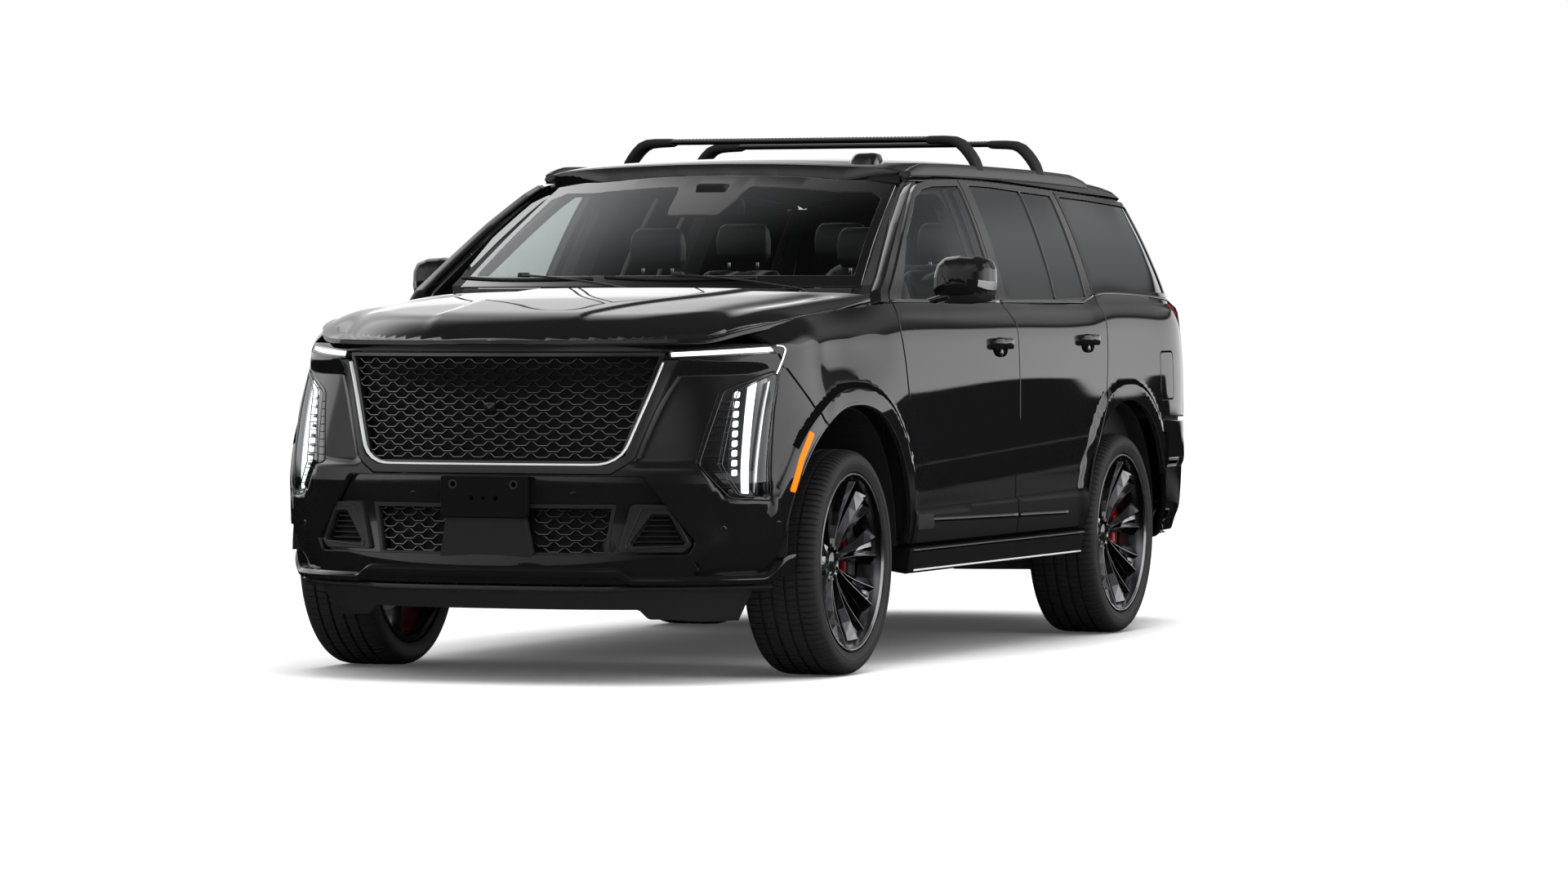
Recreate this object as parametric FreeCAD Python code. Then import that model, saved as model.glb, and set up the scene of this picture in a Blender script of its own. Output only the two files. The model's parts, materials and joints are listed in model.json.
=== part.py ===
# Full-size luxury SUV, modelled in millimetres.
# Frame: +Z up, -Y is the front of the vehicle, +X is its left-hand side. The origin is on the ground, in the middle of the
# vehicle's length and width. Every body panel is cut from shared half-width, nose, tail, hood and roof surfaces, so that
# neighbouring panels stay flush across their shut lines.
import FreeCAD, Part
import math, os, sys, time

V = FreeCAD.Vector
os.makedirs("parts", exist_ok=True)
T0 = time.time()

# ---------------------------------------------------------------- driving dimensions
LENGTH = 5374.0            # overall length
Y_F, Y_R = -1700.0, 1371.0  # front and rear axle lines: 3071 wheelbase
TYRE_R, TYRE_W = 405.0, 285.0
AXLE_Z = TYRE_R
TRACK_X = 870.0            # half track
RIM_R = 322.0              # rim lip radius
Z_SILL = 330.0             # lowest edge of the side
YS, YR = -1900.0, 1850.0   # where the nose and the tail start to round in plan
GAP = 6.0                  # shut line
FUEL = (1853.0, 2036.0, 938.0, 1139.0)   # fuel door: y and z limits
DOOR_T = 110.0             # door thickness
WALL_T = 110.0             # quarter and rocker wall thickness
SKIN_T = 22.0              # fender, hood, bumper thickness
BELT = 1336.0              # top edge of the lower body at the doors
DOOR_F, DOOR_M = -1152.0, 50.0   # front edge of the front door, split between the doors


# ---------------------------------------------------------------- curves
def spline(pts):
    """Natural cubic spline y(x) through pts, straight beyond its ends."""
    xs = [float(p[0]) for p in pts]
    ys = [float(p[1]) for p in pts]
    n = len(xs)
    h = [xs[i + 1] - xs[i] for i in range(n - 1)]
    a, b, c, d = [0.0] * n, [1.0] * n, [0.0] * n, [0.0] * n
    for i in range(1, n - 1):
        a[i], b[i], c[i] = h[i - 1], 2 * (h[i - 1] + h[i]), h[i]
        d[i] = 6 * ((ys[i + 1] - ys[i]) / h[i] - (ys[i] - ys[i - 1]) / h[i - 1])
    for i in range(1, n):
        w = a[i] / b[i - 1]
        b[i] -= w * c[i - 1]
        d[i] -= w * d[i - 1]
    m = [0.0] * n
    m[-1] = d[-1] / b[-1]
    for i in range(n - 2, -1, -1):
        m[i] = (d[i] - c[i] * m[i + 1]) / b[i]
    s0 = (ys[1] - ys[0]) / h[0] - h[0] * (2 * m[0] + m[1]) / 6
    s1 = (ys[-1] - ys[-2]) / h[-1] + h[-1] * (m[-2] + 2 * m[-1]) / 6

    def f(x):
        if x <= xs[0]:
            return ys[0] + s0 * (x - xs[0])
        if x >= xs[-1]:
            return ys[-1] + s1 * (x - xs[-1])
        lo, hi = 0, n - 1
        while hi - lo > 1:
            k = (lo + hi) // 2
            if xs[k] <= x:
                lo = k
            else:
                hi = k
        t0, t1 = (xs[hi] - x), (x - xs[lo])
        g = h[lo]
        return (m[lo] * t0 ** 3 + m[hi] * t1 ** 3) / (6 * g) + (ys[lo] / g - m[lo] * g / 6) * t0 + (ys[hi] / g - m[hi] * g / 6) * t1
    return f


def smooth(t):
    t = 0.0 if t < 0 else 1.0 if t > 1 else t
    return t * t * t * (t * (6 * t - 15) + 10)


# half-width of the lower body by height, before the bulge of the doors
A_Z = spline([(250, 880), (300, 930), (350, 962), (400, 984), (460, 996), (540, 1003), (640, 1008), (760, 1011), (900, 1012), (1040, 1011), (1160, 1006), (1260, 999), (1340, 990), (1420, 982)])
# nose line on the centre plane, by height
F_Z = spline([(250, -2640), (320, -2660), (400, -2668), (500, -2664), (620, -2662), (720, -2667), (800, -2660), (900, -2650), (1050, -2645), (1160, -2648), (1210, -2636), (1300, -2600)])
# tail line on the centre plane, by height
R_Z = spline([(250, 2600), (350, 2640), (460, 2675), (560, 2687), (680, 2684), (800, 2650), (900, 2640), (1050, 2634), (1200, 2612), (1340, 2572), (1450, 2525), (1600, 2448), (1720, 2378), (1820, 2310)])
# side of the cabin, by height
G_Z = spline([(1300, 980), (1336, 966), (1400, 946), (1500, 911), (1600, 871), (1700, 825), (1760, 794), (1800, 770), (1840, 742)])
# roof and hood on the centre plane
ROOF_Y = spline([(-700, 1800), (-560, 1849), (-440, 1872), (-200, 1893), (200, 1905), (700, 1904), (1200, 1894), (1700, 1874), (2100, 1848), (2350, 1826)])
HOOD_Y = spline([(-2700, 1256), (-2600, 1272), (-2450, 1291), (-2250, 1312), (-2000, 1336), (-1700, 1358), (-1400, 1377), (-1150, 1391)])
# top edge of the lower body side, by length
B_Y = spline([(-2660, 1202), (-2500, 1208), (-2400, 1218), (-2250, 1246), (-2069, 1272), (-1850, 1293), (-1650, 1307), (-1426, 1322), (-1250, 1332), (-1100, 1336), (-500, 1336), (100, 1336), (860, 1336), (1000, 1345), (1160, 1366), (1360, 1374), (1800, 1366), (2200, 1350), (2500, 1336)])
# top of the side doors, by length
DT_Y = spline([(-1300, 1325), (-1163, 1375), (-1000, 1474), (-800, 1600), (-600, 1716), (-515, 1761), (-430, 1790), (-275, 1807), (152, 1816), (640, 1808), (1102, 1793), (2086, 1766), (2300, 1760)])

ARCH_F = dict(y=-1690.0, z=405.0, hw=556.0, h=562.0, n=2.25)
ARCH_R = dict(y=1398.0, z=405.0, hw=520.0, h=540.0, n=2.25)


def arch_d(y, z, A):
    """0 at the centre of a wheel arch, 1 on its lip."""
    return (abs((y - A["y"]) / A["hw"]) ** A["n"] + abs(max(z - A["z"], 0) / A["h"]) ** A["n"]) ** (1 / A["n"])


def roll(y, z):
    """How far the shoulder has rounded inwards at (y, z)."""
    d = B_Y(y) - z
    front = 1 - smooth((y + 1900) / 800.0)
    nose = smooth((-2250 - y) / 350.0)
    rx = (34 + 34 * front) * (1 - nose) + 22 * nose
    rz = (150 - 40 * front) * (1 - nose) + 55 * nose
    return rx * ((rz - max(d, 0)) / rz) ** 2.2 if d < rz else 0.0


def front_n(z):
    return 2.52 - 0.42 * smooth((z - 640) / 520.0)


REAR_N = 3.4


def rear_a(z):
    """Half-width where the tail starts to round, by height."""
    k = smooth((z - 1300) / 60.0)
    return A_Z(min(z, 1330)) * (1 - k) + (G_Z(max(z, 1330)) - 12) * k


def flare(y, z):
    out = 0.0
    for A in (ARCH_F, ARCH_R):
        r = arch_d(y, z, A)
        if r < 1.35:
            out += 13.0 * (1 - smooth(((r - 1) * A["h"] - 58) / 36.0)) * smooth((z - 400) / 160.0)
    return out


def side_x(y, z):
    """Outer half-width of the lower body side: plan, shoulder and wheel-arch flares."""
    zz = min(z, 1330)
    a = A_Z(zz)
    r = roll(y, z)
    if y < YS:
        a = a - 34 * smooth((z - 900) / 300.0) - r
        t = (YS - y) / (YS - F_Z(min(z, 1230)) - r)
        n = front_n(z)
        return a * (1 - t ** n) ** (1 / n) + flare(y, z) if t < 1 else 0.0
    if y > YR:
        a = rear_a(z)
        t = (y - YR) / (R_Z(z) - YR)
        return (a - r) * (1 - t ** REAR_N) ** (1 / REAR_N) + flare(y, z) if t < 1 else 0.0
    k = (y - YS) / (YR - YS)
    bulge = 15.0 * (4 * k * (1 - k)) ** 2
    narrow = 34 * smooth((z - 900) / 300.0) * (1 - smooth((y - YS) / 750.0))
    return a + bulge - narrow - r + flare(y, z)


def cabin_x(y, z):
    """Outer half-width of the cabin's side."""
    x = G_Z(z)
    if y < -200:
        x -= 14 * smooth((-200 - y) / 900.0)
    x -= 12 * smooth((y - 900) / 950.0)
    if y > YR:
        t = (y - YR) / (R_Z(z) - YR)
        x = x * (max(1 - t ** REAR_N, 0)) ** (1 / REAR_N)
    return x


def front_y(x, z):
    """y of the nose at (x, z)."""
    n = front_n(z)
    y = -2500.0
    for _ in range(3):
        r = roll(y, z)
        a = A_Z(z) - 34 * smooth((z - 900) / 300.0) - r
        L = YS - F_Z(min(z, 1230)) - r
        y = YS - L * max(1 - (abs(x) / a) ** n, 0) ** (1 / n)
    return y


def rear_y(x, z):
    """y of the tail at (x, z)."""
    return YR + (R_Z(z) - YR) * max(1 - (abs(x) / rear_a(z)) ** REAR_N, 0) ** (1 / REAR_N)


def _edge_table():
    """The outline of the hood and fender tops, by direction from (0, YS) at the nose."""
    tab = []
    for i in range(241):
        z = 1203.0
        th = math.pi / 2 * i / 240
        # start from the plan curve at this direction and settle on the height of the edge there
        y = YS - 700 * math.cos(th)
        for _ in range(12):
            z = B_Y(y)
            r = roll(y, z)
            n = front_n(z)
            a = A_Z(z) - 34 - r
            L = YS - F_Z(min(z, 1230)) - r
            k = (abs(math.sin(th) / a) ** n + abs(math.cos(th) / L) ** n) ** (-1 / n)
            y = YS - k * math.cos(th)
        tab.append((k, z))
    return tab


EDGE = _edge_table()


def edge_at(x, y):
    """Distance inwards from the outline of the hood and fenders along a ray, the outline's point there and its height."""
    ax = abs(x)
    if y >= YS:
        z = B_Y(y)
        xe = side_x(y, z) - flare(y, z)
        return xe - ax, xe, y, z
    r = math.hypot(ax, YS - y)
    th = math.atan2(ax, YS - y)
    f = th / (math.pi / 2) * 240
    i = min(int(f), 239)
    k = EDGE[i][0] + (EDGE[i + 1][0] - EDGE[i][0]) * (f - i)
    z = EDGE[i][1] + (EDGE[i + 1][1] - EDGE[i][1]) * (f - i)
    return k - r, k * math.sin(th), YS - k * math.cos(th), z


def crown(x, y):
    base = HOOD_Y(y) - 26 * (abs(x) / 900.0) ** 2.2
    w = 250 + 150 * smooth((y + 2600) / 1300.0)          # half-width of the raised centre
    return base + 9 * (1 - smooth((abs(x) - w) / 60.0)) * smooth((y + 2620) / 250.0)


def hood_z(x, y):
    d, xe, ye, ze = edge_at(x, y)
    R = 170.0
    z = crown(x, y)
    if d < R:
        z += (ze - crown(xe, ye)) * ((R - max(d, 0)) / R) ** 2.4
    return z


def roof_z(x, y):
    zg = DT_Y(max(y, -275)) + 8
    xg = cabin_x(y, zg)
    t = min(abs(x) / xg, 1.02)
    R = ROOF_Y(y)
    return R - 30 * t ** 2 - (R - 30 - zg) * t ** 16


def screen_y(x, z):
    """The windscreen's outer surface: y by height, swept back towards the pillars."""
    return -1262 + (z - 1392) * 1.86 + 150 * (abs(x) / 820.0) ** 2.4 - 26 * math.sin(math.pi * min(max((z - 1392) / 420.0, 0), 1))


# ---------------------------------------------------------------- solids
def bs_face(P):
    s = Part.BSplineSurface()
    s.interpolate(P)
    return s.toShape()


def lin(a, b, n):
    return [a + (b - a) * i / (n - 1) for i in range(n)]


def x_face(f, ys, zs_of, dx=0.0):
    """Face x = f(y, z) over rows of y and heights zs_of(y)."""
    return bs_face([[V(f(y, z) + dx, y, z) for z in zs_of(y)] for y in ys])


def prism(pts, direction, lo, hi):
    """Solid from a closed outline. direction 'x': pts are (y, z); 'y': (x, z); 'z': (x, y)."""
    mk = {"x": lambda p: V(lo, p[0], p[1]), "y": lambda p: V(p[0], lo, p[1]), "z": lambda p: V(p[0], p[1], lo)}[direction]
    vec = {"x": V(hi - lo, 0, 0), "y": V(0, hi - lo, 0), "z": V(0, 0, hi - lo)}[direction]
    q = [mk(p) for p in pts]
    q.append(q[0])
    return Part.Face(Part.makePolygon(q)).extrude(vec)


def rounded(pts, r):
    """Outline with its corners rounded by short chords. r is one radius or one for each point."""
    n, out = len(pts), []
    for i, p in enumerate(pts):
        a, b = pts[i - 1], pts[(i + 1) % n]
        ri = r[i] if isinstance(r, (list, tuple)) else r
        da, db = math.dist(a, p), math.dist(b, p)
        if ri <= 0 or min(da, db) < 1e-6:
            out.append(p)
            continue
        ua, ub = ((a[0] - p[0]) / da, (a[1] - p[1]) / da), ((b[0] - p[0]) / db, (b[1] - p[1]) / db)
        ang = math.acos(max(-1, min(1, ua[0] * ub[0] + ua[1] * ub[1])))
        t = min(ri / max(math.tan(ang / 2), 1e-3), da * 0.48, db * 0.48)
        A = (p[0] + ua[0] * t, p[1] + ua[1] * t)
        B = (p[0] + ub[0] * t, p[1] + ub[1] * t)
        k = 5
        for j in range(k + 1):
            s = j / k
            out.append(((1 - s) ** 2 * A[0] + 2 * s * (1 - s) * p[0] + s * s * B[0], (1 - s) ** 2 * A[1] + 2 * s * (1 - s) * p[1] + s * s * B[1]))
    return out


def inset(pts, d):
    """Outline moved inwards by d (outwards when negative); works for gently shaped loops."""
    n = len(pts)
    area = sum(pts[i - 1][0] * pts[i][1] - pts[i][0] * pts[i - 1][1] for i in range(n))
    sgn = 1 if area > 0 else -1
    out = []
    for i, p in enumerate(pts):
        a, b = pts[i - 1], pts[(i + 1) % n]
        e1, e2 = (p[0] - a[0], p[1] - a[1]), (b[0] - p[0], b[1] - p[1])
        l1, l2 = math.hypot(*e1) or 1, math.hypot(*e2) or 1
        n1, n2 = (-e1[1] / l1 * sgn, e1[0] / l1 * sgn), (-e2[1] / l2 * sgn, e2[0] / l2 * sgn)
        m = (n1[0] + n2[0], n1[1] + n2[1])
        k = m[0] * n1[0] + m[1] * n1[1]
        k = d / max(k, 0.4)
        out.append((p[0] + m[0] * k, p[1] + m[1] * k))
    return out


def arch_curve(A, grow, a0=-12, a1=192, n=34):
    """Points along a wheel arch from its front foot over the top to its rear foot, grown by a distance."""
    out = []
    for i in range(n):
        t = math.radians(a0 + (a1 - a0) * i / (n - 1))
        c, s = -math.cos(t), math.sin(t)
        hw, h = A["hw"] + grow, A["h"] + grow
        if s < 0:
            out.append((A["y"] + c * hw, A["z"] + s * h))
            continue
        r = (abs(c / hw) ** A["n"] + abs(s / h) ** A["n"]) ** (-1 / A["n"])
        out.append((A["y"] + c * r, A["z"] + s * r))
    return out


def mirror(s):
    return s.mirror(V(0, 0, 0), V(1, 0, 0))


def box(x0, x1, y0, y1, z0, z1):
    return Part.makeBox(x1 - x0, y1 - y0, z1 - z0, V(x0, y0, z0))


def both(s):
    return [s, mirror(s)]


def save(name, solids):
    if not isinstance(solids, (list, tuple)):
        solids = [solids]
    flat = []
    for s in solids:
        flat += s.Solids
    flat = [s for s in flat if s.Volume > 200]
    shape = flat[0] if len(flat) == 1 else Part.makeCompound(flat)
    ok = all(s.isValid() for s in flat)
    shape.exportStep(f"parts/{name}.step")
    print(f"{name:26s} solids {len(flat)} volume {sum(s.Volume for s in flat) / 1e6:9.2f} l  valid {ok}  t {time.time() - T0:6.1f}", flush=True)


def sew(faces):
    sh = Part.makeShell(faces)
    sh.sewShape()
    s = Part.Solid(sh)
    if s.Volume < 0:
        s.reverse()
    return s


def thick(P, Q):
    """Closed solid between two grids of points with the same layout."""
    A, B = bs_face(P), bs_face(Q)
    walls = []
    for a in A.Edges:
        m = a.valueAt((a.FirstParameter + a.LastParameter) / 2)
        b = min(B.Edges, key=lambda e: e.valueAt((e.FirstParameter + e.LastParameter) / 2).distanceToPoint(m))
        walls.append(Part.makeRuledSurface(a, b))
    return sew([A, B] + walls)


def x_slab(f, y0, y1, z0, z1, ny, nz, dx, t):
    """Slab under the surface x = f(y, z), starting dx inside it and t thick along X."""
    P = [[V(f(y, z) - dx, y, z) for z in lin(z0, z1, nz)] for y in lin(y0, y1, ny)]
    return bs_face(P).extrude(V(-t, 0, 0))


def strip_slab(f, ys, lo, hi, nz, dx, t):
    """Slab under x = f(y, z) between two heights that change with y."""
    P = [[V(f(y, z) - dx, y, z) for z in lin(lo(y), hi(y), nz)] for y in ys]
    return bs_face(P).extrude(V(-t, 0, 0))


def fuse(lst):
    s = lst[0]
    if len(lst) > 1:
        s = s.multiFuse(lst[1:])
    return s


def wrap_grid(z0, z1, nz, ns, off, half, front=True, y_end=None):
    """Grid of points round the nose or tail from one side to the other, off inside the outer surface."""
    rows = []
    for z in lin(z0, z1, nz):
        pts = []
        if front:
            yb = y_end
            dense = []
            a = A_Z(z) - 34 * smooth((z - 900) / 300.0)
            n = front_n(z)
            L = YS - F_Z(min(z, 1230))
            r = roll(-2560, z) if z > 1140 else 0
            a, L = a - off - r, L - off - r
            N = 240
            for i in range(N + 1):
                th = math.pi / 2 * i / N
                x = a * math.sin(th) ** (2 / n) if i else 0.0
                y = YS - L * math.cos(th) ** (2 / n) if i < N else YS
                dense.append((x, y))
            y = YS
            while y < yb:
                y = min(y + 20, yb)
                dense.append((side_x(y, z) - flare(y, z) - off, y))
            cut = [p for p in dense if p[1] <= yb]
        else:
            yb = y_end
            a = rear_a(z) - off
            L = R_Z(z) - YR - off
            n = REAR_N
            dense = []
            N = 240
            for i in range(N + 1):
                th = math.pi / 2 * i / N
                x = a * math.sin(th) ** (2 / n) if i else 0.0
                y = YR + L * math.cos(th) ** (2 / n) if i < N else YR
                dense.append((x, y))
            cut = [p for p in dense if p[1] >= yb]
        s = [0.0]
        for p, q in zip(cut, cut[1:]):
            s.append(s[-1] + math.dist(p, q))
        half_pts = []
        j = 0
        for k in range(ns + 1):
            d = s[-1] * k / ns
            while j < len(s) - 2 and s[j + 1] < d:
                j += 1
            u = (d - s[j]) / max(s[j + 1] - s[j], 1e-9)
            half_pts.append((cut[j][0] + (cut[j + 1][0] - cut[j][0]) * u, cut[j][1] + (cut[j + 1][1] - cut[j][1]) * u))
        row = [V(-x, y, z) for x, y in reversed(half_pts)] + [V(x, y, z) for x, y in half_pts[1:]]
        rows.append(row)
    return rows


def revolve_x(profile, cx, cy, cz):
    """Solid of revolution about an X line; profile points are (x, r)."""
    pts = [V(x, cy, cz + r) for x, r in profile]
    pts.append(pts[0])
    return Part.Face(Part.makePolygon(pts)).revolve(V(cx, cy, cz), V(1, 0, 0), 360)


def cyl(p, d, r, L):
    return Part.makeCylinder(r, L, V(*p), V(*d))


def rod(a, b, r):
    a, b = V(*a), V(*b)
    return Part.makeCylinder(r, (b - a).Length, a, b - a)


# ================================================================ doors and sides
Z_DOOR = 446.0
DF = [(-1112, Z_DOOR), (-1112, 640), (-1136, 711), (-1150, 850), (-1162, 1009), (-1185, 1120), (-1215, 1228), (-1200, 1290), (-1185, 1336), (-1163, 1375), (-1000, 1474), (-800, 1600), (-600, 1716), (-515, 1761), (-430, 1790), (-275, 1807), (61, 1817)]
DM = [(61, 1817), (-23, 1342), (-6, 1315), (52, 1258), (48, 1099), (44, 890), (48, 587), (50, Z_DOOR)]
DR = [(1150, 1792), (1135, 1342), (1158, 1300), (1168, 1260), (1158, 1133), (1128, 981), (977, 767), (905, 618), (880, Z_DOOR)]
front_door_outline = DF + DM[1:]
rear_door_outline = DM[::-1] + [(152, 1816), (640, 1808), (900, 1800)] + DR
GL_F = [(-1055, 1349), (-700, 1349), (-56, 1349), (26, 1788), (-275, 1779), (-400, 1767), (-515, 1735), (-780, 1583)]
GL_R1 = [(72, 1349), (657, 1352), (719, 1779), (400, 1790), (150, 1791)]
GL_R2 = [(672, 1352), (1040, 1362), (1085, 1768), (735, 1778)]
QG = [(1196, 1392), (2175, 1380), (2080, 1737), (1600, 1757), (1196, 1766)]

HOOD_L = [(0, -2632), (300, -2606), (560, -2528), (700, -2444), (778, -2352), (812, -2290), (838, -2236), (868, -2140), (886, -2060), (900, -1930), (908, -1750), (908, -1540), (902, -1340), (890, -1192), (760, -1208), (500, -1292), (0, -1330)]
HOOD_OUT = HOOD_L + [(-x, y) for x, y in HOOD_L[-2:0:-1]]


def make_door(outline, glasses, y0, y1, split=None):
    out = inset(outline, GAP / 2 + 0.5)
    ys = lin(y0, y1, int((y1 - y0) / 24) + 2)
    skin = strip_slab(side_x, ys, lambda y: Z_DOOR - 8, lambda y: B_Y(y), 44, 0, 40)
    skin = skin.common(prism(out, "x", 700, 1200))
    inner_out = inset(outline, 30)
    inner = strip_slab(side_x, ys, lambda y: Z_DOOR + 4, lambda y: B_Y(y) - 2, 30, 36, 74)
    inner = inner.common(prism(inner_out, "x", 700, 1200))
    up = x_slab(cabin_x, y0, y1, 1300, 1830, 18, 16, 0, 46)
    up = up.common(prism(out, "x", 600, 1200)).common(box(600, 1200, y0 - 50, y1 + 50, 1332, 1840))
    for g in glasses:
        up = up.cut(prism(g, "x", 500, 1300))
    return fuse([skin, inner, up])


def make_glass(gs, y0, y1):
    out = []
    for g in gs:
        s = x_slab(cabin_x, y0, y1, 1320, 1820, 14, 12, 10, 6)
        out.append(s.common(prism(inset(g, 0.5), "x", 500, 1300)))
    return out


def build_sides():
    fd = make_door(front_door_outline, [GL_F], -1250, 90)
    global front_door_shape
    front_door_shape = fd
    save("front_door_left", fd)
    save("front_door_right", mirror(fd))
    rd = make_door(rear_door_outline, [GL_R1, GL_R2], -60, 1200)
    save("rear_door_left", rd)
    save("rear_door_right", mirror(rd))
    g = make_glass([GL_F], -1200, 80)
    save("front_door_glass_left", g)
    save("front_door_glass_right", [mirror(s) for s in g])
    g = make_glass([GL_R1, GL_R2], 20, 1180)
    save("rear_door_glass_left", g)
    save("rear_door_glass_right", [mirror(s) for s in g])
    # fenders
    lip = arch_curve(ARCH_F, 0)
    fy = lin(-2330, -1100, 44)
    fen = strip_slab(side_x, fy, lambda y: 424, lambda y: B_Y(y), 36, 0, SKIN_T)
    outline = [(-1950, 880), (-2017, 921), (-2098, 1021), (-2158, 1107), (-2193, 1174), (-2259, 1264), (-2259, 1420), (-1189, 1420)] + [(y - GAP, z) for y, z in DF[8::-1][:-1]] + [(-1112 - GAP, 450), (-1150, 450)]
    fen = fen.common(prism(outline, "x", 500, 1200)).cut(prism(lip, "x", 400, 1300))
    fen = fen.common(box(600, 1200, -2400, -1000, 450, 1500))
    fen = fen.cut(prism(inset(HOOD_OUT, -6), "z", 1140, 1700))
    save("fenders", both(fen))
    # quarter panels with the wall round the quarter windows
    lipr = arch_curve(ARCH_R, 0)
    qy = lin(880, 2330, 52)
    q = strip_slab(side_x, qy, lambda y: 424, lambda y: B_Y(y), 34, 0, WALL_T)
    qo = [(DR[1][0] + GAP, 1500)] + [(y + GAP / 2 + 1, z) for y, z in DR[1:-1]] + [(886, 450), (1000, 450), (1862, 450), (1883, 868), (2238, 868), (2262, 1000), (2225, 1340), (2215, 1500)]
    q = q.common(prism(qo, "x", 500, 1200)).cut(prism(lipr, "x", 400, 1300))
    q = q.common(box(600, 1200, 800, 2400, 450, 1500))
    c = x_slab(cabin_x, 1000, 2240, 1300, 1800, 30, 18, 0, 60)
    co = [(1141, 1330), (1156, 1786), (2082, 1759), (2128, 1700), (2160, 1600), (2190, 1480), (2215, 1330)]
    c = c.common(prism(co, "x", 500, 1200)).cut(prism(QG, "x", 400, 1300))
    right = mirror(fuse([q, c]))
    cap = rounded([(FUEL[0], FUEL[2]), (FUEL[1], FUEL[2]), (FUEL[1] - 8, FUEL[3]), (FUEL[0], FUEL[3])], 28)
    pocket = prism(cap, "x", 500, 1200)
    leaf = strip_slab(side_x, lin(1830, 2070, 10), lambda y: FUEL[2] - 30, lambda y: FUEL[3] + 30, 14, 0, 10).common(prism(inset(cap, 5.2), "x", 500, 1200))
    room = strip_slab(side_x, lin(1830, 2070, 10), lambda y: FUEL[2] - 30, lambda y: FUEL[3] + 30, 14, -30, 96).common(pocket)
    save("fuel_door", leaf)
    save("quarter_panels", [fuse([q, c]).cut(room), right])
    g = x_slab(cabin_x, 1100, 2230, 1340, 1790, 22, 12, 10, 6).common(prism(inset(QG, 0.5), "x", 500, 1300))
    save("quarter_windows", both(g))
    # side frames: sills, A, B and C posts and cant rails behind the doors
    def xf(y, z):
        lo = side_x(1100, z) - 110 - 24
        hi = cabin_x(y, max(z, 1340)) - 46 - 30
        k = smooth((z - 1345) / 70.0)
        return lo * (1 - k) + hi * k
    f = x_slab(lambda y, z: xf(y, z), -1290, 1240, 380, 1800, 12, 60, 0, 52)
    ring = [(-1270, 390), (-1270, 1306), (-1176, 1312), (-1118, 1326), (-1086, 1400), (-904, 1500), (-684, 1622), (-466, 1736), (-400, 1776), (-275, 1796), (700, 1796), (1230, 1781), (1230, 1000), (1030, 700), (930, 390)]
    o1 = [(-1060, 560), (-1075, 1000), (-1060, 1300), (-985, 1380), (-790, 1492), (-590, 1608), (-420, 1706), (-330, 1746), (-60, 1756), (-20, 1700), (-85, 1330), (-40, 1100), (-50, 560)]
    o2 = [(150, 560), (150, 1250), (100, 1330), (140, 1760), (700, 1758), (1080, 1740), (1085, 1100), (900, 760), (840, 560)]
    f = f.common(prism(ring, "x", 400, 1100)).cut(prism(arch_curve(ARCH_F, 6), "x", 400, 1300)).cut(prism(arch_curve(ARCH_R, 6), "x", 400, 1300)).cut(prism(rounded(o1, 40), "x", 300, 1200)).cut(prism(rounded(o2, 40), "x", 300, 1200))
    save("side_frames", both(f))
    # A posts beside the windscreen, with the cowl corner
    ap = x_slab(cabin_x, -1330, -380, 1300, 1830, 24, 18, 0, 60)
    ao = [(-1275, 1338), (-1193, 1338), (-1171, 1379), (-1006, 1482), (-806, 1608), (-606, 1724), (-520, 1765), (-440, 1789), (-432, 1794), (-470, 1792), (-560, 1759), (-800, 1640), (-1000, 1524), (-1150, 1434), (-1240, 1385)]
    ap = ap.common(prism(ao, "x", 500, 1100))
    ap = ap.cut(box(500, 908, -1400, -1120, 1300, 1420))
    save("windscreen_posts", both(ap))


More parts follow.
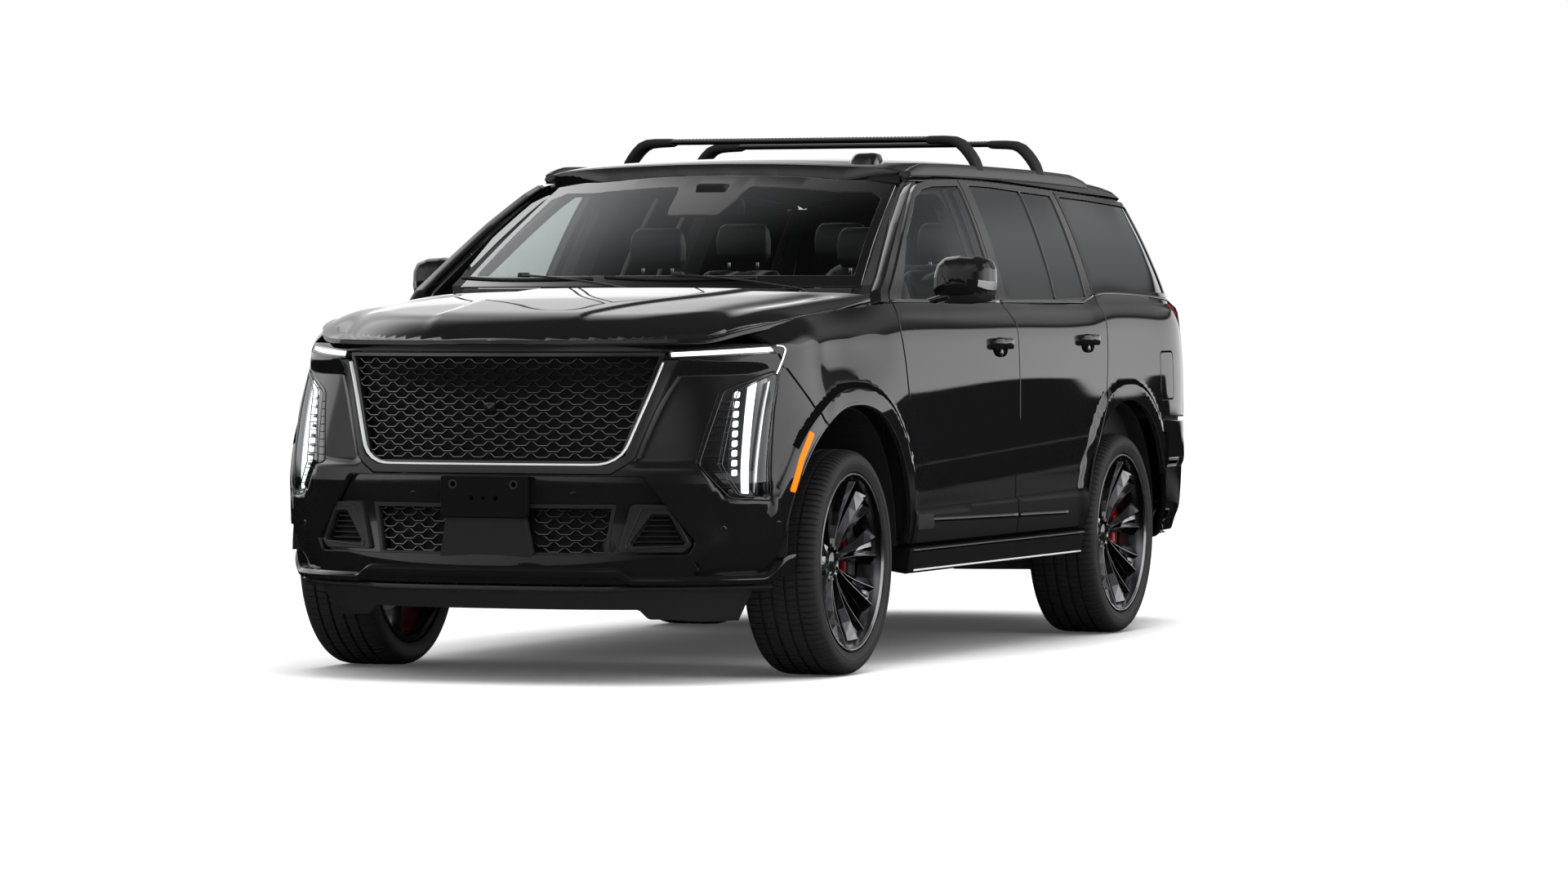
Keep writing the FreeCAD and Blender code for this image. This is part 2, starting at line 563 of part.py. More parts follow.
def build_top():
    # roof skin
    xs = [i / 30 for i in range(-30, 31)]
    rows = []
    for y in lin(-446, 2215, 40):
        zg = DT_Y(max(y, -275)) + 8
        xg = cabin_x(y, zg)
        dense = []
        for i in range(401):
            u = i / 400
            x = xg * (1 - (1 - u) ** 1.6)
            dense.append((x, roof_z(x, y)))
        s = [0.0]
        for p, q in zip(dense, dense[1:]):
            s.append(s[-1] + math.dist(p, q))
        half, j = [], 0
        for k in range(31):
            d = s[-1] * k / 30
            while j < len(s) - 2 and s[j + 1] < d:
                j += 1
            u = (d - s[j]) / max(s[j + 1] - s[j], 1e-9)
            half.append((dense[j][0] + (dense[j + 1][0] - dense[j][0]) * u, dense[j][1] + (dense[j + 1][1] - dense[j][1]) * u))
        rows.append([V(-x, y, z) for x, z in reversed(half)] + [V(x, y, z) for x, z in half[1:]])
    skin = bs_face(rows).extrude(V(0, 0, -26))
    side = [(-446, 2100), (-446, 1815)] + [(y, DT_Y(max(y, -275)) + 7) for y in lin(-445, 2210, 40)] + [(2210, 2100)]
    roof = skin.common(prism(side, "x", -1000, 1000))
    save("roof", roof)
    # windscreen: between the posts, lying in the raked surface
    rows = []
    for z in lin(1392, 1842, 16):
        xe = 812 - (z - 1392) * 0.29
        rows.append([V(-xe + 2 * xe * k / 28, screen_y(-xe + 2 * xe * k / 28, z), z) for k in range(29)])
    ws = bs_face(rows).extrude(V(0, 11, -4))
    ws = ws.common(box(-900, 900, -1500, -452, 1380, 1900))
    save("windshield", ws)
    # hood
    rows = [[V(x, y, hood_z(x, y)) for x in lin(-915, 915, 70)] for y in lin(-2660, -1150, 66)]
    h = bs_face(rows).extrude(V(0, 0, -SKIN_T))
    h = h.common(prism(HOOD_OUT, "z", 1100, 1600)).cut(box(-900, 900, -2700, -2330, 1100, 1198.5))
    save("hood", h)
    # roof rails and cross bars
    rail = []
    for y in lin(-440, 1690, 30):
        x = 742 - 10 * smooth((y - 900) / 900)
        zt = roof_z(x, y)
        k = min(1, (y + 440) / 160.0, (1690 - y) / 200.0)
        rail.append((y, zt - 6, zt + 6 + 30 * math.sqrt(max(k, 0))))
    po = [(y, zh) for y, zl, zh in rail] + [(y, zl) for y, zl, zh in reversed(rail)]
    r = prism(po, "x", 722, 756)
    save("roof_rails", both(r.cut(roof)))
    bars = []
    for y in (351.0, 1074.0):
        c = box(-640, 640, y - 40, y + 40, 1966, 1990)
        feet = []
        for sx in (-1, 1):
            p = [(sx * 560, 1990), (sx * 700, 1975), (sx * 752, 1900), (sx * 758, 1840), (sx * 720, 1840), (sx * 700, 1890), (sx * 640, 1955), (sx * 560, 1966)]
            feet.append(prism([(x, z) for x, z in p], "y", y - 48, y + 48))
        b = fuse([c] + feet)
        bars.append(b.cut(roof).cut(r).cut(mirror(r)))
    save("cross_bars", [max(b.Solids, key=lambda s: s.Volume) for b in bars])
    return roof


def build_nose():
    # bumper skin wrapped round the nose
    P = wrap_grid(352, 1192, 44, 34, 0, 0, True, -1980)
    Q = wrap_grid(352, 1192, 44, 34, 26, 0, True, -1980)
    sk = thick(P, Q)
    lipf = arch_curve(ARCH_F, 0)
    keep = [(-2800, 340), (-1990, 340), (-1990, 893), (-2023, 917), (-2104, 1017), (-2164, 1103), (-2199, 1170), (-2215, 1199), (-2800, 1199)]
    sk = sk.common(prism(keep, "x", -1300, 1300))
    sk = sk.cut(prism(lipf, "x", 500, 1300)).cut(prism(lipf, "x", -1300, -500))
    grille = [(-617, 1160), (617, 1160), (500, 800), (440, 768), (-440, 768), (-500, 800)]
    lamp = [(919, 1103), (783, 1027), (733, 768), (824, 650), (931, 641)]
    intake = [(-470, 638), (470, 638), (500, 452), (-500, 452)]
    bar = [(624, 1138), (624, 1164), (800, 1174), (924, 1184), (938, 1178), (930, 1154), (800, 1148)]
    sk = sk.cut(prism(grille, "y", -3000, -2200))
    for s in (1, -1):
        sk = sk.cut(prism([(s * x, z) for x, z in lamp], "y", -3000, -2100))
        sk = sk.cut(prism([(s * x, z) for x, z in bar], "y", -3000, -2100))
    sk = sk.cut(prism(intake, "y", -3000, -2200))
    save("front_bumper", [max(sk.Solids, key=lambda s: s.Volume)])
    # grille and lower intake
    P = wrap_grid(440, 1170, 20, 24, 22, 0, True, -2300)
    Q = wrap_grid(440, 1170, 20, 24, 52, 0, True, -2300)
    g = thick(P, Q)
    a = g.common(prism(inset(grille, -3), "y", -3000, -2200))
    b = g.common(prism(inset(intake, -10), "y", -3000, -2200))
    save("grille", [a.cut(sk), b.cut(sk)])
    P = wrap_grid(600, 1190, 24, 34, 2, 0, True, -2120)
    Q = wrap_grid(600, 1190, 24, 34, 46, 0, True, -2120)
    g = thick(P, Q)
    lamps = []
    cutk = [(-2800, 560), (-2120, 560), (-2120, 1060), (-2172, 1103), (-2207, 1170), (-2222, 1199), (-2800, 1199)]
    g = g.common(prism(cutk, "x", -1300, 1300))
    g = g.cut(prism(arch_curve(ARCH_F, 4), "x", -1100, 1100))
    for s in (1, -1):
        lamps.append(g.common(prism([(s * x, z) for x, z in inset(lamp, 0.6)], "y", -3000, -2100)))
        lamps.append(g.common(prism([(s * x, z) for x, z in inset(bar, 0.6)], "y", -3000, -2100)))
    save("headlamps", [max(l.Solids, key=lambda s: s.Volume) for l in lamps])
    # licence plate bracket, splitter and air dam
    br = prism([(-165, 588), (165, 588), (165, 726), (-165, 726)], "y", -2691, -2648).cut(sk)
    for x, z in ((-116, 700), (116, 700), (-46, 652), (46, 652)):
        br = br.cut(cyl((x, -2700, z), (0, 1, 0), 4, 16))
    sp_out = wrap_grid(300, 396, 5, 34, -8, 0, True, -2140)
    sp_in = wrap_grid(300, 396, 5, 34, 150, 0, True, -2140)
    sp = thick(sp_out, sp_in).common(box(-1100, 1100, -2800, -2216, 318, 350))
    save("splitter", sp)
    save("plate_bracket", max(br.Solids, key=lambda s: s.Volume))


def build_tail():
    P = wrap_grid(388, 862, 26, 34, 0, 0, False, 1890)
    Q = wrap_grid(388, 862, 26, 34, 30, 0, False, 1890)
    sk = thick(P, Q)
    lipr = arch_curve(ARCH_R, 0)
    sk = sk.cut(prism(lipr, "x", 500, 1300)).cut(prism(lipr, "x", -1300, -500))
    hitch = [(-130, 380), (130, 380), (130, 500), (-130, 500)]
    tgl = [(-660, 700), (660, 700), (660, 900), (-660, 900)]
    sk = sk.cut(prism(hitch, "y", 2300, 2800)).cut(prism(tgl, "y", 2400, 2800))
    for s in (1, -1):
        sk = sk.cut(prism([(s * 596, 380), (s * 800, 380), (s * 790, 436), (s * 606, 436)], "y", 2300, 2800))
    sk = max(sk.Solids, key=lambda s: s.Volume)
    save("rear_bumper", sk)
    # tail lamps in the rear corners
    def ye(t, z):
        return YR + t * (R_Z(z) - YR)
    zs = lin(872, 1745, 30)
    P, Q = [], []
    for z in zs:
        row, row2 = [], []
        for t in lin(0.545, 0.7065, 12):
            y = ye(t, z)
            x = rear_a(z) * (1 - t ** REAR_N) ** (1 / REAR_N)
            row.append(V(x, y, z))
            row2.append(V(x - 24, y - 14, z))
        P.append(row)
        Q.append(row2)
    lamp = thick(P, Q)
    save("tail_lamps", both(lamp))
    # liftgate: skin between the lamps, with the window opening
    P, Q = [], []
    for z in lin(706, 1778, 40):
        row, row2 = [], []
        t1 = 0.718
        xe = rear_a(z) * (1 - t1 ** REAR_N) ** (1 / REAR_N)
        half = []
        for k in range(19):
            half.append(xe * k / 18)
        for x in [-v for v in reversed(half)] + half[1:]:
            row.append(V(x, rear_y(x, z), z))
            row2.append(V(x * 0.86, rear_y(x, z) - 80, z))
        P.append(row)
        Q.append(row2)
    lg = thick(P, Q)
    lower = [(-652, 600), (652, 600), (652, 872), (1000, 872), (1000, 1900), (-1000, 1900), (-1000, 872), (-652, 872)]
    lg = lg.common(prism(lower, "y", 2000, 2800))
    win = [(-690, 1340), (690, 1340), (600, 1730), (-600, 1730)]
    lg = lg.cut(prism(win, "y", 2000, 2800))
    # roof spoiler above the window
    rows = [[V(x, y, ROOF_Y(y) - 30 * (abs(x) / 740) ** 2 - 40 * (abs(x) / 740) ** 10) for x in lin(-650, 650, 30)] for y in lin(2216, 2372, 8)]
    sp = bs_face(rows).extrude(V(0, 0, -70))
    lg = fuse([lg.cut(box(-1000, 1000, 1800, 2217, 1730, 1900)), sp])
    save("liftgate", max(lg.Solids, key=lambda s: s.Volume))
    P = [[V(x, rear_y(x, z) - 12, z) for x in lin(-700, 700, 24)] for z in lin(1320, 1750, 14)]
    gl = bs_face(P).extrude(V(0, -6, 0)).common(prism(inset(win, 0.5), "y", 2000, 2800))
    save("liftgate_glass", gl)


def build_wheels():
    def rim(xc):
        # barrel, spokes, hub and brake disc of a left-hand wheel centred on xc
        b = [(xc - 132, 300), (xc - 128, 322), (xc - 118, 322), (xc - 108, 306), (xc + 100, 306), (xc + 112, 318), (xc + 128, 322), (xc + 135, 322), (xc + 133, 309), (xc + 122, 300), (xc + 60, 292), (xc - 108, 292)]
        barrel = revolve_x(b, xc, 0, AXLE_Z)
        hub = revolve_x([(xc + 10, 0), (xc + 10, 92), (xc + 52, 92), (xc + 66, 72), (xc + 72, 40), (xc + 60, 36), (xc + 60, 0)], xc, 0, AXLE_Z)
        disc = revolve_x([(xc - 34, 0), (xc - 34, 205), (xc - 4, 205), (xc - 4, 110), (xc + 14, 90), (xc + 14, 0)], xc, 0, AXLE_Z)
        sp = []
        for i in range(20):
            pts = [V(xc + 20, -9, AXLE_Z + 70), V(xc + 60, -9, AXLE_Z + 70), V(xc + 118, -9, AXLE_Z + 303), V(xc + 86, -9, AXLE_Z + 303)]
            pts.append(pts[0])
            s = Part.Face(Part.makePolygon(pts)).extrude(V(0, 18, 0))
            s.rotate(V(xc, 0, AXLE_Z), V(1, 0, 0), i * 18 + (3.2 if i % 2 else -3.2))
            sp.append(s)
        return fuse([barrel, hub, disc] + sp)
    def tyre(xc):
        p = [(xc - 133, 324), (xc - 140, 345), (xc - 142.5, 362), (xc - 136, 385), (xc - 118, 400), (xc - 95, 404.4), (xc, 405), (xc + 95, 404.4), (xc + 118, 400), (xc + 136, 385), (xc + 142.5, 362), (xc + 140, 345), (xc + 135, 324), (xc + 112, 322), (xc + 98, 308), (xc - 106, 308), (xc - 116, 324)]
        return revolve_x(p, xc, 0, AXLE_Z)
    r, t = rim(TRACK_X), tyre(TRACK_X)
    for name, y in (("front", Y_F), ("rear", Y_R)):
        for side in ("left", "right"):
            for kind, s in (("rim", r), ("tyre", t)):
                q = s.copy()
                q.translate(V(0, y, 0))
                if side == "right":
                    q = mirror(q)
                save(f"{kind}_{name}_{side}", q)


def build_chassis():
    side = [(-2380, 440), (-2380, 560), (-1450, 560), (-1150, 470), (800, 470), (1100, 536), (2500, 536), (2500, 458), (1100, 458), (800, 350), (-1150, 350), (-1450, 440)]
    rails = [prism(side, "x", *((345, 405) if s > 0 else (-405, -345))) for s in (1, -1)]
    cross = [box(-360, 360, y - 35, y + 35, z0, z1) for y, z0, z1 in ((-2340, 440, 520), (-1980, 440, 512), (-1300, 296, 372), (-600, 348, 378), (100, 360, 440), (850, 366, 440), (1750, 458, 536), (2440, 458, 536))]
    hitch = box(-32, 32, 2420, 2655, 428, 492)
    save("chassis_frame", fuse(rails + cross + [hitch]).cut(box(-25.4, 25.4, 2430, 2700, 434.6, 485.4)))
    save("engine_block", box(-330, 330, -2180, -1420, 522, 1150))
    # gearbox, transfer case, propeller shaft, differentials and half shafts
    gear = fuse([cyl((0, -1414, 500), (0, 1, 0), 118, 660), box(-130, 130, -800, -480, 385, 600), cyl((0, -480, 490), (0, 1, 0), 36, 1650), cyl((-150, 1371, 430), (1, 0, 0), 98, 300), cyl((0, 1150, 470), (0, 1, -0.1), 60, 120)])
    fdf = fuse([cyl((-120, Y_F, AXLE_Z), (1, 0, 0), 88, 240), rod((120, Y_F, AXLE_Z), (690, Y_F, AXLE_Z), 22), rod((-120, Y_F, AXLE_Z), (-690, Y_F, AXLE_Z), 22)])
    save("driveline", [gear, fdf])
    # front suspension: arms, spring struts and their towers, and the steering rack
    fs = []
    for s in (1, -1):
        arm = prism([(s * x, y) for x, y in ((410, -1880), (748, -1718), (748, -1682), (410, -1500), (410, -1545), (640, -1682), (640, -1716), (410, -1835))], "z", 268, 300)
        up = prism([(s * x, y) for x, y in ((400, -1830), (748, -1716), (748, -1684), (400, -1570), (400, -1606), (660, -1690), (660, -1710), (400, -1794))], "z", 600, 622)
        strut = fuse([rod((s * 480, -1760, 284), (s * 440, -1760, 900), 24), rod((s * 464, -1760, 520), (s * 442, -1760, 870), 48)])
        tower = fuse([box(*((345, 405) if s > 0 else (-405, -345)), -1800, -1720, 560, 905), box(*((345, 500) if s > 0 else (-500, -345)), -1800, -1720, 880, 905)])
        fs.append(fuse([arm, strut, tower, up]))
    save("front_suspension", fs + [cyl((-330, -1470, 345), (1, 0, 0), 26, 660)])
    rs = []
    for s in (1, -1):
        arm = prism([(s * x, y) for x, y in ((340, 1190), (340, 1560), (400, 1560), (790, 1440), (790, 1310), (400, 1190))], "z", 255, 300)
        car = fuse([box(*((740, 800) if s > 0 else (-800, -740)), 1290, 1450, 250, 520), cyl((s * 740, Y_R, AXLE_Z), (s, 0, 0), 60, 88)])
        spring = rod((s * 470, 1380, 290), (s * 470, 1380, 534), 54)
        shaft = rod((s * 156, Y_R, 425), (s * 745, Y_R, AXLE_Z), 24)
        rs.append(fuse([arm, car, spring, shaft]))
    save("rear_suspension", fuse(rs + [box(-380, 380, 1190, 1250, 290, 340), box(-380, 380, 1500, 1560, 290, 340)]))
    for s, name in ((1, "left"), (-1, "right")):
        bx = lambda x0, x1, *r: box(*((x0, x1) if s > 0 else (-x1, -x0)), *r)
        k = fuse([bx(790, 822, -1760, -1640, 300, 640), cyl((s * 790, Y_F, AXLE_Z), (s, 0, 0), 62, 40), cyl((s * 780, Y_F, 304), (0, 0, 1), 26, 50), cyl((s * 780, Y_F, 596), (0, 0, 1), 26, 50), bx(760, 815, -1660, -1530, 352, 400)])
        ang = range(-35, 36, 7)
        cal = prism([(Y_F + math.cos(math.radians(a)) * 212, AXLE_Z + math.sin(math.radians(a)) * 212) for a in ang] + [(Y_F + math.cos(math.radians(a)) * 278, AXLE_Z + math.sin(math.radians(a)) * 278) for a in reversed(ang)], "x", *((812, 905) if s > 0 else (-905, -812)))
        save(f"knuckle_{name}", fuse([k, cal, bx(806, 824, Y_F + 40, Y_F + 240, 360, 450)]))
    pipe = fuse([rod((-250, -700, 310), (-250, 1100, 310), 30), box(-400, -150, 250, 800, 256, 342)])
    rear = [fuse([box(*((480, 790) if s > 0 else (-790, -480)), 2160, 2400, 330, 430)] + [cyl((s * x, 2380, 385), (0, 1, 0), 41, e - 2380).cut(cyl((s * x, 2500, 385), (0, 1, 0), 37, 300)) for x, e in ((650, 2604), (745, 2560))]) for s in (1, -1)]
    save("exhaust", [pipe] + rear)
    # arch liners
    lin_ = []
    for A in (ARCH_F, ARCH_R):
        o, i = arch_curve(A, -6, 4, 176, 30), arch_curve(A, -12, 4, 176, 30)
        p = prism(o + i[::-1], "x", 560, 960)
        lin_ += both(p)
    save("wheel_liners", lin_)
    rb = []
    s = prism([(962, 338), (1006, 346), (1012, 372), (1004, 430), (900, 436), (880, 400)], "y", -1112, 880)
    save("running_boards", both(s))


def build_cabin():
    tun = prism([(-178, 568), (178, 568), (140, 660), (-140, 660)], "y", -1240, -300).cut(prism([(-164, 530), (164, 530), (125, 648), (-125, 648)], "y", -1260, -320))
    fl = box(-820, 820, -1110, 2362, 540, 566).fuse(box(-516, 516, -1240, -1110, 540, 566))
    fl = fl.cut(prism([(-165, 530), (165, 530), (141, 600), (-141, 600)], "y", -1260, -320))
    house = [(860, 540), (870, 700), (960, 860), (1110, 950), (1400, 985), (1690, 950), (1850, 860), (1940, 700), (1940, 540)]
    hole = [(1922, 540), (1920, 690), (1836, 846), (1680, 934), (1400, 966), (1120, 934), (974, 846), (890, 690), (880, 540)]
    sill = prism([(2366, 540), (2366, 566), (2406, 694), (2590, 694), (2590, 676), (2420, 676), (2384, 540)], "x", -640, 640)
    houses = []
    for s in (1, -1):
        fl = fl.cut(box(*((536, 990) if s > 0 else (-990, -536)), 856, 1946, 500, 700))
        wh = prism(house + hole, "x", *((540, 800) if s > 0 else (-800, -540)))
        houses.append(wh.fuse(prism(house, "x", *((540, 556) if s > 0 else (-556, -540)))).removeSplitter())
    save("floor_pan", [fl.removeSplitter(), tun, sill])
    save("wheelhouses", houses)
    fw = prism([(-1262, 560), (-1262, 1180), (-1290, 1290), (-1276, 1334), (-1168, 1334), (-1168, 1318), (-1258, 1316), (-1246, 1180), (-1246, 560)], "x", -790, 790)
    fw = fw.cut(box(748, 900, -1400, -1100, 1250, 1400)).cut(box(-900, -748, -1400, -1100, 1250, 1400))
    fw = fw.cut(box(532, 900, -1400, -1100, 500, 850)).cut(box(-900, -532, -1400, -1100, 500, 850)).cut(box(-186, 186, -1400, -1100, 500, 664))
    for s in (1, -1):
        bx = lambda x0, x1, *r: box(*((x0, x1) if s > 0 else (-x1, -x0)), *r)
        fw = fw.fuse(bx(520, 532, -1262, -1112, 566, 862)).fuse(bx(520, 800, -1124, -1112, 566, 862)).fuse(bx(520, 790, -1262, -1112, 850, 862))
    save("firewall", fw)
    dash = prism([(-1150, 1300), (-1000, 1322), (-840, 1290), (-800, 1180), (-850, 1060), (-980, 980), (-1150, 980)], "x", -790, 790)
    con = prism([(-940, 668), (-940, 1060), (-850, 1062), (-800, 960), (-500, 900), (-100, 880), (-60, 700), (-60, 572), (-292, 572), (-292, 668)], "x", -150, 150)
    save("dashboard", fuse([dash, con]))
    seats = []
    def seat(x0, x1, y, z):
        base = prism(rounded([(y - 260, z + 20), (y - 270, z + 130), (y + 230, z + 100), (y + 230, z)], 30), "x", x0, x1)
        back = prism(rounded([(y + 150, z + 60), (y + 300, z + 690), (y + 390, z + 690), (y + 300, z + 60)], 30), "x", x0 + 20, x1 - 20)
        head = prism(rounded([(y + 300, z + 700), (y + 310, z + 880), (y + 390, z + 880), (y + 400, z + 680)], 20), "x", (x0 + x1) / 2 - 130, (x0 + x1) / 2 + 130)
        leg = box(x0 + 60, x1 - 60, y - 180, y + 160, 566, z + 60)
        return fuse([base, back, head, leg])
    save("seats", [seat(180, 690, -420, 760), seat(-690, -180, -420, 760), seat(180, 690, 480, 790), seat(-690, -180, 480, 790), seat(-520, 520, 1340, 830)])
    # steering wheel on a raked column
    c = V(430, -640, 1130)
    ring = Part.makeTorus(185, 16, V(0, 0, 0), V(0, 0, 1))
    hubw = Part.makeCylinder(60, 40, V(0, 0, -25))
    spk = [Part.makeBox(180, 36, 16, V(0, -18, -12)) for _ in range(3)]
    for k, s in enumerate(spk):
        s.rotate(V(0, 0, 0), V(0, 0, 1), (0, 180, 270)[k])
    sw = fuse([ring, hubw] + spk)
    sw.rotate(V(0, 0, 0), V(1, 0, 0), -65)
    sw.translate(c)
    save("steering_wheel", sw)
    save("steering_column", rod((430, -900, 1009), (430, -673, 1115), 34).cut(dash))
    # mirrors on the front doors
    head = prism(rounded([(968, 1340), (1180, 1350), (1184, 1440), (1170, 1494), (1010, 1500), (972, 1430)], 26), "y", -790, -655)
    foot = prism([(950, -790), (950, -660), (1010, -680), (1010, -770)], "z", 1290, 1352)
    return fuse([head, foot])


build_sides()
roof_shape = build_top()
build_nose()
build_tail()
build_wheels()
build_chassis()
mir = max(build_cabin().cut(front_door_shape).Solids, key=lambda s: s.Volume)
save("mirror_left", mir)
save("mirror_right", mirror(mir))
print("done", round(time.time() - T0, 1))
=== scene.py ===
# Looks of a full-size SUV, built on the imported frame. Surface functions are in millimetres and repeat the part's own;
# every mesh is made in metres in the same frame.
import bpy, json, math, random
from mathutils import Vector, Matrix, geometry, kdtree, noise
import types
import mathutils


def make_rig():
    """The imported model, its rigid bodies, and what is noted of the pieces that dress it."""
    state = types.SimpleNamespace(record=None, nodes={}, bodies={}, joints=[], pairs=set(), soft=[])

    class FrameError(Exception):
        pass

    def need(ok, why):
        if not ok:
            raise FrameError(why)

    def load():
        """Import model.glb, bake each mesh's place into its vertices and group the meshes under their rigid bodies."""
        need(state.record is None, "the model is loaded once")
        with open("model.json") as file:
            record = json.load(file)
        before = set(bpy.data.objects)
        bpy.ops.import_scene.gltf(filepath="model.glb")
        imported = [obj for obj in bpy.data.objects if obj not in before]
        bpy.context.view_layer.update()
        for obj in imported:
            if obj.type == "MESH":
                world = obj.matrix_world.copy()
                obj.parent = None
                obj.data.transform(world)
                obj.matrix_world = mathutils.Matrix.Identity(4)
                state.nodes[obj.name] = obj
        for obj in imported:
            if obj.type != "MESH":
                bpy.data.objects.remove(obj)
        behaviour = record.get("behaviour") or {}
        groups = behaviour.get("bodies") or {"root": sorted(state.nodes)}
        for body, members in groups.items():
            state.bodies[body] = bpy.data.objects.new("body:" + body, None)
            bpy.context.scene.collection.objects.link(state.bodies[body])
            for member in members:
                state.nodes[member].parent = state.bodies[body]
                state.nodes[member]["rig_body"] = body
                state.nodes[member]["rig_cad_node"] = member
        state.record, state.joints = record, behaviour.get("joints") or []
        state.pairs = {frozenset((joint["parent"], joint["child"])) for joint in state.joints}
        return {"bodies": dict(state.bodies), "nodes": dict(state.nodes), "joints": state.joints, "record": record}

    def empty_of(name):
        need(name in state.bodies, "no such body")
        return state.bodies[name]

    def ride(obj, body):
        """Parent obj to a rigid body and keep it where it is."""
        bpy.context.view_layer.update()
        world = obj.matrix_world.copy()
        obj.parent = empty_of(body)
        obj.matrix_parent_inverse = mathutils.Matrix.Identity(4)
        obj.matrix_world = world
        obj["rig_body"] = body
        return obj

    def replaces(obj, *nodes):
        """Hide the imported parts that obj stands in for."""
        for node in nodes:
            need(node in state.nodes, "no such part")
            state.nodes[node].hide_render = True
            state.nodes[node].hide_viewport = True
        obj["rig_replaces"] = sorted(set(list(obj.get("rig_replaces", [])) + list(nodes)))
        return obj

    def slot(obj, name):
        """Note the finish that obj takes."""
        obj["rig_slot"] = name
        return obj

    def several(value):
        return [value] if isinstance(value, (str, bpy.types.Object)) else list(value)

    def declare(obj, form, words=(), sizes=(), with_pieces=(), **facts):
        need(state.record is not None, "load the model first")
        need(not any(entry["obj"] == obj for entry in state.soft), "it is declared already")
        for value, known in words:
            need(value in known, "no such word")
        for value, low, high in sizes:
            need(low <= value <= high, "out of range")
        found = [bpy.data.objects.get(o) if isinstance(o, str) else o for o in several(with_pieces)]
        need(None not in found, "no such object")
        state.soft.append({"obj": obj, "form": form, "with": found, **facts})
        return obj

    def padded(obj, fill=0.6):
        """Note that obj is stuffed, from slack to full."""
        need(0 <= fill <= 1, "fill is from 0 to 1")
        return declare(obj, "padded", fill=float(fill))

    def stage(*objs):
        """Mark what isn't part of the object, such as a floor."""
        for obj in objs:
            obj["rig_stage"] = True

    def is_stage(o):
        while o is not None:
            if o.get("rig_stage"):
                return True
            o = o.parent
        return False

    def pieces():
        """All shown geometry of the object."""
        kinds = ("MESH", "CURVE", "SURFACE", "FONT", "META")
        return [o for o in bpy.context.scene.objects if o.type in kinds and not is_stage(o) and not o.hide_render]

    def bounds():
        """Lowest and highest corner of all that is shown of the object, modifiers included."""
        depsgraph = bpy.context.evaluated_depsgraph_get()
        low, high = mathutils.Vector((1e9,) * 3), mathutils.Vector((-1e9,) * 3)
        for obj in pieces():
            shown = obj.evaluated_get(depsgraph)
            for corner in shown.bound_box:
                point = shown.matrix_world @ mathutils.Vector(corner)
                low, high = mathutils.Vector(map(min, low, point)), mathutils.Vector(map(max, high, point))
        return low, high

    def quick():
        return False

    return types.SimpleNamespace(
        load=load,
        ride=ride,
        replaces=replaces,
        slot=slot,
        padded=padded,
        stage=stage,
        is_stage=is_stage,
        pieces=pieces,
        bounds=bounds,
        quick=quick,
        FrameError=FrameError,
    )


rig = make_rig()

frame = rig.load()
CAD_LO, CAD_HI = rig.bounds()
random.seed(7)
SC = bpy.context.scene

# ---------------------------------------------------------------- driving dimensions
LENGTH = 5374.0            # overall length
Y_F, Y_R = -1700.0, 1371.0  # front and rear axle lines: 3071 wheelbase
TYRE_R, TYRE_W = 405.0, 285.0
AXLE_Z = TYRE_R
TRACK_X = 870.0            # half track
RIM_R = 322.0              # rim lip radius
Z_SILL = 330.0             # lowest edge of the side
YS, YR = -1900.0, 1850.0   # where the nose and the tail start to round in plan
GAP = 6.0                  # shut line
FUEL = (1853.0, 2036.0, 938.0, 1139.0)   # fuel door: y and z limits
DOOR_T = 110.0             # door thickness
WALL_T = 110.0             # quarter and rocker wall thickness
SKIN_T = 22.0              # fender, hood, bumper thickness
BELT = 1336.0              # top edge of the lower body at the doors
DOOR_F, DOOR_M = -1152.0, 50.0   # front edge of the front door, split between the doors


# ---------------------------------------------------------------- curves
def spline(pts):
    """Natural cubic spline y(x) through pts, straight beyond its ends."""
    xs = [float(p[0]) for p in pts]
    ys = [float(p[1]) for p in pts]
    n = len(xs)
    h = [xs[i + 1] - xs[i] for i in range(n - 1)]
    a, b, c, d = [0.0] * n, [1.0] * n, [0.0] * n, [0.0] * n
    for i in range(1, n - 1):
        a[i], b[i], c[i] = h[i - 1], 2 * (h[i - 1] + h[i]), h[i]
        d[i] = 6 * ((ys[i + 1] - ys[i]) / h[i] - (ys[i] - ys[i - 1]) / h[i - 1])
    for i in range(1, n):
        w = a[i] / b[i - 1]
        b[i] -= w * c[i - 1]
        d[i] -= w * d[i - 1]
    m = [0.0] * n
    m[-1] = d[-1] / b[-1]
    for i in range(n - 2, -1, -1):
        m[i] = (d[i] - c[i] * m[i + 1]) / b[i]
    s0 = (ys[1] - ys[0]) / h[0] - h[0] * (2 * m[0] + m[1]) / 6
    s1 = (ys[-1] - ys[-2]) / h[-1] + h[-1] * (m[-2] + 2 * m[-1]) / 6

    def f(x):
        if x <= xs[0]:
            return ys[0] + s0 * (x - xs[0])
        if x >= xs[-1]:
            return ys[-1] + s1 * (x - xs[-1])
        lo, hi = 0, n - 1
        while hi - lo > 1:
            k = (lo + hi) // 2
            if xs[k] <= x:
                lo = k
            else:
                hi = k
        t0, t1 = (xs[hi] - x), (x - xs[lo])
        g = h[lo]
        return (m[lo] * t0 ** 3 + m[hi] * t1 ** 3) / (6 * g) + (ys[lo] / g - m[lo] * g / 6) * t0 + (ys[hi] / g - m[hi] * g / 6) * t1
    return f


def smooth(t):
    t = 0.0 if t < 0 else 1.0 if t > 1 else t
    return t * t * t * (t * (6 * t - 15) + 10)


# half-width of the lower body by height, before the bulge of the doors
A_Z = spline([(250, 880), (300, 930), (350, 962), (400, 984), (460, 996), (540, 1003), (640, 1008), (760, 1011), (900, 1012), (1040, 1011), (1160, 1006), (1260, 999), (1340, 990), (1420, 982)])
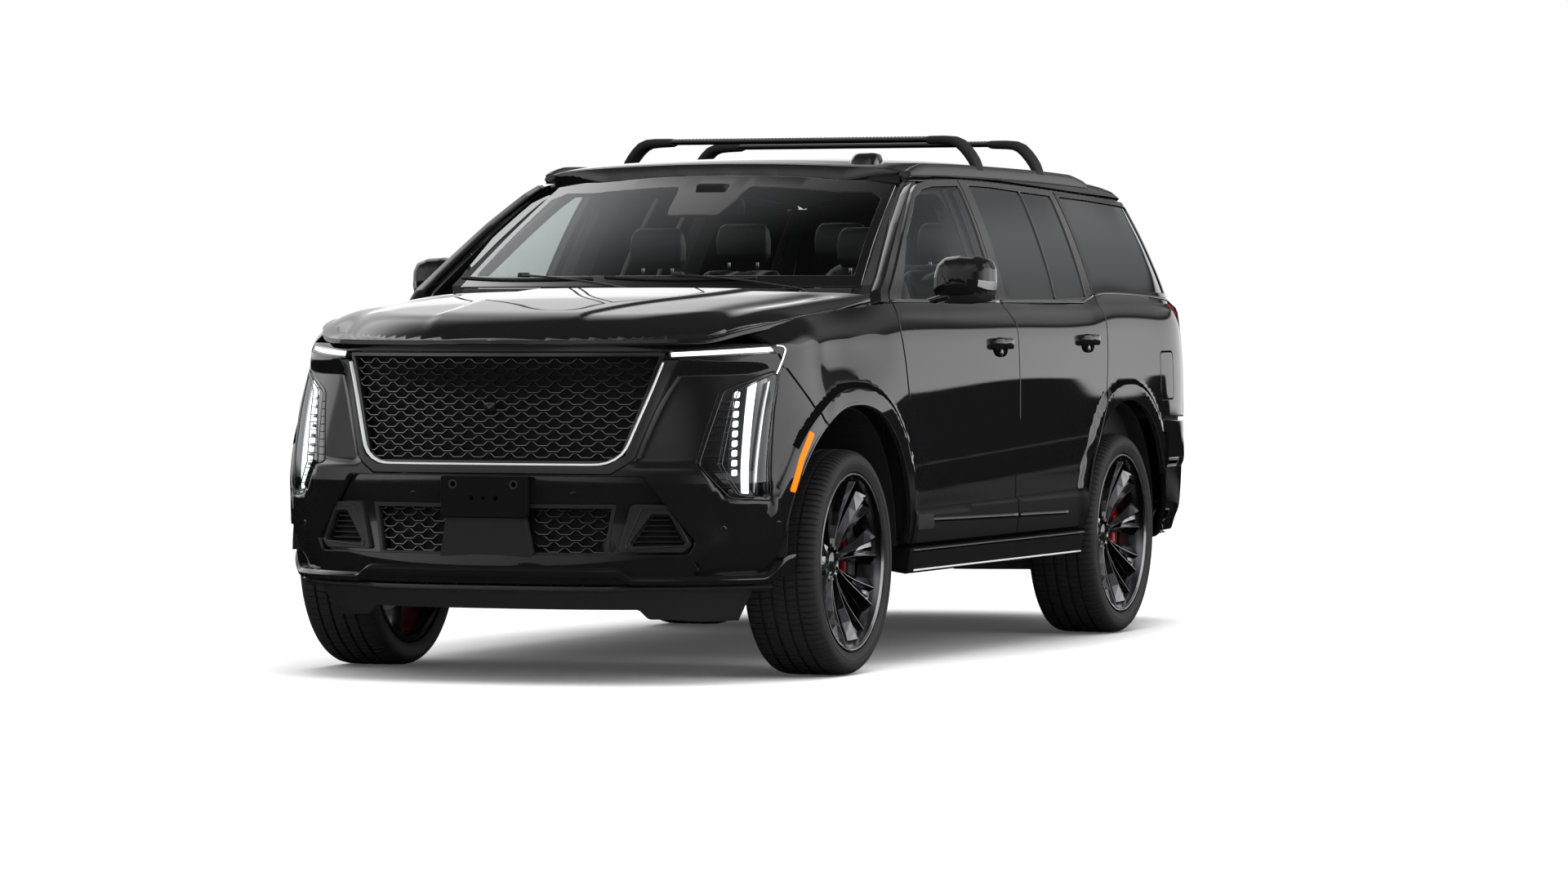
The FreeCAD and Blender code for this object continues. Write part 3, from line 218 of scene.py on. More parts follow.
# nose line on the centre plane, by height
F_Z = spline([(250, -2640), (320, -2660), (400, -2668), (500, -2664), (620, -2662), (720, -2667), (800, -2660), (900, -2650), (1050, -2645), (1160, -2648), (1210, -2636), (1300, -2600)])
# tail line on the centre plane, by height
R_Z = spline([(250, 2600), (350, 2640), (460, 2675), (560, 2687), (680, 2684), (800, 2650), (900, 2640), (1050, 2634), (1200, 2612), (1340, 2572), (1450, 2525), (1600, 2448), (1720, 2378), (1820, 2310)])
# side of the cabin, by height
G_Z = spline([(1300, 980), (1336, 966), (1400, 946), (1500, 911), (1600, 871), (1700, 825), (1760, 794), (1800, 770), (1840, 742)])
# roof and hood on the centre plane
ROOF_Y = spline([(-700, 1800), (-560, 1849), (-440, 1872), (-200, 1893), (200, 1905), (700, 1904), (1200, 1894), (1700, 1874), (2100, 1848), (2350, 1826)])
HOOD_Y = spline([(-2700, 1256), (-2600, 1272), (-2450, 1291), (-2250, 1312), (-2000, 1336), (-1700, 1358), (-1400, 1377), (-1150, 1391)])
# top edge of the lower body side, by length
B_Y = spline([(-2660, 1202), (-2500, 1208), (-2400, 1218), (-2250, 1246), (-2069, 1272), (-1850, 1293), (-1650, 1307), (-1426, 1322), (-1250, 1332), (-1100, 1336), (-500, 1336), (100, 1336), (860, 1336), (1000, 1345), (1160, 1366), (1360, 1374), (1800, 1366), (2200, 1350), (2500, 1336)])
# top of the side doors, by length
DT_Y = spline([(-1300, 1325), (-1163, 1375), (-1000, 1474), (-800, 1600), (-600, 1716), (-515, 1761), (-430, 1790), (-275, 1807), (152, 1816), (640, 1808), (1102, 1793), (2086, 1766), (2300, 1760)])

ARCH_F = dict(y=-1690.0, z=405.0, hw=556.0, h=562.0, n=2.25)
ARCH_R = dict(y=1398.0, z=405.0, hw=520.0, h=540.0, n=2.25)


def arch_d(y, z, A):
    """0 at the centre of a wheel arch, 1 on its lip."""
    return (abs((y - A["y"]) / A["hw"]) ** A["n"] + abs(max(z - A["z"], 0) / A["h"]) ** A["n"]) ** (1 / A["n"])


def roll(y, z):
    """How far the shoulder has rounded inwards at (y, z)."""
    d = B_Y(y) - z
    front = 1 - smooth((y + 1900) / 800.0)
    nose = smooth((-2250 - y) / 350.0)
    rx = (34 + 34 * front) * (1 - nose) + 22 * nose
    rz = (150 - 40 * front) * (1 - nose) + 55 * nose
    return rx * ((rz - max(d, 0)) / rz) ** 2.2 if d < rz else 0.0


def front_n(z):
    return 2.52 - 0.42 * smooth((z - 640) / 520.0)


REAR_N = 3.4


def rear_a(z):
    """Half-width where the tail starts to round, by height."""
    k = smooth((z - 1300) / 60.0)
    return A_Z(min(z, 1330)) * (1 - k) + (G_Z(max(z, 1330)) - 12) * k


def flare(y, z):
    out = 0.0
    for A in (ARCH_F, ARCH_R):
        r = arch_d(y, z, A)
        if r < 1.35:
            out += 13.0 * (1 - smooth(((r - 1) * A["h"] - 58) / 36.0)) * smooth((z - 400) / 160.0)
    return out


def side_x(y, z):
    """Outer half-width of the lower body side: plan, shoulder and wheel-arch flares."""
    zz = min(z, 1330)
    a = A_Z(zz)
    r = roll(y, z)
    if y < YS:
        a = a - 34 * smooth((z - 900) / 300.0) - r
        t = (YS - y) / (YS - F_Z(min(z, 1230)) - r)
        n = front_n(z)
        return a * (1 - t ** n) ** (1 / n) + flare(y, z) if t < 1 else 0.0
    if y > YR:
        a = rear_a(z)
        t = (y - YR) / (R_Z(z) - YR)
        return (a - r) * (1 - t ** REAR_N) ** (1 / REAR_N) + flare(y, z) if t < 1 else 0.0
    k = (y - YS) / (YR - YS)
    bulge = 15.0 * (4 * k * (1 - k)) ** 2
    narrow = 34 * smooth((z - 900) / 300.0) * (1 - smooth((y - YS) / 750.0))
    return a + bulge - narrow - r + flare(y, z)


def cabin_x(y, z):
    """Outer half-width of the cabin's side."""
    x = G_Z(z)
    if y < -200:
        x -= 14 * smooth((-200 - y) / 900.0)
    x -= 12 * smooth((y - 900) / 950.0)
    if y > YR:
        t = (y - YR) / (R_Z(z) - YR)
        x = x * (max(1 - t ** REAR_N, 0)) ** (1 / REAR_N)
    return x


def front_y(x, z):
    """y of the nose at (x, z)."""
    n = front_n(z)
    y = -2500.0
    for _ in range(3):
        r = roll(y, z)
        a = A_Z(z) - 34 * smooth((z - 900) / 300.0) - r
        L = YS - F_Z(min(z, 1230)) - r
        y = YS - L * max(1 - (abs(x) / a) ** n, 0) ** (1 / n)
    return y


def rear_y(x, z):
    """y of the tail at (x, z)."""
    return YR + (R_Z(z) - YR) * max(1 - (abs(x) / rear_a(z)) ** REAR_N, 0) ** (1 / REAR_N)


def _edge_table():
    """The outline of the hood and fender tops, by direction from (0, YS) at the nose."""
    tab = []
    for i in range(241):
        z = 1203.0
        th = math.pi / 2 * i / 240
        # start from the plan curve at this direction and settle on the height of the edge there
        y = YS - 700 * math.cos(th)
        for _ in range(12):
            z = B_Y(y)
            r = roll(y, z)
            n = front_n(z)
            a = A_Z(z) - 34 - r
            L = YS - F_Z(min(z, 1230)) - r
            k = (abs(math.sin(th) / a) ** n + abs(math.cos(th) / L) ** n) ** (-1 / n)
            y = YS - k * math.cos(th)
        tab.append((k, z))
    return tab


EDGE = _edge_table()


def edge_at(x, y):
    """Distance inwards from the outline of the hood and fenders along a ray, the outline's point there and its height."""
    ax = abs(x)
    if y >= YS:
        z = B_Y(y)
        xe = side_x(y, z) - flare(y, z)
        return xe - ax, xe, y, z
    r = math.hypot(ax, YS - y)
    th = math.atan2(ax, YS - y)
    f = th / (math.pi / 2) * 240
    i = min(int(f), 239)
    k = EDGE[i][0] + (EDGE[i + 1][0] - EDGE[i][0]) * (f - i)
    z = EDGE[i][1] + (EDGE[i + 1][1] - EDGE[i][1]) * (f - i)
    return k - r, k * math.sin(th), YS - k * math.cos(th), z


def crown(x, y):
    base = HOOD_Y(y) - 26 * (abs(x) / 900.0) ** 2.2
    w = 250 + 150 * smooth((y + 2600) / 1300.0)          # half-width of the raised centre
    return base + 9 * (1 - smooth((abs(x) - w) / 60.0)) * smooth((y + 2620) / 250.0)


def hood_z(x, y):
    d, xe, ye, ze = edge_at(x, y)
    R = 170.0
    z = crown(x, y)
    if d < R:
        z += (ze - crown(xe, ye)) * ((R - max(d, 0)) / R) ** 2.4
    return z


def roof_z(x, y):
    zg = DT_Y(max(y, -275)) + 8
    xg = cabin_x(y, zg)
    t = min(abs(x) / xg, 1.02)
    R = ROOF_Y(y)
    return R - 30 * t ** 2 - (R - 30 - zg) * t ** 16


def screen_y(x, z):
    """The windscreen's outer surface: y by height, swept back towards the pillars."""
    return -1262 + (z - 1392) * 1.86 + 150 * (abs(x) / 820.0) ** 2.4 - 26 * math.sin(math.pi * min(max((z - 1392) / 420.0, 0), 1))


def rounded(pts, r):
    """Outline with its corners rounded by short chords. r is one radius or one for each point."""
    n, out = len(pts), []
    for i, p in enumerate(pts):
        a, b = pts[i - 1], pts[(i + 1) % n]
        ri = r[i] if isinstance(r, (list, tuple)) else r
        da, db = math.dist(a, p), math.dist(b, p)
        if ri <= 0 or min(da, db) < 1e-6:
            out.append(p)
            continue
        ua, ub = ((a[0] - p[0]) / da, (a[1] - p[1]) / da), ((b[0] - p[0]) / db, (b[1] - p[1]) / db)
        ang = math.acos(max(-1, min(1, ua[0] * ub[0] + ua[1] * ub[1])))
        t = min(ri / max(math.tan(ang / 2), 1e-3), da * 0.48, db * 0.48)
        A = (p[0] + ua[0] * t, p[1] + ua[1] * t)
        B = (p[0] + ub[0] * t, p[1] + ub[1] * t)
        k = 5
        for j in range(k + 1):
            s = j / k
            out.append(((1 - s) ** 2 * A[0] + 2 * s * (1 - s) * p[0] + s * s * B[0], (1 - s) ** 2 * A[1] + 2 * s * (1 - s) * p[1] + s * s * B[1]))
    return out


def inset(pts, d):
    """Outline moved inwards by d (outwards when negative); works for gently shaped loops."""
    n = len(pts)
    area = sum(pts[i - 1][0] * pts[i][1] - pts[i][0] * pts[i - 1][1] for i in range(n))
    sgn = 1 if area > 0 else -1
    out = []
    for i, p in enumerate(pts):
        a, b = pts[i - 1], pts[(i + 1) % n]
        e1, e2 = (p[0] - a[0], p[1] - a[1]), (b[0] - p[0], b[1] - p[1])
        l1, l2 = math.hypot(*e1) or 1, math.hypot(*e2) or 1
        n1, n2 = (-e1[1] / l1 * sgn, e1[0] / l1 * sgn), (-e2[1] / l2 * sgn, e2[0] / l2 * sgn)
        m = (n1[0] + n2[0], n1[1] + n2[1])
        k = m[0] * n1[0] + m[1] * n1[1]
        k = d / max(k, 0.4)
        out.append((p[0] + m[0] * k, p[1] + m[1] * k))
    return out


def arch_curve(A, grow, a0=-12, a1=192, n=34):
    """Points along a wheel arch from its front foot over the top to its rear foot, grown by a distance."""
    out = []
    for i in range(n):
        t = math.radians(a0 + (a1 - a0) * i / (n - 1))
        c, s = -math.cos(t), math.sin(t)
        hw, h = A["hw"] + grow, A["h"] + grow
        if s < 0:
            out.append((A["y"] + c * hw, A["z"] + s * h))
            continue
        r = (abs(c / hw) ** A["n"] + abs(s / h) ** A["n"]) ** (-1 / A["n"])
        out.append((A["y"] + c * r, A["z"] + s * r))
    return out




# ---------------------------------------------------------------- materials
def lin_(a, b, n):
    return [a + (b - a) * i / (n - 1) for i in range(n)]


def new_mat(name):
    m = bpy.data.materials.new(name)
    m.use_nodes = True
    nt = m.node_tree
    b = nt.nodes["Principled BSDF"]
    return m, nt, b


def principled(name, color, rough=0.4, metal=0.0, coat=0.0, spec=0.5, emit=None, strength=0.0, bump=None, coat_rough=0.03):
    """bump is (scale, strength, distance, kind) with kind noise, weave, grain or voronoi."""
    m, nt, b = new_mat(name)
    b.inputs["Base Color"].default_value = (*color, 1)
    b.inputs["Roughness"].default_value = rough
    b.inputs["Metallic"].default_value = metal
    b.inputs["Coat Weight"].default_value = coat
    b.inputs["Coat Roughness"].default_value = coat_rough
    b.inputs["Specular IOR Level"].default_value = spec
    if emit:
        b.inputs["Emission Color"].default_value = (*emit, 1)
        b.inputs["Emission Strength"].default_value = strength
    if bump:
        scale, st, dist, kind = bump
        tc = nt.nodes.new("ShaderNodeTexCoord")
        if kind in ("noise", "grain"):
            tx = nt.nodes.new("ShaderNodeTexNoise")
            tx.inputs["Detail"].default_value = 3
        elif kind == "voronoi":
            tx = nt.nodes.new("ShaderNodeTexVoronoi")
        else:
            tx = nt.nodes.new("ShaderNodeTexWave")
            tx.inputs["Distortion"].default_value = 1.5
        tx.inputs["Scale"].default_value = scale
        nt.links.new(tc.outputs["Object"], tx.inputs["Vector"])
        bp = nt.nodes.new("ShaderNodeBump")
        bp.inputs["Strength"].default_value = st
        bp.inputs["Distance"].default_value = dist
        out = tx.outputs["Distance"] if kind == "voronoi" else tx.outputs[0]
        nt.links.new(out, bp.inputs["Height"])
        nt.links.new(bp.outputs["Normal"], b.inputs["Normal"])
        # a slight variation of roughness with the same grain
        mr = nt.nodes.new("ShaderNodeMapRange")
        mr.inputs["To Min"].default_value = max(rough - 0.06, 0.02)
        mr.inputs["To Max"].default_value = min(rough + 0.08, 1)
        nt.links.new(out, mr.inputs["Value"])
        nt.links.new(mr.outputs["Result"], b.inputs["Roughness"])
    return m


def paint_mat():
    """Black paint under a clear coat, with a very fine orange peel and flake."""
    m, nt, b = new_mat("black_paint")
    b.inputs["Metallic"].default_value = 0.0
    b.inputs["Roughness"].default_value = 0.28
    b.inputs["Specular IOR Level"].default_value = 0.0
    b.inputs["Coat Weight"].default_value = 1.0
    b.inputs["Coat Roughness"].default_value = 0.02
    tc = nt.nodes.new("ShaderNodeTexCoord")
    vo = nt.nodes.new("ShaderNodeTexVoronoi")
    vo.inputs["Scale"].default_value = 2200
    nt.links.new(tc.outputs["Object"], vo.inputs["Vector"])
    ramp = nt.nodes.new("ShaderNodeValToRGB")
    ramp.color_ramp.elements[0].color = (0.0035, 0.0035, 0.0038, 1)
    ramp.color_ramp.elements[1].color = (0.0075, 0.0075, 0.008, 1)
    nt.links.new(vo.outputs["Distance"], ramp.inputs["Fac"])
    nt.links.new(ramp.outputs["Color"], b.inputs["Base Color"])
    no = nt.nodes.new("ShaderNodeTexNoise")
    no.inputs["Scale"].default_value = 260
    nt.links.new(tc.outputs["Object"], no.inputs["Vector"])
    bp = nt.nodes.new("ShaderNodeBump")
    bp.inputs["Strength"].default_value = 0.012
    bp.inputs["Distance"].default_value = 0.0005
    nt.links.new(no.outputs["Fac"], bp.inputs["Height"])
    nt.links.new(bp.outputs["Normal"], b.inputs["Coat Normal"])
    return m


def glass_mat(name, tint, rough=0.0, edge=1.0, fac0=0.0, noise_amt=0.0):
    """Clear or tinted pane: what is behind shows through the tint, and the surface reflects by Fresnel."""
    m, nt, b = new_mat(name)
    out = nt.nodes["Material Output"]
    tr = nt.nodes.new("ShaderNodeBsdfTransparent")
    tr.inputs["Color"].default_value = (*tint, 1)
    b.inputs["Roughness"].default_value = rough
    b.inputs["Metallic"].default_value = 1.0
    b.inputs["Base Color"].default_value = (0.95, 0.97, 1.0, 1)
    fr = nt.nodes.new("ShaderNodeFresnel")
    fr.inputs["IOR"].default_value = 1.5
    mul = nt.nodes.new("ShaderNodeMath")
    mul.operation = "MULTIPLY_ADD"
    mul.inputs[1].default_value = edge
    mul.inputs[2].default_value = fac0
    nt.links.new(fr.outputs["Fac"], mul.inputs[0])
    # only the face turned to the viewer reflects; the far face of the pane lets the light out
    geo = nt.nodes.new("ShaderNodeNewGeometry")
    front = nt.nodes.new("ShaderNodeMath")
    front.operation = "SUBTRACT"
    front.inputs[0].default_value = 1.0
    nt.links.new(geo.outputs["Backfacing"], front.inputs[1])
    both = nt.nodes.new("ShaderNodeMath")
    both.operation = "MULTIPLY"
    both.use_clamp = True
    nt.links.new(mul.outputs["Value"], both.inputs[0])
    nt.links.new(front.outputs["Value"], both.inputs[1])
    mx = nt.nodes.new("ShaderNodeMixShader")
    nt.links.new(both.outputs["Value"], mx.inputs["Fac"])
    nt.links.new(tr.outputs["BSDF"], mx.inputs[1])
    nt.links.new(b.outputs["BSDF"], mx.inputs[2])
    nt.links.new(mx.outputs["Shader"], out.inputs["Surface"])
    return m


M = {}
M["paint"] = paint_mat()
M["gloss"] = principled("gloss_black_moulding", (0.006, 0.006, 0.0065), 0.12, coat=0.7, bump=(120, 0.01, 0.001, "noise"))
M["satin"] = principled("satin_black_moulding", (0.011, 0.011, 0.0115), 0.34, bump=(900, 0.04, 0.001, "grain"))
M["matte"] = principled("grained_black_plastic", (0.012, 0.012, 0.0125), 0.6, spec=0.2, bump=(1400, 0.12, 0.001, "grain"))
M["dark"] = principled("cavity_black", (0.004, 0.004, 0.004), 0.7, bump=(600, 0.05, 0.001, "grain"))
M["liner"] = principled("arch_liner_felt", (0.006, 0.006, 0.006), 0.95, bump=(700, 0.3, 0.002, "noise"))
M["rubber"] = principled("seal_rubber", (0.010, 0.010, 0.010), 0.6, bump=(500, 0.05, 0.001, "noise"))
M["chrome"] = principled("bright_trim", (0.80, 0.80, 0.80), 0.08, metal=1.0, bump=(300, 0.01, 0.0005, "noise"))
M["smoke"] = principled("dark_satin_metal", (0.20, 0.20, 0.205), 0.22, metal=1.0, bump=(400, 0.03, 0.0005, "noise"))
M["wheel"] = principled("gloss_black_alloy", (0.17, 0.17, 0.178), 0.22, metal=1.0, coat=1.0, spec=0.6, bump=(150, 0.015, 0.0006, "noise"))
M["steel"] = principled("brushed_steel", (0.35, 0.35, 0.36), 0.35, metal=1.0, bump=(60, 0.05, 0.001, "weave"))
M["iron"] = principled("cast_metal", (0.06, 0.06, 0.062), 0.55, metal=0.6, bump=(350, 0.35, 0.002, "noise"))
M["framepaint"] = principled("coated_frame_steel", (0.010, 0.010, 0.010), 0.45, bump=(220, 0.12, 0.001, "noise"))
M["disc"] = principled("brake_disc_iron", (0.25, 0.25, 0.26), 0.3, metal=1.0, bump=(90, 0.08, 0.0005, "weave"))
M["caliper"] = principled("red_caliper", (0.25, 0.004, 0.006), 0.35, coat=0.6, bump=(300, 0.05, 0.001, "noise"))
M["leather"] = principled("black_leather", (0.018, 0.018, 0.019), 0.45, spec=0.4, bump=(900, 0.25, 0.0008, "voronoi"))
M["leather2"] = principled("perforated_leather", (0.024, 0.023, 0.023), 0.5, spec=0.35, bump=(420, 0.35, 0.0008, "voronoi"))
M["fabric"] = principled("cloth_grey", (0.10, 0.10, 0.10), 0.95, bump=(900, 0.2, 0.001, "weave"))
M["carpet"] = principled("carpet_black", (0.012, 0.012, 0.012), 1.0, bump=(1200, 0.5, 0.003, "noise"))
M["silver"] = principled("bright_silver_trim", (0.80, 0.80, 0.81), 0.35, metal=0.3, spec=0.8, bump=(400, 0.02, 0.0005, "noise"))
M["clad"] = principled("door_moulding_black", (0.004, 0.004, 0.0042), 0.45, spec=0.06, bump=(900, 0.04, 0.001, "grain"))
# painted shade: near-black without sheen, for the shadow line drawn round the arch flares
M["shadow"] = principled("joint_black", (0.003, 0.003, 0.003), 0.7, spec=0.0, bump=(700, 0.05, 0.001, "noise"))
M["strip"] = principled("satin_trim_metal", (0.085, 0.085, 0.09), 0.3, metal=1.0, bump=(400, 0.03, 0.0005, "noise"))
M["amber"] = principled("amber_lens", (0.95, 0.17, 0.0), 0.3, spec=0.15, emit=(1.0, 0.17, 0.0), strength=0.22, bump=(300, 0.1, 0.001, "weave"))
M["red"] = principled("red_lens", (0.22, 0.003, 0.004), 0.1, coat=1.0, bump=(300, 0.1, 0.001, "weave"))
M["white_light"] = principled("white_light_bar", (0.9, 0.92, 0.95), 0.3, emit=(0.93, 0.96, 1.0), strength=1.05, bump=(400, 0.05, 0.001, "weave"))
M["led"] = principled("led_cell", (0.9, 0.92, 0.95), 0.2, emit=(0.9, 0.95, 1.0), strength=0.9, bump=(500, 0.05, 0.001, "weave"))
M["lens"] = glass_mat("clear_lens", (0.93, 0.94, 0.95), 0.0, 0.9, 0.02)
M["lens2"] = principled("turn_lamp_lens", (0.55, 0.56, 0.58), 0.12, metal=0.6, coat=1.0, bump=(260, 0.1, 0.001, "weave"))
M["glass"] = glass_mat("clear_glass", (0.76, 0.79, 0.78), 0.0, 0.8, 0.0)
M["tint"] = glass_mat("privacy_glass", (0.035, 0.035, 0.038), 0.0, 1.2, 0.01)
M["screen"] = principled("display_panel", (0.004, 0.004, 0.005), 0.12, coat=1.0, bump=(100, 0.01, 0.001, "noise"))
M["mirror"] = principled("mirror_silver", (0.85, 0.86, 0.87), 0.02, metal=1.0, bump=(30, 0.002, 0.0005, "noise"))


def tyre_mat():
    m, nt, b = new_mat("tyre_rubber")
    b.inputs["Base Color"].default_value = (0.011, 0.011, 0.0115, 1)
    b.inputs["Roughness"].default_value = 0.62
    b.inputs["Specular IOR Level"].default_value = 0.35
    tc = nt.nodes.new("ShaderNodeTexCoord")
    no = nt.nodes.new("ShaderNodeTexNoise")
    no.inputs["Scale"].default_value = 160
    no.inputs["Detail"].default_value = 5
    nt.links.new(tc.outputs["Object"], no.inputs["Vector"])
    ramp = nt.nodes.new("ShaderNodeValToRGB")
    ramp.color_ramp.elements[0].color = (0.008, 0.008, 0.0083, 1)
    ramp.color_ramp.elements[1].color = (0.017, 0.017, 0.0175, 1)
    nt.links.new(no.outputs["Fac"], ramp.inputs["Fac"])
    nt.links.new(ramp.outputs["Color"], b.inputs["Base Color"])
    bp = nt.nodes.new("ShaderNodeBump")
    bp.inputs["Strength"].default_value = 0.15
    bp.inputs["Distance"].default_value = 0.0006
    nt.links.new(no.outputs["Fac"], bp.inputs["Height"])
    nt.links.new(bp.outputs["Normal"], b.inputs["Normal"])
    return m


M["tyre"] = tyre_mat()


# ---------------------------------------------------------------- mesh tools
def make(name, verts, faces, body, mat, normals=None, smooth=True, side=1, mats=None, fmat=None, slot=None, rep=()):
    """A mesh object from millimetre points. side -1 mirrors it to the right. normals are per vertex."""
    if side < 0:
        verts = [(-v[0], v[1], v[2]) for v in verts]
        faces = [tuple(reversed(f)) for f in faces]
        if normals:
            normals = [(-n[0], n[1], n[2]) for n in normals]
    me = bpy.data.meshes.new(name)
    me.from_pydata([(v[0] / 1000, v[1] / 1000, v[2] / 1000) for v in verts], [], faces)
    for m in (mats or [mat]):
        me.materials.append(m)
    if fmat:
        me.polygons.foreach_set("material_index", fmat)
    me.polygons.foreach_set("use_smooth", [smooth] * len(me.polygons))
    if normals:
        me.normals_split_custom_set_from_vertices([tuple(n) for n in normals])
    me.update()
    o = bpy.data.objects.new(name, me)
    SC.collection.objects.link(o)
    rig.ride(o, body)
    if slot:
        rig.slot(o, slot)
    if rep:
        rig.replaces(o, *rep)
    return o


def resample(loop, step):
    out = []
    n = len(loop)
    for i in range(n):
        a, b = loop[i], loop[(i + 1) % n]
        d = math.dist(a, b)
        k = max(1, int(math.ceil(d / step)))
        for j in range(k):
            t = j / k
            out.append((a[0] + (b[0] - a[0]) * t, a[1] + (b[1] - a[1]) * t))
    return out


def inside(p, loops):
    c = False
    x, y = p
    for L in loops:
        j = len(L) - 1
        for i in range(len(L)):
            xi, yi = L[i]
            xj, yj = L[j]
            if (yi > y) != (yj > y) and x < (xj - xi) * (y - yi) / (yj - yi) + xi:
                c = not c
            j = i
    return c


def triangulate(loops, step, su=1.0, sv=1.0):
    """Fills the area inside the first loop and outside the others with even triangles."""
    pts, edges, idx = [], [], []
    for L in loops:
        s = len(pts)
        pts += [(p[0] * su, p[1] * sv) for p in L]
        idx.append(list(range(s, s + len(L))))
        edges += [(s + i, s + (i + 1) % len(L)) for i in range(len(L))]
    sl = [[(p[0] * su, p[1] * sv) for p in L] for L in loops]
    kd = kdtree.KDTree(len(pts))
    for i, p in enumerate(pts):
        kd.insert((p[0], p[1], 0), i)
    kd.balance()
    x0, x1 = min(p[0] for p in sl[0]), max(p[0] for p in sl[0])
    y0, y1 = min(p[1] for p in sl[0]), max(p[1] for p in sl[0])
    # scan-line crossings make the inside test quick
    y = y0 + step / 2
    row = 0
    while y < y1:
        xs = []
        for L in sl:
            j = len(L) - 1
            for i in range(len(L)):
                yi, yj = L[i][1], L[j][1]
                if (yi > y) != (yj > y):
                    xs.append((L[j][0] - L[i][0]) * (y - yi) / (yj - yi) + L[i][0])
                j = i
        xs.sort()
        for a, b in zip(xs[::2], xs[1::2]):
            x = math.ceil((a - x0) / step) * step + x0 + (step / 2 if row % 2 else 0)
            while x < b:
                if x > a and kd.find((x, y, 0))[2] > step * 0.55:
                    pts.append((x, y))
                x += step
        y += step * 0.87
        row += 1
    v, e, f, ov, oe, of_ = geometry.delaunay_2d_cdt([Vector(p) for p in pts], edges, [], 0, 1e-4)
    m = {}
    for i, lst in enumerate(ov):
        for k in lst:
            m[k] = i
    keep = []
    for t in f:
        c = (sum(v[i][0] for i in t) / len(t), sum(v[i][1] for i in t) / len(t))
        if inside(c, sl):
            a = sum(v[t[i - 1]][0] * v[t[i]][1] - v[t[i]][0] * v[t[i - 1]][1] for i in range(len(t)))
            if abs(a) > 1e-6:
                keep.append(tuple(t) if a > 0 else tuple(reversed(t)))
    return [(p[0] / su, p[1] / sv) for p in v], keep, [[m[i] for i in L] for L in idx]


def normal_at(surf, u, v, hint, eu=0.6, ev=0.6):
    a = Vector(surf(u + eu, v)) - Vector(surf(u - eu, v))
    b = Vector(surf(u, v + ev)) - Vector(surf(u, v - ev))
    n = a.cross(b)
    if n.length < 1e-9:
        return Vector(hint)
    n.normalize()
    return n if n.dot(Vector(hint)) > 0 else -n


def area_sign(L):
    return sum(L[i - 1][0] * L[i][1] - L[i][0] * L[i - 1][1] for i in range(len(L)))


def panel(name, body, mat, surf, loops, hint, step=22.0, wall=16.0, lip=2.2, round_=1.5, t=0.0, back=None, side=1, su=1.0, sv=1.0, dz=0.0, slot=None, rep=(), wall_mat=None, bstep=None, eu=0.6, ev=0.6, back_mat=None):
    """A pressed panel: the surface inside the loops, a rounded edge that turns in round every loop, and a back face t behind.
    back(p, n) gives the back point for an outer point and its normal."""
    bstep = bstep or step * 0.6
    L0 = [resample(L, bstep) for L in loops]
    dom = []
    for i, L in enumerate(L0):
        ins = lip if i == 0 else -lip
        if su != 1.0 or sv != 1.0:
            q = inset([(p[0] * su, p[1] * sv) for p in L], ins)
            dom.append([(p[0] / su, p[1] / sv) for p in q])
        else:
            dom.append(inset(L, ins))
    pts, tris, rings = triangulate(dom, step, su, sv)
    P, N = [], []
    for u, v in pts:
        n = normal_at(surf, u, v, hint, eu, ev)
        P.append(Vector(surf(u, v)) + n * dz)
        N.append(n)
    # does the domain's orientation agree with the outward normal?
    s_ = 0.0
    for f in tris:
        a, b, c = P[f[0]], P[f[1]], P[f[2]]
        s_ += (b - a).cross(c - a).dot(N[f[0]])
    flip = s_ < 0
    faces = [tuple(reversed(f)) if flip else f for f in tris]
    nmain = len(faces)
    verts, norms = list(P), list(N)
    fm = [0] * nmain
    back_idx = {}
    if back is None and t:
        back = lambda p, n: p - n * t
    if back is not None:
        for i, (p, n) in enumerate(zip(P, N)):
            back_idx[i] = len(verts)
            verts.append(back(p, n))
            norms.append(-n)
        for f in faces[:nmain]:
            faces.append(tuple(back_idx[i] for i in reversed(f)))
            fm.append(2)
    for k, ring in enumerate(rings):
        L = L0[k]
        A, B = [], []
        n_ = len(ring)
        for i, vi in enumerate(ring):
            u, v = L[i]
            du, dv = u - pts[vi][0], v - pts[vi][1]
            p1 = Vector(surf(u, v))
            n = N[vi]
            w = p1 + n * dz - P[vi]
            w = w - n * w.dot(n)
            w = w.normalized() if w.length > 1e-6 else Vector((0, 0, 1))
            A.append(len(verts))
            verts.append(p1 + n * dz - n * round_)
            norms.append((n + w * 1.6).normalized())
            B.append(len(verts))
            verts.append(p1 + n * dz - n * wall)
            norms.append(w)
        for i in range(n_):
            j = (i + 1) % n_
            q = (ring[i], ring[j], A[j], A[i])
            q2 = (A[i], A[j], B[j], B[i])
            a, b, c = (verts[q[0]], verts[q[1]], verts[q[2]])
            fn = (b - a).cross(c - a)
            if fn.dot(norms[A[i]]) < 0:
                q, q2 = tuple(reversed(q)), tuple(reversed(q2))
            faces.append(q)
            fm.append(0)
            faces.append(q2)
            fm.append(1)
            if back is not None:
                q3 = (B[i], B[j], back_idx[ring[j]], back_idx[ring[i]])
                if q2[0] != A[i]:
                    q3 = tuple(reversed(q3))
                faces.append(q3)
                fm.append(2)
    return make(name, verts, faces, body, mat, normals=norms, side=side, mats=[mat, wall_mat or mat, back_mat or mat], fmat=fm, slot=slot, rep=rep)


def S_side(y, z):
    return (side_x(y, z), y, z)


def S_cab(y, z):
    return (cabin_x(y, z), y, z)


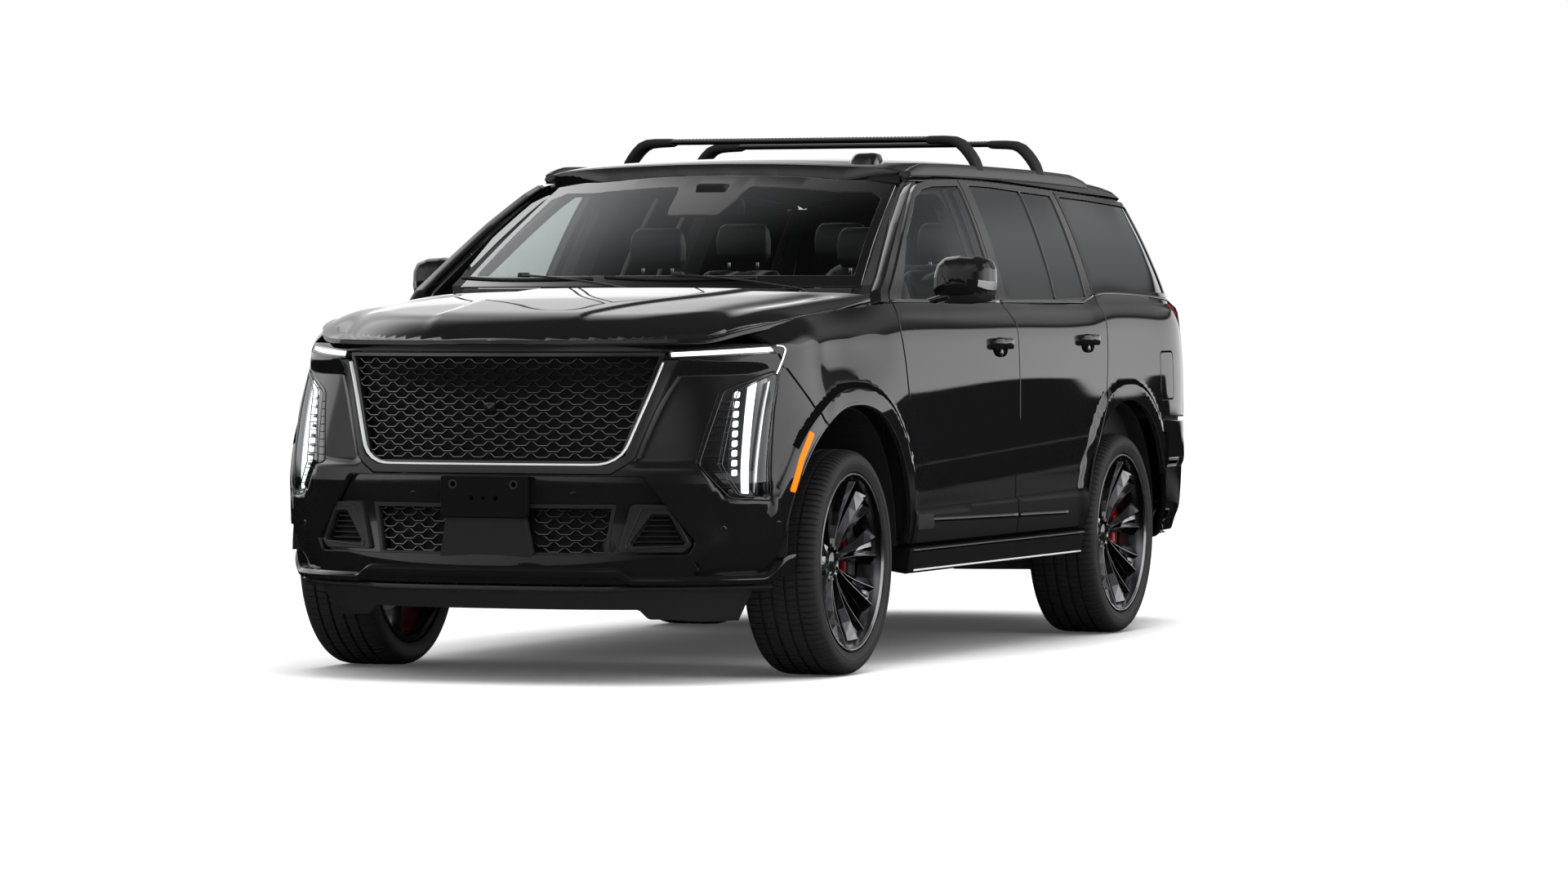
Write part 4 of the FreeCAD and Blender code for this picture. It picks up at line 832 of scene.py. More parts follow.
def nose_pt(u, z, off=0.0):
    """The nose surface by plan angle u (0 at the middle, 90 degrees where the side starts) and height."""
    s = -1 if u < 0 else 1
    au = abs(u)
    if au >= math.pi / 2:
        y = YS + (au - math.pi / 2) * 900.0
        return (s * (side_x(y, z) - off), y, z)
    n = front_n(z)
    y = YS - 620 * math.cos(au)
    for _ in range(4):
        r = roll(y, z)
        a = A_Z(z) - 34 * smooth((z - 900) / 300.0) - r - off
        L = YS - F_Z(min(z, 1230)) - r - off
        k = (abs(math.sin(au) / a) ** n + abs(math.cos(au) / L) ** n) ** (-1 / n)
        y = YS - k * math.cos(au)
    fl = flare(y, z)
    return (s * (k * math.sin(au) + fl * min(1, au)), y, z)


def tail_pt(u, z, off=0.0):
    s = -1 if u < 0 else 1
    au = abs(u)
    if au >= math.pi / 2:
        y = YR - (au - math.pi / 2) * 900.0
        x = side_x(y, z) if z < B_Y(y) else cabin_x(y, z)
        return (s * (x - off), y, z)
    a, L, n = rear_a(z) - off, R_Z(z) - YR - off, REAR_N
    k = (abs(math.sin(au) / a) ** n + abs(math.cos(au) / L) ** n) ** (-1 / n)
    return (s * k * math.sin(au), YR + k * math.cos(au), z)


def nose_u(x, z):
    """Plan angle of the nose surface at half-width x."""
    lo, hi = 0.0, math.pi / 2
    for _ in range(30):
        m = (lo + hi) / 2
        if nose_pt(m, z)[0] < abs(x):
            lo = m
        else:
            hi = m
    return math.copysign(lo, x)


def nose_uy(y, z):
    """Plan angle of the nose surface at a given y on the left side."""
    if y >= YS:
        return math.pi / 2 + (y - YS) / 900.0
    lo, hi = 0.0, math.pi / 2
    for _ in range(30):
        m = (lo + hi) / 2
        if nose_pt(m, z)[1] < y:
            lo = m
        else:
            hi = m
    return lo


def tail_u(x, z):
    lo, hi = 0.0, math.pi / 2
    for _ in range(30):
        m = (lo + hi) / 2
        if tail_pt(m, z)[0] < abs(x):
            lo = m
        else:
            hi = m
    return math.copysign(lo, x)


def tail_uy(y, z):
    if y <= YR:
        return math.pi / 2 + (YR - y) / 900.0
    lo, hi = 0.0, math.pi / 2
    for _ in range(30):
        m = (lo + hi) / 2
        if tail_pt(m, z)[1] > y:
            lo = m
        else:
            hi = m
    return lo


def sweep(name, body, mat, path, section, closed=False, side=1, up=(0, 0, 1), caps=True, slot=None, smooth=True, rep=()):
    """Sweeps a section of (across, up) points along a path of 3-D points. up may be one vector or one for each point."""
    n, m = len(path), len(section)
    verts, faces = [], []
    P = [Vector(p) for p in path]
    for i, p in enumerate(P):
        a = P[i - 1] if (i > 0 or closed) else P[i]
        b = P[(i + 1) % n] if (i < n - 1 or closed) else P[i]
        t = (b - a).normalized()
        U = Vector(up[i]) if isinstance(up, list) else Vector(up)
        s = t.cross(U).normalized()
        U = s.cross(t).normalized()
        for q in section:
            verts.append(p + s * q[0] + U * q[1])
    for i in range(n if closed else n - 1):
        j = (i + 1) % n
        for k in range(m):
            l = (k + 1) % m
            faces.append((i * m + k, i * m + l, j * m + l, j * m + k))
    if caps and not closed:
        faces.append(tuple(reversed(range(m))))
        faces.append(tuple((n - 1) * m + k for k in range(m)))
    o = make(name, verts, faces, body, mat, smooth=smooth, side=side, slot=slot, rep=rep)
    fix(o)
    return o


def fix(o):
    """Outward normals."""
    import bmesh
    bm = bmesh.new()
    bm.from_mesh(o.data)
    bmesh.ops.recalc_face_normals(bm, faces=bm.faces)
    bm.to_mesh(o.data)
    bm.free()
    return o


def sharp(o, deg=35):
    """Smooth shading with sharp edges above an angle."""
    import bmesh
    bm = bmesh.new()
    bm.from_mesh(o.data)
    lim = math.radians(deg)
    for e in bm.edges:
        e.smooth = not (len(e.link_faces) == 2 and e.calc_face_angle(0) > lim)
    bm.to_mesh(o.data)
    bm.free()
    return o


def bevel(o, w, seg=2, deg=35):
    """Applies a small bevel to a closed mesh."""
    import bmesh
    bm = bmesh.new()
    bm.from_mesh(o.data)
    bmesh.ops.remove_doubles(bm, verts=bm.verts, dist=1e-6)
    lim = math.radians(deg)
    ed = [e for e in bm.edges if len(e.link_faces) == 2 and e.calc_face_angle(0) > lim]
    bmesh.ops.bevel(bm, geom=ed, offset=w / 1000, segments=seg, profile=0.6, affect="EDGES", clamp_overlap=True)
    bmesh.ops.recalc_face_normals(bm, faces=bm.faces)
    for f in bm.faces:
        f.smooth = True
    bm.to_mesh(o.data)
    bm.free()
    return sharp(o, 40)


def solid(name, body, mat, pts, axis, lo, hi, side=1, bev=2.0, slot=None, seg=2, rep=()):
    """Prism from an outline, with bevelled edges. axis x: pts are (y, z); y: (x, z); z: (x, y)."""
    n = len(pts)
    f = {"x": lambda p, h: (h, p[0], p[1]), "y": lambda p, h: (p[0], h, p[1]), "z": lambda p, h: (p[0], p[1], h)}[axis]
    verts = [f(p, lo) for p in pts] + [f(p, hi) for p in pts]
    faces = [tuple(range(n)), tuple(reversed(range(n, 2 * n)))] + [(i, (i + 1) % n, n + (i + 1) % n, n + i) for i in range(n)]
    o = fix(make(name, verts, faces, body, mat, side=side, slot=slot, rep=rep))
    if bev:
        bevel(o, bev, seg)
    return o


def lathe(name, body, mat, profile, centre, side=1, n=96, axis="x", smooth=True, slot=None, deg=30, close=True, rep=()):
    """Revolves (position along the axis, radius) points round an axis through centre."""
    cx, cy, cz = centre
    verts, faces = [], []
    m = len(profile)
    for i in range(n):
        a = 2 * math.pi * i / n
        for x, r in profile:
            if axis == "x":
                verts.append((cx + x, cy + r * math.cos(a), cz + r * math.sin(a)))
            elif axis == "y":
                verts.append((cx + r * math.cos(a), cy + x, cz + r * math.sin(a)))
            else:
                verts.append((cx + r * math.cos(a), cy + r * math.sin(a), cz + x))
    for i in range(n):
        j = (i + 1) % n
        for k in range(m if close else m - 1):
            l = (k + 1) % m
            faces.append((i * m + k, i * m + l, j * m + l, j * m + k))
    o = make(name, verts, faces, body, mat, side=side, smooth=smooth, slot=slot, rep=rep)
    fix(o)
    return sharp(o, deg)


def join(objs, name):
    """Joins pieces of one body into the first."""
    base = objs[0]
    with bpy.context.temp_override(active_object=base, selected_editable_objects=objs, selected_objects=objs, object=base):
        bpy.ops.object.join()
    base.name = name
    return base
M["belt"] = principled("belt_webbing", (0.012, 0.012, 0.012), 0.8, bump=(600, 0.25, 0.001, "weave"))
M["exhaust"] = principled("heat_stained_steel", (0.16, 0.15, 0.14), 0.4, metal=1.0, bump=(120, 0.15, 0.001, "noise"))


# ---------------------------------------------------------------- outlines shared with the part
Z_DOOR = 446.0
DF = [(-1112, Z_DOOR), (-1112, 640), (-1136, 711), (-1150, 850), (-1162, 1009), (-1185, 1120), (-1215, 1228), (-1200, 1290), (-1185, 1336), (-1163, 1375), (-1000, 1474), (-800, 1600), (-600, 1716), (-515, 1761), (-430, 1790), (-275, 1807), (61, 1817)]
DM = [(61, 1817), (-23, 1342), (-6, 1315), (52, 1258), (48, 1099), (44, 890), (48, 587), (50, Z_DOOR)]
DR = [(1150, 1792), (1135, 1342), (1158, 1300), (1168, 1260), (1158, 1133), (1128, 981), (977, 767), (905, 618), (880, Z_DOOR)]
FRONT_DOOR = DF + DM[1:]
REAR_DOOR = DM[::-1] + [(152, 1816), (640, 1808), (900, 1800)] + DR
GL_F = [(-1055, 1349), (-700, 1349), (-56, 1349), (26, 1788), (-275, 1779), (-400, 1767), (-515, 1735), (-780, 1583)]
GL_R1 = [(72, 1349), (657, 1352), (719, 1779), (400, 1790), (150, 1791)]
GL_R2 = [(672, 1352), (1040, 1362), (1085, 1768), (735, 1778)]
QG = [(1196, 1392), (2175, 1380), (2080, 1737), (1600, 1757), (1196, 1766)]


def curve_pts(f, y0, y1, step=24):
    n = max(2, int(abs(y1 - y0) / step) + 1)
    return [(y, f(y)) for y in lin_(y0, y1, n)]


def clip(loop, f, keep="below", step=12):
    """Part of an outline below (or above) the curve z = f(y). The new edge follows the curve."""
    L = resample(loop, step)
    ins = [(p[1] <= f(p[0])) == (keep == "below") for p in L]
    if all(ins):
        return loop
    n = len(L)
    # start at a point that is inside and whose predecessor is outside
    s = next(i for i in range(n) if ins[i] and not ins[i - 1])
    out, i, pend = [], 0, None
    while i < n:
        a, b = L[(s + i - 1) % n], L[(s + i) % n]
        ia, ib = ins[(s + i - 1) % n], ins[(s + i) % n]
        if ia != ib:
            da, db = a[1] - f(a[0]), b[1] - f(b[0])
            t = da / (da - db)
            c = (a[0] + (b[0] - a[0]) * t, a[1] + (b[1] - a[1]) * t)
            if ib and pend is not None:
                out += curve_pts(f, pend[0], c[0])[1:]
                pend = None
            elif ib:
                first = c
                out.append(c)
            else:
                pend = c
                out.append(c)
        if ib:
            out.append(b)
        i += 1
    if pend is not None:
        out += curve_pts(f, pend[0], first[0])[1:-1]
    # drop nearly double points
    res = []
    for p in out:
        if not res or math.dist(p, res[-1]) > 2.0:
            res.append(p)
    if math.dist(res[0], res[-1]) < 2.0:
        res.pop()
    return res


BELT_F = lambda y: B_Y(y)


# ---------------------------------------------------------------- side doors
def cut_side(y, z):
    """A pressing line in the side: a hollow above the sill that deepens rearwards."""
    d = 0.0
    lo = 600 + 0.030 * (y + 1100)             # the hollow's upper edge rises to the rear
    hi = 742 + 0.045 * (y + 1100)
    k = smooth((y + 1180) / 200.0) * (1 - smooth((y - 900) / 140.0))
    if k > 0 and z < hi + 60:
        t = (hi - z) / (hi - 500.0)
        if t > 0:
            d += 15.0 * k * smooth(t * 2.2) * (1 - 0.25 * smooth((t - 0.6) / 0.5))
    return d


def cup_outline(yc, zc, s=1.0, n=44):
    """Rounded outline of the hollow behind a door handle."""
    out = []
    for i in range(n):
        a = 2 * math.pi * i / n
        c, q = math.cos(a), math.sin(a)
        out.append((yc + math.copysign(abs(c) ** 0.8, c) * 86 * s, zc - 6 + math.copysign(abs(q) ** 0.8, q) * 36 * s))
    return out


CUPS = {"front": (-165, 1172), "rear": (899, 1182)}


def S_body(y, z):
    return (side_x(y, z) - cut_side(y, z), y, z)


OUT = (1, 0, 0.1)
for side, nm in ((1, "left"), (-1, "right")):
    for which, outl, glasses in (("front", FRONT_DOOR, [GL_F]), ("rear", REAR_DOOR, [GL_R1, GL_R2])):
        body = f"{which}_door_{nm}"
        o = inset(outl, GAP / 2 + 0.5)
        low = clip(o, lambda y: B_Y(y) - 1)
        panel(f"{which}_door_skin_{nm}", body, M["paint"], S_body, [low, cup_outline(*CUPS[which])], OUT, step=20, wall=38, lip=2.4, round_=1.6, back=lambda p, n: Vector((p.x - 36, p.y, p.z)), side=side, slot="black_paint", rep=(f"{which}_door_{nm}",), wall_mat=M["paint"], bstep=13)
        # the hollow behind the handle is its own bowl
        bv, bf = [], []
        rings_ = (1.0, 0.985, 0.94, 0.86, 0.72, 0.5, 0.25)
        for s_ in rings_:
            for y_, z_ in cup_outline(*CUPS[which], s_):
                bv.append((side_x(y_, z_) - 1.5 - 27 * (1 - s_ ** 5), y_, z_))
        for q_ in range(len(rings_) - 1):
            for i_ in range(44):
                bf.append((q_ * 44 + i_, q_ * 44 + (i_ + 1) % 44, (q_ + 1) * 44 + (i_ + 1) % 44, (q_ + 1) * 44 + i_))
        bf.append(tuple((len(rings_) - 1) * 44 + i_ for i_ in range(44)))
        make(f"{which}_door_cup_{nm}", bv, bf, body, M["gloss"], side=side, slot="gloss_black")
        up = clip(o, lambda y: 1333, "above")
        # frame round the windows, in gloss black
        panel(f"{which}_door_frame_{nm}", body, M["gloss"], S_cab, [up] + [inset(g, 0) for g in glasses], OUT, step=20, wall=30, lip=2.0, round_=1.4, back=lambda p, n: Vector((p.x - 44, p.y, p.z)), side=side, slot="gloss_black", bstep=14)
        # inner door: trim card standing inside the skin, with a wall back to it
        card = inset(outl, 31)
        cardl = clip(card, lambda y: 1322)

        def S_card(y, z):
            x = side_x(y, min(z, 1290)) - 108
            t = (z - 640) / 600.0
            x += 14 * math.exp(-((z - 1130) / 40.0) ** 2)             # a waist line
            x += 18 * smooth((z - 560) / 90.0) * (1 - smooth((z - 860) / 80.0)) * smooth((y - (-1010 if which == "front" else 150)) / 120.0) * (1 - smooth((y - (-160 if which == "front" else 800)) / 120.0))
            return (x, y, z)
        panel(f"{which}_door_card_{nm}", body, M["matte"], S_card, [cardl], (-1, 0, 0), step=26, wall=70, lip=3, round_=2, side=side, slot="matte_black", bstep=20)
        y0, y1 = (-960, -190) if which == "front" else (190, 830)
        # arm rest, pull cup and speaker grille
        ym = (y0 + y1) / 2
        arm = [(y0, 1010), (y1, 1000), (y1 + 10, 1052), (y1 - 60, 1080), (y0 + 90, 1092), (y0 - 10, 1050)]
        xa = side_x(ym, 1050) - 108
        solid(f"{which}_door_armrest_{nm}", body, M["leather"], rounded(arm, 26), "x", xa - 44, xa + 16, side=side, bev=9, seg=3, slot="seat_leather")
        pts = rounded([(y0 + 110, 1096), (y1 - 160, 1090), (y1 - 180, 1112), (y0 + 130, 1118)], 8)
        solid(f"{which}_door_switches_{nm}", body, M["screen"], pts, "x", xa - 30, xa + 10, side=side, bev=3, slot="gloss_black")
        gy, gz = (y0 + 120, 800) if which == "front" else (y0 + 90, 830)
        prof = [(0, 0.5), (0, 70), (4, 84), (10, 88), (10, 94), (-2, 96), (-6, 80), (-6, 0.5)]
        lathe(f"{which}_door_speaker_{nm}", body, M["smoke"], [(-p[0] - 2, p[1]) for p in prof], (xa + 4, gy, gz), side=side, n=48, slot="frame_steel")
        h = rounded([(y0 + 60, 1178), (y0 + 190, 1172), (y0 + 196, 1192), (y0 + 66, 1200)], 8)
        solid(f"{which}_door_release_{nm}", body, M["smoke"], h, "x", xa - 16, xa + 6, side=side, bev=3, slot="steel")

# the panes
def pane(name, body, mat, surf, loop, hint, side, rep, slot, t=5.0, dz=-9.0, step=60):
    return panel(name, body, mat, surf, [loop], hint, step=step, wall=t, lip=0.8, round_=0.8, t=t, side=side, dz=dz, slot=slot, rep=rep, bstep=40)


for side, nm in ((1, "left"), (-1, "right")):
    pane(f"front_door_pane_{nm}", f"front_door_{nm}", M["glass"], S_cab, inset(GL_F, 0.6), OUT, side, (f"front_door_glass_{nm}",), "clear_glass")
    pane(f"rear_door_pane_{nm}", f"rear_door_{nm}", M["tint"], S_cab, inset(GL_R1, 0.6), OUT, side, (f"rear_door_glass_{nm}",), "dark_glass")
    pane(f"rear_door_fixed_pane_{nm}", f"rear_door_{nm}", M["tint"], S_cab, inset(GL_R2, 0.6), OUT, side, (), "dark_glass")
    pane(f"quarter_pane_{nm}", "body", M["tint"], S_cab, inset(QG, 0.6), OUT, side, ("quarter_windows",), "dark_glass")
    # bright-black belt moulding is a separate strip on the doors and quarters
    for bd, ya, yb in ((f"front_door_{nm}", -1180, -30), (f"rear_door_{nm}", -18, 1128), ("body", 1142, 2214)):
        path = [(cabin_x(y, B_Y(y) if y > 1000 else 1338) - 1.0, y, (B_Y(y) if y > 1000 else 1338) + 1) for y in lin_(ya, yb, 24)]
        sweep(f"belt_moulding_{bd}_{nm}_{int(ya)}".replace("-", "m"), bd, M["gloss"], path, [(-5, -6), (5, -6), (6, 0), (4, 6), (-5, 8)], side=side, slot="gloss_black")

# ---------------------------------------------------------------- fenders
fo = [(-1985, 902), (-2017, 921), (-2098, 1021), (-2158, 1107), (-2193, 1174), (-2259, 1264), (-2259, 1420), (-1189, 1420)] + [(y - GAP, z) for y, z in DF[8::-1][:-1]] + [(-1112 - GAP, 452)]
arch = [p for p in arch_curve(ARCH_F, 0, -12, 192, 90) if p[1] > 452 and p[0] > -1985][::-1]
fo = fo + [(arch[0][0], 452)] + arch
fo = clip(fo, lambda y: B_Y(y) - 0.5)
for side, nm in ((1, "left"), (-1, "right")):
    panel(f"fender_{nm}", "body", M["paint"], S_side, [fo], OUT, step=18, wall=20, lip=2.2, round_=1.5, back=lambda p, n: Vector((p.x - 18, p.y, p.z)), side=side, slot="black_paint", rep=("fenders",), bstep=11)

# ---------------------------------------------------------------- quarters
cap_q = rounded([(FUEL[0], FUEL[2]), (FUEL[1], FUEL[2]), (FUEL[1] - 8, FUEL[3]), (FUEL[0], FUEL[3])], 28)
qo = [(DR[1][0] + GAP, 1500)] + [(y + GAP / 2 + 1, z) for y, z in DR[1:-1]] + [(885, 452)]
archr = [p for p in arch_curve(ARCH_R, 0, -12, 192, 90) if p[1] > 452]
qo = qo + [(archr[0][0], 452)] + [p for p in archr if p[0] < 1886] + [(1886, 869), (2238, 869), (2262, 1000), (2225, 1340), (2215, 1500)]
qo_c = clip(qo, lambda y: B_Y(y) - 0.5)


def S_qtr(y, z):
    return (side_x(y, z), y, z)


for side, nm in ((1, "left"), (-1, "right")):
    holes = [cap_q] if side > 0 else []
    panel(f"quarter_{nm}", "body", M["paint"], S_qtr, [qo_c] + holes, OUT, step=19, wall=24, lip=2.2, round_=1.5, back=lambda p, n: Vector((p.x - 22, p.y, p.z)), side=side, slot="black_paint", rep=("quarter_panels",), bstep=11)
    co = [(1141, 1334), (1156, 1786), (2082, 1759), (2128, 1700), (2160, 1600), (2190, 1480), (2215, 1334)]
    panel(f"quarter_frame_{nm}", "body", M["paint"], S_cab, [co, QG], OUT, step=20, wall=24, lip=2.2, round_=1.5, back=lambda p, n: Vector((p.x - 34, p.y, p.z)), side=side, slot="black_paint", bstep=14)
panel("fuel_flap", "fuel_door", M["paint"], S_qtr, [inset(cap_q, 5.2)], OUT, step=18, wall=9.5, lip=1.6, round_=1.1, back=lambda p, n: Vector((p.x - 9, p.y, p.z)), slot="black_paint", rep=("fuel_door",), bstep=9)
# filler pocket behind the flap
fy, fz = (FUEL[0] + FUEL[1]) / 2, (FUEL[2] + FUEL[3]) / 2
xf = side_x(fy, fz)
wl = [Vector((xf - 12, p[0], p[1])) for p in resample(cap_q, 12)]
wv, wf = [], []
n_ = len(wl)
for d in (0, 62):
    wv += [(p.x - d, fy + (p.y - fy) * (1 - d / 500), fz + (p.z - fz) * (1 - d / 500)) for p in wl]
wf = [(i, (i + 1) % n_, n_ + (i + 1) % n_, n_ + i) for i in range(n_)] + [tuple(range(n_, 2 * n_))]
make("filler_pocket", wv, wf, "body", M["dark"], slot="matte_black")
lathe("filler_neck", "body", M["matte"], [(0, 0.5), (0, 30), (6, 38), (24, 40), (24, 0.5)], (xf - 74, fy, fz), n=48, slot="matte_black")

# ---------------------------------------------------------------- A posts
ao = [(-1275, 1338), (-1193, 1338), (-1171, 1379), (-1006, 1482), (-806, 1608), (-606, 1724), (-520, 1765), (-440, 1789), (-434, 1794), (-470, 1792), (-560, 1759), (-800, 1640), (-1000, 1524), (-1150, 1434), (-1240, 1385)]
for side, nm in ((1, "left"), (-1, "right")):
    panel(f"screen_post_{nm}", "body", M["paint"], S_cab, [ao], OUT, step=16, wall=40, lip=1.8, round_=2.5, back=lambda p, n: Vector((p.x - 44, p.y, p.z)), side=side, slot="black_paint", rep=("windscreen_posts",), bstep=14)

# ---------------------------------------------------------------- roof
UP = (0, 0, 1)


def S_roof(x, y):
    return (x, y, roof_z(x, y))


edge = [(cabin_x(y, DT_Y(max(y, -275)) + 8) - 1.2, y) for y in lin_(-444, 2206, 120)]
ro = edge + [(-x, y) for x, y in reversed(edge)]
panel("roof_skin", "body", M["paint"], S_roof, [ro], UP, step=34, wall=20, lip=2.0, round_=1.2, back=lambda p, n: Vector((p.x, p.y, p.z - 20)), slot="black_paint", rep=("roof",), bstep=13, back_mat=M["fabric"])


# ---------------------------------------------------------------- hood
def hood_detail(x, y):
    """A line pressed into the hood: a valley beside each fender; the raised middle comes from crown."""
    ax = abs(x)
    k = smooth((y + 2560) / 260.0)
    d = 0.0
    v = 700 + 40 * smooth((y + 2400) / 900.0)
    d -= 9.0 * math.exp(-((ax - v) / 62.0) ** 2) * k * (1 - smooth((y + 1420) / 200.0))
    return d


def S_hood(x, y):
    return (x, y, hood_z(x, y) + hood_detail(x, y))


hl = [(0, -2632), (300, -2606), (560, -2528), (700, -2444), (778, -2352), (812, -2290), (838, -2236), (868, -2140), (886, -2060), (900, -1930), (908, -1750), (908, -1540), (902, -1340), (890, -1192), (760, -1208), (500, -1292), (0, -1330)]
sp_l = spline([(p[1], p[0]) for p in hl[1:14]])
hs = [(0, -2632), (150, -2626)] + [(sp_l(y), y) for y in lin_(-2606, -1192, 70)] + [(828, -1196), (760, -1208), (640, -1246), (500, -1284), (260, -1318)]
ho = hs + [(0, -1330)] + [(-x, y) for x, y in hs[:0:-1]]
ho = [p for i, p in enumerate(ho) if not (i and math.dist(p, ho[i - 1]) < 3)]
panel("hood_skin", "hood", M["paint"], S_hood, [ho], UP, step=19, wall=20, lip=2.2, round_=1.6, back=lambda p, n: Vector((p.x, p.y, p.z - 19)), slot="black_paint", rep=("hood",), bstep=11, back_mat=M["liner"])


# ---------------------------------------------------------------- nose
def zl_line(ax):
    for (x0, z0), (x1, z1) in zip(((0, 763), (740, 760), (815, 656), (957, 622)), ((740, 760), (815, 656), (957, 622), (1200, 560))):
        if ax <= x1:
            return z0 + (z1 - z0) * (ax - x0) / (x1 - x0)
    return 560


def recess(ax, z):
    """How far the nose's skin stands inside the plain surface: hollows beside the grille and under the lamps, and the crease to the wheel."""
    zl = zl_line(ax)
    xg = 455 + (z - 734) * 0.34
    r = 0.0
    if z > zl - 20:
        k = smooth((ax - xg - 15) / 90.0) * (1 - smooth((ax - 790) / 170.0))
        r += (20 * k) * smooth((z - zl + 8) / 34.0) * (1 - smooth((z - 1075) / 60.0))
    if ax > 700 and z < 515:
        q = smooth((ax - 722) / 20.0)
        r += q * (7 * (1 - smooth((z - 500) / 9.0)) + 12 * smooth((478 - z) / 80.0))
    if ax > 760 and z < zl:
        r += 5 * smooth((zl - 30 - z) / 70.0) * smooth((ax - 760) / 80.0)
    return r


def S_nose(u, z):
    p = nose_pt(u, z)
    return nose_pt(u, z, recess(abs(p[0]), z))


def S_nose_off(off):
    def f(u, z):
        p = nose_pt(u, z)
        return nose_pt(u, z, recess(abs(p[0]), z) + off)
    return f


def U(pts, step=16):
    """(x, z) outline on the nose as plan angles."""
    return [(nose_u(x, z), z) for x, z in resample(pts, step)]


def UY(pts, s=1):
    return [(s * nose_uy(y, z), z) for y, z in pts]


def sym(pts):
    return pts + [(-x, z) for x, z in reversed(pts)]


NK = dict(su=900.0, eu=0.0008)
af = [p for p in arch_curve(ARCH_F, 0, -12, 192, 90) if p[1] > 356 and p[0] < -1992]
right_edge = [(af[0][0], 354)] + af + [(-1990, 897), (-2023, 917), (-2104, 1017), (-2164, 1103), (-2199, 1170), (-2209, 1191)]
ue = UY(right_edge)
bot_u, top_u = ue[0][0], ue[-1][0]
outer_n = ue + [(top_u - 2 * top_u * i / 60, 1191) for i in range(1, 60)] + [(-u, z) for u, z in reversed(ue)] + [(-bot_u + 2 * bot_u * i / 60, 354) for i in range(1, 60)]
H_ = sym([(455, 735), (534, 788), (651, 1134), (624, 1137), (611, 1196)])
H_ = [(455, 735), (534, 788), (651, 1134), (624, 1137), (612, 1194), (-612, 1194), (-624, 1137), (-651, 1134), (-534, 788), (-455, 735)]
LAMP = rounded([(917, 1101), (783, 1026), (733, 768), (824, 651), (930, 642)], [16, 30, 30, 26, 10])
LENS = rounded([(916, 1090), (824, 1020), (803, 770), (856, 664), (917, 655)], [10, 24, 26, 20, 8])
BAR = [(628, 1141), (624, 1166), (800, 1178), (918, 1188), (938, 1180), (934, 1106), (920, 1108), (916, 1158), (800, 1150)]
MOUTH = rounded([(566, 730), (728, 500), (702, 456), (-702, 456), (-728, 500), (-566, 730)], 24)
holes = [U(H_), U(MOUTH)]
for s in (1, -1):
    holes.append(U([(s * x, z) for x, z in LAMP], 12))
    holes.append(U([(s * x, z) for x, z in BAR], 10))
panel("front_fascia", "body", M["paint"], S_nose, [outer_n] + holes, (0, -1, 0.02), step=17, wall=24, lip=2.2, round_=1.5, slot="black_paint", rep=("front_bumper",), bstep=11, **NK)

BEZ = [(649, 1132), (533, 789), (454, 738), (-454, 738), (-533, 789), (-649, 1132), (-608, 1132), (-500, 800), (-440, 768), (440, 768), (500, 800), (608, 1132)]
panel("grille_bezel", "body", M["satin"], S_nose_off(1), [U(BEZ)], (0, -1, 0), step=14, wall=34, lip=2.4, round_=1.6, slot="gloss_black", bstep=10, **NK)
HDR = [(609, 1191), (619, 1163), (-619, 1163), (-609, 1191)]
panel("grille_header", "body", M["paint"], S_nose_off(1), [U(HDR)], (0, -1, 0), step=12, wall=34, lip=2.4, round_=1.6, slot="black_paint", bstep=12, **NK)
GR = [(-617, 1160), (617, 1160), (500, 800), (440, 768), (-440, 768), (-500, 800)]
panel("grille_surround", "body", M["gloss"], S_nose_off(12), [U(inset(GR, 2)), U(inset(GR, 15))], (0, -1, 0), step=12, wall=30, lip=1.2, round_=1.0, slot="gloss_black", bstep=12, **NK)


def nose_path(pts, off):
    out = []
    for x, z in pts:
        u = nose_u(x, z)
        out.append(nose_pt(u, z, off))
    return out


# bright line down both sides and along the bottom of the grille
tr = [(606, 1124), (497, 803), (439, 770), (-439, 770), (-497, 803), (-606, 1124)]
trp = []
for i in range(len(tr) - 1):
    a, b = tr[i], tr[i + 1]
    k = max(2, int(math.dist(a, b) / 26))
    trp += [(a[0] + (b[0] - a[0]) * j / k, a[1] + (b[1] - a[1]) * j / k) for j in range(k)]
trp.append(tr[-1])
# round the corners by averaging
for _ in range(2):
    trp = [trp[0]] + [((trp[i - 1][0] + 2 * trp[i][0] + trp[i + 1][0]) / 4, (trp[i - 1][1] + 2 * trp[i][1] + trp[i + 1][1]) / 4) for i in range(1, len(trp) - 1)] + [trp[-1]]
pth = nose_path(trp, 6)
ups = [tuple((Vector(nose_pt(nose_u(x, z), z, -4)) - Vector(nose_pt(nose_u(x, z), z, 6))).normalized()) for x, z in trp]
sec = [(-3.6, -6), (3.6, -6), (3.6, 3.2), (2.2, 5.0), (-2.2, 5.0), (-3.6, 3.2)]
sharp(sweep("grille_bright_line", "body", M["silver"], pth, sec, up=ups, slot="steel"), 30)


